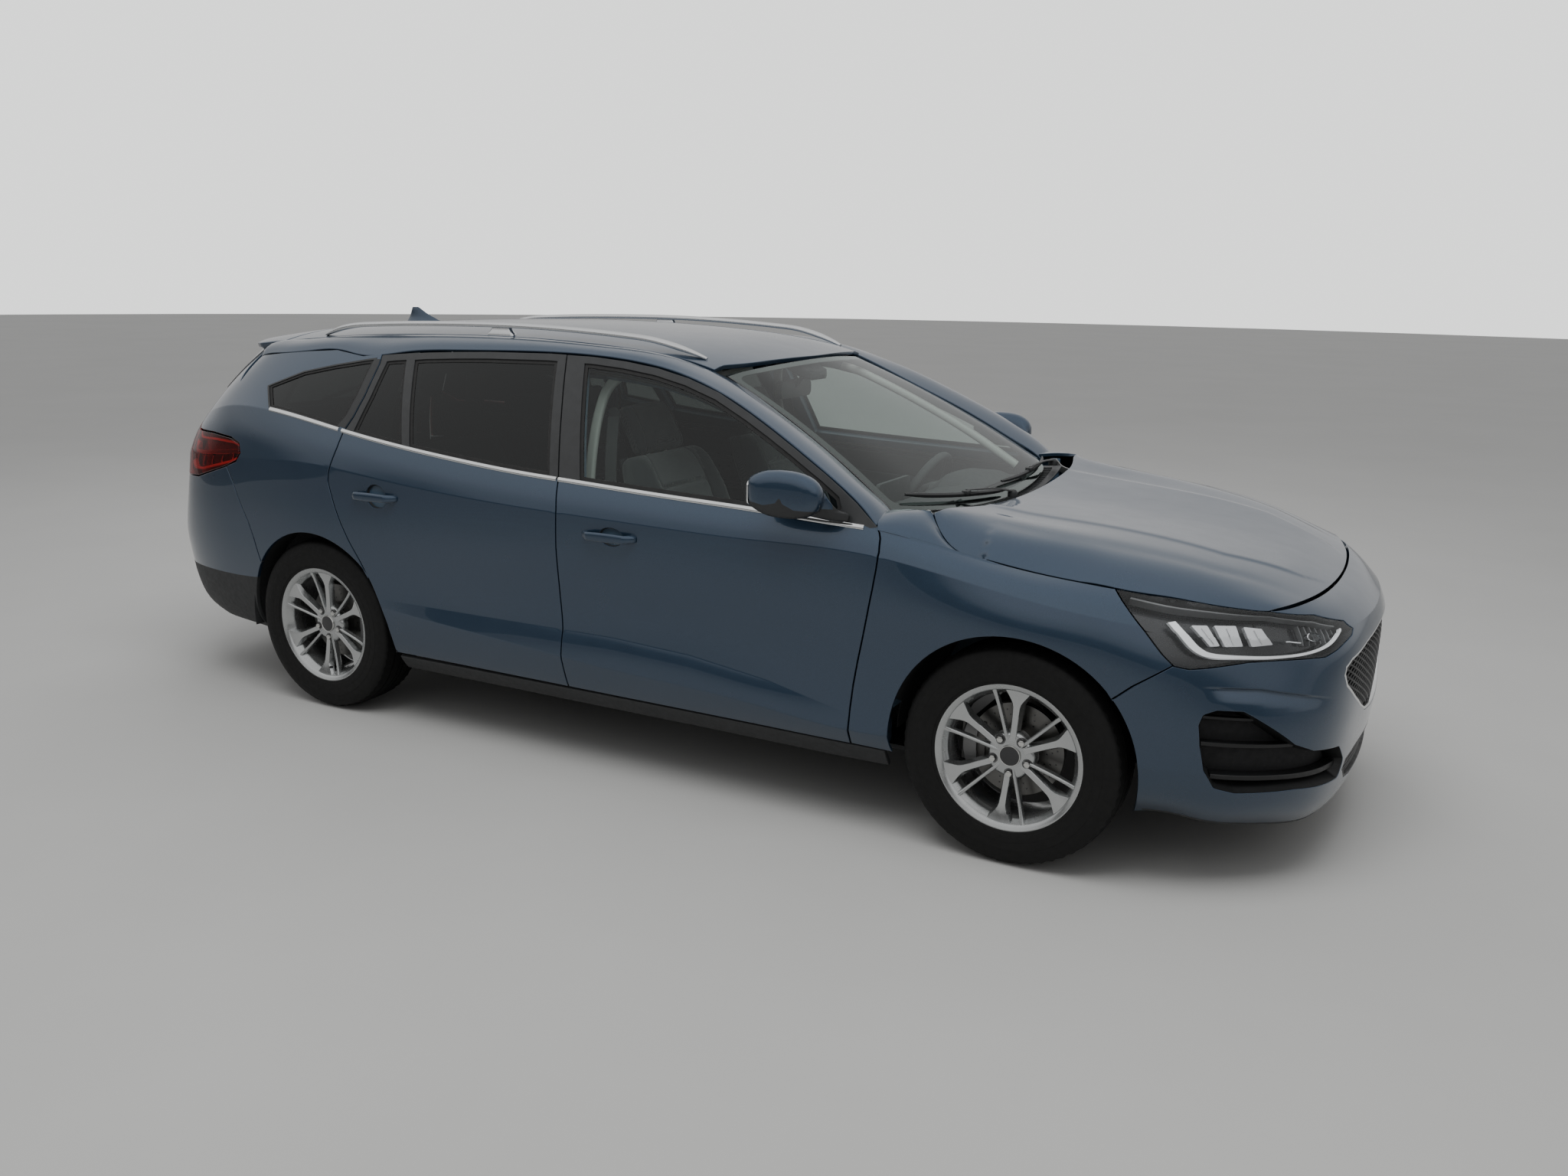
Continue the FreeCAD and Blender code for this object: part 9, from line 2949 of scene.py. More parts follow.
# steering wheel, column and stalks -----------------------------------------
AX = np.array([-.9063, 0, .4226])                     # towards the driver
RT_ = np.array([0, 1.0, 0])
UP_ = np.cross(RT_, AX) * -1
UP_ = UP_ if UP_[2] > 0 else -UP_
HUB = np.array([.680 - .9063 * .097, .370, .762 + .4226 * .097])
RC = HUB + AX * .040
it = []
R0 = .178
V, F = [], []
n1, n2 = 96, 16
for i in range(n1):
    a = 2 * pi * i / n1
    d = RT_ * cos(a) + UP_ * sin(a)
    flat_ = R0
    rr = .0148 + (.0022 if abs(cos(a)) > .86 and sin(a) > -.2 else 0) + .0006 * cos(a * 8)
    for j in range(n2):
        b = 2 * pi * j / n2
        V.append(RC + d * (flat_ + rr * .92 * cos(b)) + AX * rr * 1.08 * sin(b))
for i in range(n1):
    for j in range(n2):
        F.append((i * n2 + j, ((i + 1) % n1) * n2 + j, ((i + 1) % n1) * n2 + (j + 1) % n2, i * n2 + (j + 1) % n2))
it.append((*shift(solid_data(np.array(V), F, 80)), 0))
# hub pad: soft rounded trapezoid
hp = round_poly([(-.078, .030), (-.062, .062), (.062, .062), (.078, .030), (.060, -.058), (-.060, -.058)], .022, 5)
secs = []
for d_, k in ((-.028, .70), (-.012, .98), (.004, 1.0), (.016, .93), (.022, .72), (.0245, .40)):
    secs.append([RC + RT_ * y * k + UP_ * z * k + AX * (d_ - .012) for y, z in hp])
it.append((*shift(solid_data(*loft(secs), 50)), 1))
for path, w in ((((.070, .012), (.115, .022), (.172, .030)), .034), (((-.070, .012), (-.115, .022), (-.172, .030)), .034), (((.026, -.05), (.036, -.10), (.040, -.170)), .022), (((-.026, -.05), (-.036, -.10), (-.040, -.170)), .022)):
    P = catmull([RC + RT_ * y + UP_ * z + AX * -.010 for y, z in path], 6)
    up = AX
    it.append((*shift(solid_data(*sweep(P, rounded_rect(w, .016, .006), up), 50)), 2))
    if w > .03:
        c = RC + RT_ * path[1][0] * .93 + UP_ * path[1][1] + AX * .0005
        for dz in (-.006, .008):
            q = [c + RT_ * (dy_) + UP_ * (dz + dv_) for dy_, dv_ in rounded_rect(.022, .010, .003)]
            it.append((*shift(solid_data(*loft([q, [p + AX * .004 for p in q]]), 50)), 3))
it.append((*shift(solid_data(*tube([RC - AX * .045, RC - AX * .010], .045, 28), 50)), 1))
piece('steering_wheel_rim', it, [LEATHER, SOFTDASH, SATIN, BLACK], 'steering_wheel', node='steering_wheel')
it = []
cs = []
for d_, w, h in ((-.170, .060, .070), (-.120, .085, .095), (-.060, .100, .105), (-.012, .092, .098), (.0, .070, .078)):
    c = HUB + AX * d_
    cs.append([c + RT_ * y + UP_ * (z - .010) for y, z in rounded_rect(w, h, .022, 4)])
it.append((*shift(solid_data(*loft(cs), 50)), 0))
for s in (1, -1):
    c = HUB - AX * .020
    p = catmull([c + RT_ * s * .045, c + RT_ * s * .095 + UP_ * .006, c + RT_ * s * .150 + UP_ * .018 + AX * .006], 5)
    it.append((*shift(solid_data(*tube(p, .0075, 14, (0, 0, 1), scale=list(np.linspace(.85, 1.25, len(p)))), 60)), 0))
piece('steering_column_shroud', it, [DASHHARD], 'body')
# pedals
it = []
for y, w, z0 in ((.440, .052, .330), (.350, .070, .350), (.265, .046, .320)):
    it.append((*shift(solid_data(*tube([(.93, y, .56), (.90, y, .45), (.865, y, z0 + .03)], .008, 10), 60)), 1))
    it.append((*shift(solid_data(*sweep([(.868, y, z0 + .035), (.856, y, z0 + .033)], rounded_rect(w, .062 if y > .3 else .11, .008), (0, 0, 1)), 40)), 0))
piece('pedals', it, [SEAL, STEEL], 'body')

# ---------------------------------------------------------------------------
# Door shells and cards, door openings, pillars, linings, floors
# ---------------------------------------------------------------------------
CARDBLK = plastic_mat('card_plastic', (.026, .027, .029), .60, 700, .6)
CARDFAB = fabric_mat('card_fabric', (.070, .072, .077), scale=800)
SOFT_R = plastic_mat('armrest_vinyl', (.030, .031, .033), .55, 420, .6)


def side_piece(name, items, mats, body, sd, node=None):
    if sd < 0:
        items = [(*mirrored(i[:3]), i[3]) for i in items]
    return piece(name, items, mats, body, node=node)


def card_items(DV, glass, z0, z1, xa, xb, k):
    """Closed inner shell of a door."""
    it = []
    # shell between skin and card, with the window openings through it
    it.append((*panel_data(Side, inset(DV, .0085), holes=[inset(g, -.0005) for g in glass], off=-.0125, back=.034, depth=.008, r=.004, step=.03, creases=CR), 0))
    D2 = inset(DV, .024)
    low = D2[(D2[:, 1] < BELT_V + .03)]
    return it


def uv_of(x, z):
    return uvs([(x, z)])[0]


def card_outline(x0, x1, zb, zt0, zt1, arch=False):
    pts = [(x0, zb), (x1, zb), (x1, zt1), (x0, zt0)]
    return pts


for nm, sd in SIDES:
    for k, DV, GL in (('front', FD_UV, [FG_UV]), ('rear', RD_UV, [RG_UV, RL_UV])):
        bd = '%s_%s_door' % (nm, k)
        shell = [(*panel_data(Side, inset(DV, .0085), holes=[inset(g, -.0005) for g in GL], off=-.0125, back=.030, depth=.008, r=.004, step=.035), 0)]
        # seal bead round the inner face
        shell.append((*ring_data(inset(DV, .018), [(0, .0415), (.0025, .0455), (.006, .0470), (.0095, .0455), (.012, .0415), (.006, .040)], True, 60, step=.03), 1))
        side_piece(bd + '_shell', shell, [PAINT_IN, SEAL], bd, sd)
        # card: lower body part of the outline
        IN = inset(DV, .034)
        if k == 'front':
            x0, x1 = -.085, .880
            pts = [(-.060, .335), (.820, .335), (.870, .42), (.880, .60), (.855, .86), (.760, .900), (.30, .925), (-.090, .940), (-.085, .60)]
        else:
            x0, x1 = -.93, -.30
            pts = [(-.860, .400), (-.330, .345), (-.255, .42), (-.225, .60), (-.215, .945), (-.60, .955), (-1.10, .965), (-1.13, .86), (-1.05, .74), (-.975, .60), (-.905, .47)]
        CU = poly_uv(pts, .05)
        CU = round_poly(CU[::1], .012)
        it = [(*panel_data(Side, CU, off=-.0445, back=.022, depth=.010, r=.006, step=.04), 0)]
        # fabric insert
        zi = (.66, .80)
        if k == 'front':
            ins = [(.02, .655), (.66, .640), (.72, .70), (.70, .795), (.30, .815), (.02, .825)]
            arm = [(.05, .640), (.20, .640), (.40, .648), (.58, .668), (.66, .70)]
            hx = .60
            spk = (.70, .46)
            pk = [(.06, .375), (.56, .372), (.60, .45), (.54, .52), (.08, .53)]
        else:
            ins = [(-.94, .685), (-.34, .665), (-.30, .80), (-.60, .835), (-1.02, .85), (-1.04, .78)]
            arm = [(-.92, .660), (-.76, .660), (-.60, .665), (-.46, .678), (-.38, .70)]
            hx = -.42
            spk = (-.40, .47)
            pk = [(-.80, .455), (-.54, .42), (-.50, .50), (-.56, .56), (-.84, .57)]
        it.append((*panel_data(Side, round_poly(poly_uv(ins, .05), .01), off=-.0655, back=.006, depth=.006, r=.002, step=.05), 1))
        it.append((*panel_data(Side, round_poly(poly_uv(pk, .05), .012), off=-.0655, back=.018, depth=.006, r=.004, step=.05), 0))

        def at_depth(x, z, d):
            q = uvs([(x, z)])
            P, N = FRING.both(q[:, 0], q[:, 1])
            return P[0] - N[0] * d
        P = catmull([at_depth(x, z, .082) for x, z in arm], 5)
        n_ = len(P)
        it.append((*shift(solid_data(*sweep(P, rounded_rect(.052, .040, .015), (0, 0, 1), scale=[(min(1, .55 + i / 5, .62 + (n_ - 1 - i) / 6), 1) for i in range(n_)]), 50)), 2))
        # pull handle and release lever
        P = catmull([at_depth(hx + (.02 if k == 'front' else .0) - .10, .685, .074), at_depth(hx - .06, .715, .100), at_depth(hx + .02, .745, .102), at_depth(hx + .06, .775, .076)], 6)
        it.append((*shift(solid_data(*sweep(P, rounded_rect(.018, .024, .007), (0, 1, 0)), 50)), 3))
        xl = hx + (.055 if k == 'front' else .05)
        it.append((*shift(solid_data(*sweep(catmull([at_depth(xl - .055, .838, .074), at_depth(xl, .842, .078), at_depth(xl + .045, .842, .072)], 5), rounded_rect(.010, .022, .004), (0, 0, 1)), 50)), 4))
        it.append((*panel_data(Side, round_poly(poly_uv([(xl - .075, .815), (xl + .065, .815), (xl + .065, .868), (xl - .075, .868)], .03), .008), off=-.0660, back=.004, depth=.004, r=.002, step=.03), 3))
        # speaker grille: plate with concentric ridges
        cu = uvs([spk])[0]
        it.append((*panel_data(Side, ellipse(cu, .078, .078, 40), off=-.0660, back=.008, depth=.006, r=.003, step=.03), 3))
        for rr in (.066, .052, .038, .024):
            e1 = ellipse(cu, rr, rr, 36)
            it.append((*ring_data(e1, [(0, .0735), (.002, .0765), (.004, .0735), (.002, .072)], True, 60, step=.02), 3))
        # switch block on the front armrest
        q = at_depth(arm[3][0] - .01, arm[3][1] + .018, .086)
        it.append((*shift(box_data(q - np.array([.045, .014, .004]), q + np.array([.045, .014, .008]), .004)), 3))
        # belt-line moulding inside the glass
        bl = [at_depth(x, z, .046) for x, z in (((-.06, .952), (.20, .945), (.50, .930), (.78, .912)) if k == 'front' else ((-1.08, .985), (-.80, .975), (-.50, .965), (-.24, .955)))]
        it.append((*shift(solid_data(*sweep(catmull(bl, 6), rounded_rect(.020, .016, .006), (0, 0, 1)), 50)), 0))
        side_piece(bd + '_card', it, [CARDBLK, CARDFAB, SOFT_R, DASHHARD, SATIN], bd, sd)
        # hinges on the leading edge
        it = []
        hz = (.42, .78)
        xh = .870 if k == 'front' else -.262
        for z in hz:
            p = at_depth(xh - .012, z, .050)
            it.append((*shift(box_data(p + np.array([-.045, -.012, -.024]), p + np.array([.006, .012, .024]), .004)), 0))
            V, F = lathe([(-.026, .001), (-.026, .009), (.026, .009), (.026, .001)], p + np.array([.010, .0, 0]), 'z', 18)
            it.append((*shift(solid_data(V, F, 40)), 0))
        side_piece(bd + '_hinges', it, [STEEL], bd, sd)

# door openings: jamb band, sealing flange and bead; sill and pillars between them
for nm, sd in SIDES:
    it = []
    for DV in (FD_UV, RD_UV):
        O = DV
        # the jamb is deeper along the hinged edge, where the door's front edge swings in
        for pa, pb, an, mi in (([(-.006, .020), (-.0065, .052), (.002, .056), (.030, .058), (.033, .064), (.034, .098), (.020, .104), (-.006, .104), (-.012, .070)],
                                [(-.0150, .020), (-.0150, .112), (.002, .116), (.030, .118), (.033, .122), (.034, .136), (.020, .140), (-.006, .140), (-.020, .070)], 40, 0),
                               ([(.0285, .0545), (.0300, .0505), (.0340, .0495), (.0375, .0520), (.0380, .0600), (.0340, .0600)],
                                [(.0285, .1145), (.0300, .1105), (.0340, .1095), (.0375, .1120), (.0380, .1200), (.0340, .1200)], 60, 1)):
            r1 = ring_data(O, pa, True, an, step=.03)
            v1 = np.array(r1[0])
            xf = v1[(v1[:, 2] < .85) & (v1[:, 2] > .45)][:, 0].max()
            w = np.clip((v1[:, 0] - (xf - .155)) / .045, 0, 1) * np.clip((.960 - v1[:, 2]) / .07, 0, 1)
            w = w * w * (3 - 2 * w)
            q = np.nonzero(w > 0)[0]
            ys = FRING.at(*uvs([(v1[i, 0] - XS, v1[i, 2]) for i in q]).T)[:, 1]
            dp = np.clip((ys - np.abs(v1[q, 1]) - .026) / .022, 0, 1) * .062 * w[q]
            v1[q, 1] -= dp * np.sign(v1[q, 1])
            v1[q, 0] += .008 * w[q] * np.clip((v1[q, 0] - (xf - .012)) / .008, 0, 1)
            it.append((v1, r1[1], r1[2], mi))
    side_piece(nm + '_door_openings', it, [PAINT_IN, SEAL], 'body', sd)
    # sill inner cover
    it = []

    def sidep(x, z, d):
        q = uvs([(x, z)])
        P, N = FRING.both(q[:, 0], q[:, 1])
        return P[0] - N[0] * d
    pth = [(x, .770 * 1, .292) for x in np.linspace(-.93, .93, 30)]
    it.append((*shift(solid_data(*sweep(pth, rounded_rect(.085, .080, .018), (0, 0, 1)), 40)), 0))
    pth = [(x, .752, .338) for x in np.linspace(-.215, .80, 20)]
    it.append((*shift(solid_data(*sweep(pth, rounded_rect(.060, .010, .004), (0, 0, 1)), 40)), 1))
    pth = [(x, .752, .338) for x in np.linspace(-.86, -.335, 12)]
    it.append((*shift(solid_data(*sweep(pth, rounded_rect(.060, .010, .004), (0, 0, 1)), 40)), 1))
    # B-pillar lower and upper covers with belt
    B = catmull([(-.200, .735, .330), (-.200, .725, .55), (-.195, .715, .80), (-.195, .690, .95), (-.205, .640, 1.14), (-.215, .585, 1.30)], 6)
    it.append((*shift(solid_data(*sweep(B[:19], rounded_rect(.10, .030, .012), (0, 1, 0), scale=[(1, 1)] * 19), 50)), 1))
    B2 = catmull([(-.226, .700, .90), (-.230, .668, 1.05), (-.226, .634, 1.17), (-.205, .604, 1.26), (-.150, .580, 1.312), (-.075, .565, 1.332)], 7)
    it.append((*shift(solid_data(*sweep(B2, rounded_rect(.036, .022, .009), (0, 1, 0)), 50)), 2))
    bb = catmull([(-.180, .612, 1.165), (-.165, .655, 1.00), (-.140, .690, .75), (-.120, .700, .50), (-.110, .705, .36)], 6)
    it.append((*shift(solid_data(*sweep(bb, rounded_rect(.046, .0025, .001), (0, 1, 0)), 50)), 3))
    bb = [(-.196, .606, 1.18)]
    V, F = lathe([(0, .001), (0, .022), (.010, .020), (.014, .010), (.014, .001)], (-.183, .606, 1.175), 'y', 24, -1)
    it.append((*shift(solid_data(V, F, 40)), 1))
    # A-pillar cover
    A = catmull([(.830, .648, .930), (.640, .604, 1.054), (.430, .551, 1.170), (.240, .495, 1.262), (.150, .480, 1.290)], 6)
    it.append((*shift(solid_data(*sweep(A, rounded_rect(.050, .028, .012), (0, 0, 1)), 50)), 2))
    # C-pillar and cant rail trims
    Cp = catmull([(-1.20, .665, .90), (-1.23, .640, 1.05), (-1.235, .590, 1.20), (-1.215, .535, 1.325)], 6)
    it.append((*shift(solid_data(*sweep(Cp, rounded_rect(.10, .024, .010), (0, 1, 0)), 50)), 2))
    Dp = catmull([(-1.90, .640, .94), (-1.86, .600, 1.08), (-1.80, .555, 1.22), (-1.745, .520, 1.32)], 6)
    it.append((*shift(solid_data(*sweep(Dp, rounded_rect(.11, .024, .010), (0, 1, 0)), 50)), 2))
    cr_ = catmull([(.150, .505, 1.338), (-.10, .520, 1.362), (-.60, .522, 1.375), (-1.10, .515, 1.365), (-1.45, .500, 1.345), (-1.70, .485, 1.325)], 8)
    it.append((*shift(solid_data(*sweep(cr_, rounded_rect(.050, .024, .010), (0, 0, 1)), 50)), 2))
    # grab handles on the rail
    for xg in (-.02, -.72):
        p = catmull([(xg + .095, .500, 1.345), (xg + .075, .480, 1.318), (xg, .474, 1.308), (xg - .075, .480, 1.318), (xg - .095, .500, 1.345)], 6)
        it.append((*shift(solid_data(*sweep(p, rounded_rect(.016, .012, .005), (0, 1, 0)), 50)), 2))
    side_piece(nm + '_cabin_trim', it, [PAINT_IN, CARDBLK, PILLAR, BELT], 'body', sd)
    # side of the load area
    it = []
    LA = poly_uv([(-1.235, .46), (-1.235, .90), (-1.30, .965), (-1.86, .975), (-2.04, .93), (-2.06, .62), (-2.03, .50), (-1.80, .46)], .05)
    it.append((*panel_data(Side, round_poly(LA, .02), off=-.115, back=.014, depth=.010, r=.006, step=.05), 0))
    p = [(-1.30, .600, .958), (-2.00, .570, .958)]
    it.append((*shift(solid_data(*sweep(p, rounded_rect(.045, .030, .010), (0, 0, 1)), 40)), 1))
    side_piece(nm + '_load_side', it, [CARPET, CARDBLK], 'body', sd)

# headlining
hl = [(-.155, -.50), (-.155, .50), (1.74, .49), (1.74, -.49)]
panel('headlining', ROOF, round_poly([(-.140, -.47), (-.140, .47), (.3, .495), (1.2, .49), (1.735, .455), (1.735, -.455), (1.2, -.49), (.3, -.495)], .04), HEADL, 'body', slot='structure', off=-.030, back=.010, depth=.006, r=.003, step=.05)
# camera housing and inside mirror at the top of the windscreen, sun visors, reading lamp
it = []
secs = []
for x, w, h, z in ((.300, .05, .012, 1.292), (.285, .13, .036, 1.292), (.245, .15, .046, 1.305), (.190, .13, .040, 1.325), (.150, .08, .020, 1.345)):
    secs.append([(x, a, z + b) for a, b in rounded_rect(w, h, min(w, h) * .35)])
it.append((*shift(solid_data(*loft(secs), 50)), 0))
it.append((*shift(solid_data(*tube([(.235, 0, 1.30), (.205, 0, 1.262), (.190, 0, 1.245)], .009, 12), 60)), 0))
V, F = sweep([(.196, 0, 1.236), (.176, 0, 1.236)], rounded_rect(.245, .066, .024), (0, 0, 1), scale=[(.95, .92), (1, 1)])
it.append((*shift(solid_data(V, F, 40)), 0))
V, F = sweep([(.1765, 0, 1.236), (.1752, 0, 1.236)], rounded_rect(.232, .055, .020), (0, 0, 1))
it.append((*shift(solid_data(V, F, 40)), 1))
for s in (1, -1):
    vis = round_poly([(.140, s * .130), (.150, s * .440), (.010, s * .430), (.000, s * .150)], .02)
    zz = lambda x, y: float(ROOF.z(np.array([x]), np.array([y]))[0]) - .060
    secs = [[(x, y, zz(x, y)) for x, y in vis], [(x, y, zz(x, y) + .014) for x, y in vis]]
    it.append((*shift(solid_data(*loft(secs), 40)), 2))
it.append((*shift(box_data((.020, -.075, 1.372), (.110, .075, 1.392), .008)), 2))
piece('mirror_and_visors', it, [BLACK, REFLECT, PILLAR], 'body')

# carpets over the floors
def carpet_grid(x0, x1, y0, y1, zf, name, mats=None, th=.008, n=40, m=30):
    V, F = [], []
    xs, ys_ = np.linspace(x0, x1, n), np.linspace(y0, y1, m)
    for k in (0, 1):
        for x in xs:
            for y in ys_:
                V.append((x, y, zf(x, y) + (th if k == 0 else 0) + (.0012 * sin(x * 61 + y * 23) * sin(y * 47) if k == 0 else 0)))
    nm_ = n * m
    for i in range(n - 1):
        for j in range(m - 1):
            a = i * m + j
            F.append((a, a + m, a + m + 1, a + 1))
            F.append((nm_ + a, nm_ + a + 1, nm_ + a + m + 1, nm_ + a + m))
    loop = [i * m for i in range(n)] + [(n - 1) * m + j for j in range(1, m)] + [i * m + m - 1 for i in range(n - 2, -1, -1)] + [j for j in range(m - 2, 0, -1)]
    for a, b in zip(loop, loop[1:] + loop[:1]):
        F.append((a, nm_ + a, nm_ + b, b))
    return shift(solid_data(np.array(V), F, 50))


def front_floor(x, y):
    z = .2465
    t = np.clip((abs(y) - .600) / .075, 0, 1)
    z += .055 * t * t
    k = np.clip((x - .86) / .10, 0, 1)
    return z + .115 * k * k


it = [(*carpet_grid(-.34, .965, .100, .722, front_floor, 'c'), 0), (*mirrored(carpet_grid(-.34, .965, .100, .722, front_floor, 'c')), 0)]
it += [(*carpet_grid(-.90, -.345, .100, .722, lambda x, y: .2465, 'c', n=20), 0), (*mirrored(carpet_grid(-.90, -.345, .100, .722, lambda x, y: .2465, 'c', n=20)), 0)]
it.append((*carpet_grid(-.90, .69, -.100, .100, lambda x, y: .3335, 'c', n=50, m=10, th=.006), 0))
for s in (1, -1):
    mat_ = round_poly([(.05, s * .13), (.78, s * .13), (.84, s * .20), (.84, s * .56), (.80, s * .60), (.05, s * .60)], .03)
    secs = [[(x, y, front_floor(x, y) + .009) for x, y in mat_], [(x, y, front_floor(x, y) + .0155) for x, y in inset(mat_, .002)]] if s > 0 else None
    if s > 0:
        a = shift(solid_data(*loft(secs), 40))
        it += [(*a, 1), (*mirrored(a), 1)]
piece('cabin_carpet', it, [CARPET, fabric_mat('floor_mat', (.020, .020, .021), scale=500)], 'body')
it = [(*shift(solid_data(*loft([[(x, y, z) for x, y in round_poly([(-1.085, -.50), (-1.085, .50), (-2.02, .50), (-2.10, .44), (-2.10, -.44), (-2.02, -.50)], .03)] for z in (.619, .627)]), 40)), 0)]
for i in range(3):
    y = -.30 + .30 * i
    it.append((*shift(box_data((-2.04, y - .045, .626), (-2.00, y + .045, .632), .003)), 1))
it.append((*shift(box_data((-2.165, -.52, .585), (-2.105, .52, .628), .012)), 1))
piece('load_carpet', it, [CARPET, CARDBLK], 'body')
# luggage blind roller behind the seats
it = [(*shift(solid_data(*tube([(-1.135, -.565, .945), (-1.135, 0, .945), (-1.135, .565, .945)], .030, 24), 60)), 0)]
for s in (1, -1):
    it.append((*shift(box_data((-1.175, s * .560 - .012, .905), (-1.095, s * .560 + .012, .985), .010)), 1))
piece('luggage_blind', it, [CARDFAB, CARDBLK], 'body')
# inside of the tailgate
tin = yz_uv([(-.50, .62), (.50, .62), (.52, .80), (.53, 1.00), (-.53, 1.00), (-.52, .80)], False)
it = [(*panel_data(Side, round_poly(tin, .03), off=-.0335, back=.014, depth=.010, r=.005, step=.05), 0)]
# pull recess, near-black as painted shade
pull = yz_uv([(-.36, .66), (-.22, .66), (-.22, .70), (-.36, .70)], False)
it.append((*panel_data(Side, round_poly(pull, .01), off=-.048, back=.008, depth=.004, r=.002, step=.03), 1))
piece('tailgate_trim', it, [CARDBLK, BLACK_AND_SHADE], 'tailgate')

# ---------------------------------------------------------------------------
# Under the hood, hinge arms, inner hood, underside panels
# ---------------------------------------------------------------------------
BATT = plastic_mat('battery_case', (.016, .016, .017), .45, 600, .3)
COVER = plastic_mat('engine_cover', (.020, .021, .022), .50, 500, .5)
TANKW = plastic_mat('tank_pale', (.50, .50, .46), .45, 400, .1, .05)
HOSE = plastic_mat('hose_rubber', (.010, .010, .010), .7, 300, .3)
COPPER = metal_mat('cable_end', (.45, .30, .12), .35, .1)


def solid(V_F, ang=40):
    return shift(solid_data(*V_F, ang))


def slab(poly, z0, z1, r=.006, top=.96):
    q = round_poly(poly, r)
    c = q.mean(0)
    return shift(solid_data(*loft([[(x, y, z0) for x, y in q], [(x, y, z1 - .004) for x, y in q], [(*(c + (p - c) * top), z1) for p in q]]), 40))


# engine cover with ribs and oil cap
it = []
secs = []
for x, w, h in ((1.200, .38, .772), (1.215, .47, .800), (1.30, .50, .818), (1.45, .50, .820), (1.58, .47, .808), (1.645, .40, .786), (1.655, .34, .770)):
    secs.append([(x, y, z) for y, z in ((-w / 2, .735), (-w / 2, h - .020), (-w / 2 + .018, h - .004), (-w / 4, h), (0, h + .003), (w / 4, h), (w / 2 - .018, h - .004), (w / 2, h - .020), (w / 2, .735))])
it.append((*solid(loft(secs)), 0))
for k in range(5):
    y = -.16 + .08 * k
    p = [(1.235, y, .812), (1.30, y, .8225), (1.45, y, .8245), (1.57, y, .812)]
    it.append((*solid(sweep(catmull(p, 4), rounded_rect(.018, .010, .004))), 0))
it.append((*solid(lathe([(0, .001), (0, .026), (.018, .024), (.022, .018), (.022, .001)], (1.62, .19, .792), 'z', 28)), 1))
it.append((*solid(sweep(catmull([(1.66, .05, .74), (1.71, .03, .745), (1.75, -.06, .72), (1.76, -.15, .70)], 6), rounded_rect(.09, .07, .03, 4))), 1))
piece('engine_cover', it, [COVER, BLACK], 'body')
# battery with posts and clamps, fuse box, air box
it = [(*slab([(1.745, .150), (1.905, .150), (1.905, .395), (1.745, .395)], .480, .672, .008), 0)]
it.append((*slab([(1.750, .155), (1.900, .155), (1.900, .390), (1.750, .390)], .672, .690, .008), 1))
for yy, m in ((.185, 2), (.360, 3)):
    it.append((*solid(lathe([(0, .001), (0, .0095), (.018, .0085), (.018, .001)], (1.780, yy, .690), 'z', 18)), 2))
    it.append((*solid(sweep(catmull([(1.780, yy, .700), (1.77, yy + .02, .715), (1.72, yy + .02, .71), (1.69, yy - .02, .66)], 6), rounded_rect(.012, .012, .005))), 4))
it.append((*slab([(1.500, .455), (1.690, .455), (1.690, .600), (1.500, .600)], .700, .765, .012), 1))
it.append((*slab([(1.735, -.410), (1.925, -.410), (1.925, -.130), (1.735, -.130)], .530, .660, .015), 0))
it.append((*slab([(1.738, -.407), (1.922, -.407), (1.922, -.133), (1.738, -.133)], .664, .735, .020, .90), 1))
for x in (1.76, 1.90):
    for y in (-.402, -.140):
        it.append((*shift(box_data((x - .010, y - .010, .645), (x + .010, y + .010, .680), .003)), 2))
piece('battery_and_boxes', it, [BATT, COVER, STEEL, COPPER, HOSE], 'body')
# coolant bottle, brake reservoir and servo, washer cap, strut tops
it = [(*slab([(1.040, -.400), (1.180, -.400), (1.180, -.250), (1.040, -.250)], .690, .790, .03, .88), 0)]
it.append((*solid(lathe([(0, .001), (0, .030), (.020, .028), (.024, .020), (.024, .001)], (1.110, -.325, .788), 'z', 28)), 1))
it.append((*solid(lathe([(0, .001), (0, .075), (.030, .105), (.070, .105), (.095, .080), (.100, .030), (.150, .024), (.150, .001)], (1.020, .330, .640), 'x', 40)), 1))
it.append((*slab([(1.115, .285), (1.215, .285), (1.215, .375), (1.115, .375)], .690, .745, .012, .92), 0))
it.append((*solid(lathe([(0, .001), (0, .022), (.016, .020), (.016, .001)], (1.150, .330, .744), 'z', 24)), 1))
it.append((*solid(lathe([(0, .001), (0, .024), (.014, .022), (.018, .001)], (1.62, -.530, .735), 'z', 24)), 2))
it.append((*solid(tube([(1.62, -.53, .60), (1.62, -.53, .736)], .018, 20)), 0))
for s in (1, -1):
    it.append((*solid(lathe([(-.004, .001), (-.004, .060), (.006, .060), (.012, .040), (.016, .026), (.030, .022), (.034, .012), (.034, .001)], (1.350, s * .560, .800), 'z', 40)), 3))
    for k in range(3):
        a = 2 * pi * k / 3 + .5
        it.append((*solid(lathe([(0, .001), (0, .008), (.010, .008), (.010, .001)], (1.350 + .048 * cos(a), s * .560 + .048 * sin(a), .804), 'z', 6), 20), 3))
piece('reservoirs_and_strut_tops', it, [TANKW, BLACK, plastic_mat('washer_cap', (.03, .09, .24), .4, 600, .1), STEEL], 'body')
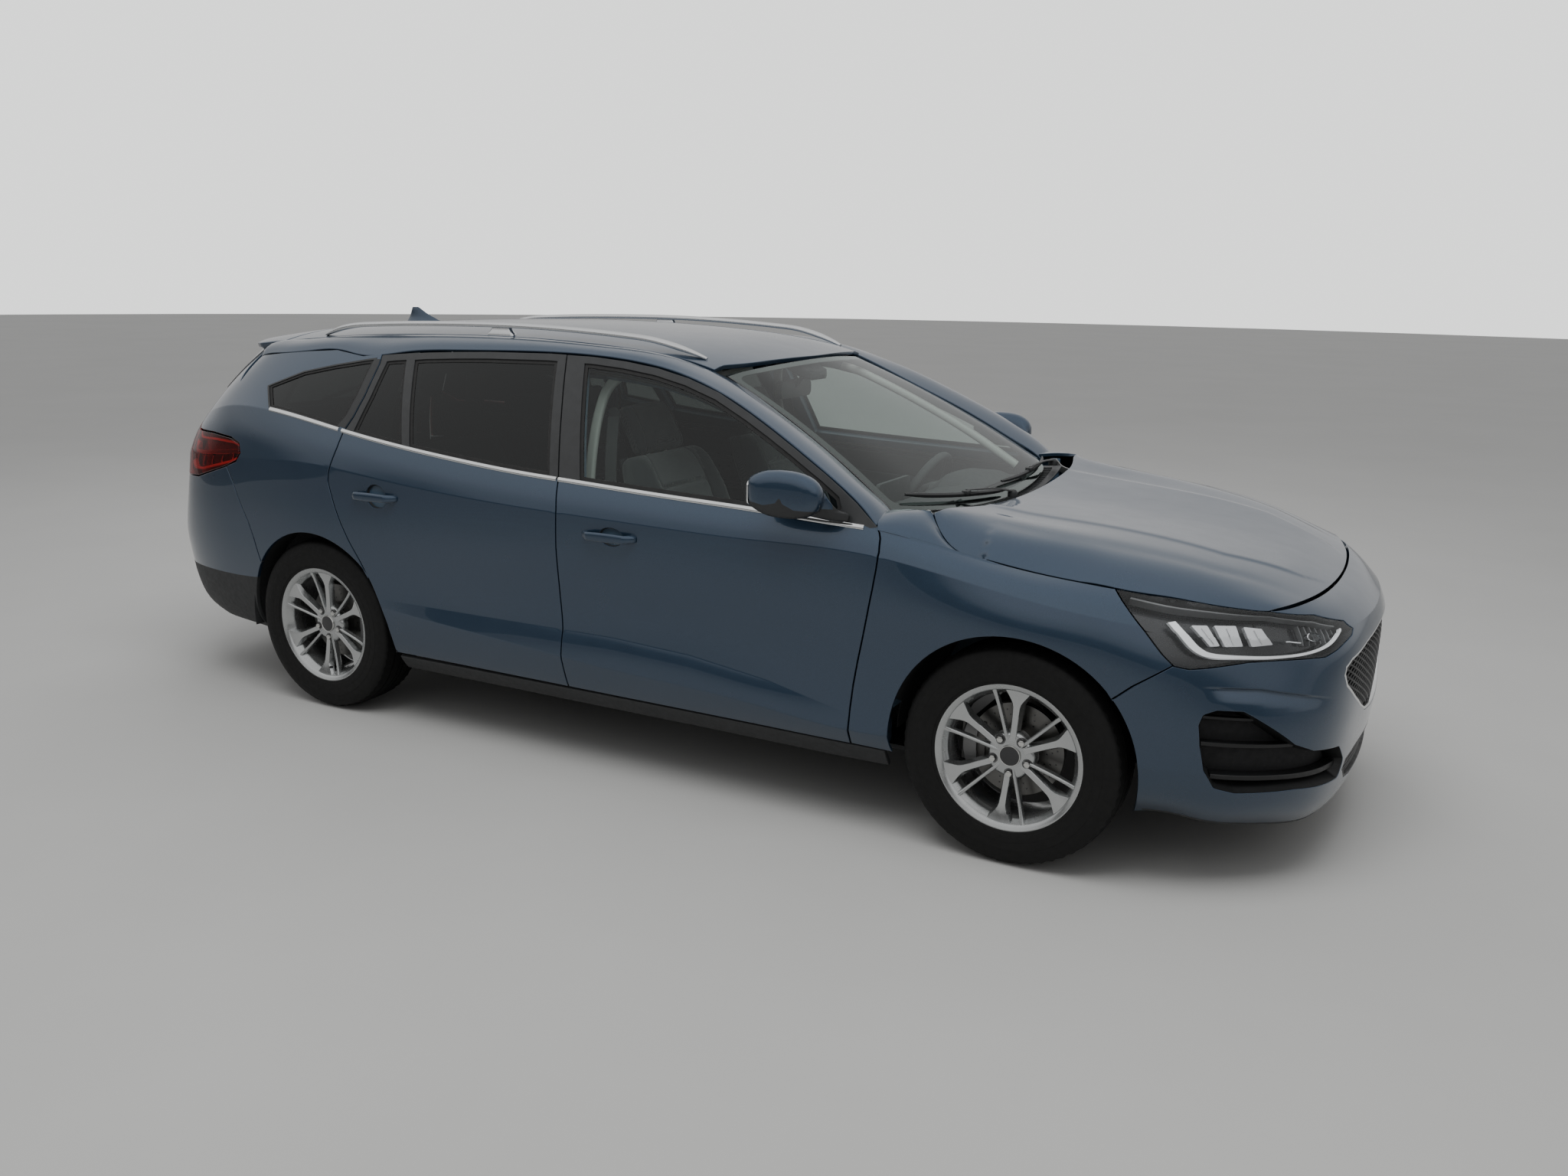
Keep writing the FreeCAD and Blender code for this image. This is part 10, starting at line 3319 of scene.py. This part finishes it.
# radiator, fan and slam panel
it = [(*shift(box_data((2.025, -.345, .270), (2.050, .345, .690), .004)), 0)]
for k in range(30):
    z = .285 + .0135 * k
    it.append((*shift(box_data((2.0495, -.325, z), (2.0535, .325, z + .004), .0008)), 1))
for s in (1, -1):
    it.append((*shift(box_data((2.018, s * .345 - .018, .270), (2.058, s * .345 + .018, .690), .008)), 2))
for s in (1, -1):
    c = (1.985, s * .165, .470)
    it.append((*solid(lathe([(-.020, .150), (-.020, .157), (.020, .157), (.020, .150)], c, 'x', 48, 1, True)), 2))
    it.append((*solid(lathe([(-.018, .001), (-.018, .042), (.012, .042), (.018, .030), (.018, .001)], c, 'x', 32)), 2))
    for k in range(7):
        a = 2 * pi * k / 7
        d, t = np.array([0, cos(a), sin(a)]), np.array([0, -sin(a), cos(a)])
        secs = []
        for r, w, tw in ((.038, .030, .5), (.09, .040, .35), (.146, .048, .22)):
            cc = np.array(c) + d * r
            e = t * cos(tw) + np.array([1, 0, 0]) * sin(tw)
            n_ = np.cross(e, d)
            secs.append([cc + e * w / 2 + n_ * .0012, cc + e * w / 2 - n_ * .0012, cc - e * w / 2 - n_ * .0012, cc - e * w / 2 + n_ * .0012])
        it.append((*solid(loft(secs), 20), 2))
piece('radiator_and_fans', it, [BLACK_AND_SHADE, ALU, COVER], 'body')
it = []
sp = catmull([(1.905, -.610, .735), (1.955, -.50, .742), (1.990, -.30, .750), (2.000, 0, .752), (1.990, .30, .750), (1.955, .50, .742), (1.905, .610, .735)], 8)
it.append((*solid(sweep(sp, rounded_rect(.075, .022, .008))), 0))
it.append((*shift(box_data((1.965, -.040, .755), (2.015, .040, .772), .006)), 1))
for y in (-.42, -.21, .21, .42):
    x = np.interp(abs(y), [.21, .42], [1.993, 1.970])
    it.append((*solid(lathe([(0, .001), (0, .010), (.006, .009), (.008, .001)], (x, y, .762), 'z', 16)), 1))
piece('slam_panel', it, [COVER, STEEL], 'body')
# hoses
it = [(*solid(tube(catmull([(1.64, .16, .66), (1.72, .12, .70), (1.85, .02, .71), (1.96, -.10, .66), (2.02, -.20, .64)], 8), .017, 16)), 0)]
it.append((*solid(tube(catmull([(1.18, -.10, .70), (1.10, -.14, .74), (1.06, -.22, .73), (1.07, -.28, .70)], 8), .012, 14)), 0))
it.append((*solid(tube(catmull([(1.18, .12, .68), (1.08, .14, .72), (1.02, .16, .70), (.995, .18, .66)], 8), .011, 14)), 0))
it.append((*solid(tube(catmull([(1.30, .26, .74), (1.38, .32, .76), (1.50, .36, .74), (1.60, .42, .72)], 8), .007, 12)), 0))
piece('hoses', it, [HOSE], 'body')
# hood inner frame and hinge arms
un = np.array([(-.76), .76])
ho = round_poly([(.075, -.58), (.30, -.66), (.80, -.755), (.90, -.755), (.985, -.62), (.985, .62), (.90, .755), (.80, .755), (.30, .66), (.075, .58)], .05)
holes = [round_poly(p, .05) for p in ([(.17, -.46), (.46, -.56), (.46, -.05), (.17, -.05)], [(.17, .05), (.46, .05), (.46, .56), (.17, .46)], [(.55, -.60), (.86, -.62), (.86, -.05), (.55, -.05)], [(.55, .05), (.86, .05), (.86, .62), (.55, .60)])]
it = [(*panel_data(HoodS, ho, holes=holes, off=-.0185, back=.012, depth=.006, r=.004, step=.035), 0)]
for s in (1, -1):
    arm = catmull([(.985, s * .646, .952), (1.010, s * .646, .930), (1.060, s * .646, .918), (1.140, s * .646, .918), (1.240, s * .646, .914)], 6)
    it.append((*solid(sweep(arm, rounded_rect(.007, .026, .002))), 1))
    it.append((*solid(tube([(.985, s * .646 - .010, .955), (.985, s * .646 + .010, .955)], .011, 20)), 1))
for p_, d_ in (((1.98, 0), .040),):
    q = np.array([[.05, 0.0]])
piece('hood_inner_frame', it, [PAINT, STEEL], 'hood')
it = []
for s in (1, -1):
    arm = catmull([(-1.740, s * .277, 1.372), (-1.752, s * .277, 1.330), (-1.790, s * .277, 1.310), (-1.822, s * .277, 1.335), (-1.850, s * .277, 1.372)], 6)
    it.append((*solid(sweep(arm, rounded_rect(.012, .018, .003))), 0))
    it.append((*solid(tube([(-1.740, s * .277 - .007, 1.372), (-1.740, s * .277 + .007, 1.372)], .011, 20)), 0))
piece('tailgate_arms', it, [PAINT_IN], 'tailgate')
# underside shields
it = []
for s in (1, -1):
    q = [(-.80, s * .16), (.90, s * .16), (.93, s * .20), (.93, s * .58), (.88, s * .62), (-.72, s * .62), (-.80, s * .56)]
    it.append((*shift(solid_data(*loft([[(x, y, .2245) for x, y in round_poly(q, .03)], [(x, y, .2285) for x, y in round_poly(q, .03)]]), 40)), 0))
    for k in range(6):
        y = s * (.21 + .07 * k)
        it.append((*solid(sweep([(-.70, y, .2225), (.84, y, .2225)], rounded_rect(.022, .006, .002))), 0))
q = [(1.02, -.36), (1.62, -.38), (2.02, -.36), (2.06, -.28), (2.06, .28), (2.02, .36), (1.62, .38), (1.02, .36)]
it.append((*shift(solid_data(*loft([[(x, y, .192) for x, y in round_poly(q, .03)], [(x, y, .197) for x, y in round_poly(q, .03)]]), 40)), 0))
piece('underside_shields', it, [UNDER], 'body')

# ---------------------------------------------------------------------------
# Structure and chassis: materials on what is shown as it was modelled
# ---------------------------------------------------------------------------
CHASSIS = metal_mat('chassis_black', (.030, .030, .031), .52, .15, metallic=.5, grain=260)
TANK = plastic_mat('tank_plastic', (.014, .014, .015), .6, 260, .5)
EXH = metal_mat('exhaust_steel', (.30, .29, .27), .38, .18, grain=200)
NODE_MATS = {'front_structure': PAINT_IN, 'floor_pan': UNDER, 'load_floor': CARPET, 'engine_block': CAST, 'front_subframe': CHASSIS, 'rear_axle': CHASSIS, 'left_knuckle': CAST,
             'right_knuckle': CAST, 'exhaust': EXH, 'fuel_tank': TANK}
for k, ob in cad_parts.items():
    m = NODE_MATS.get(k, TEXBLACK)
    ob.data.materials.clear()
    ob.data.materials.append(m)
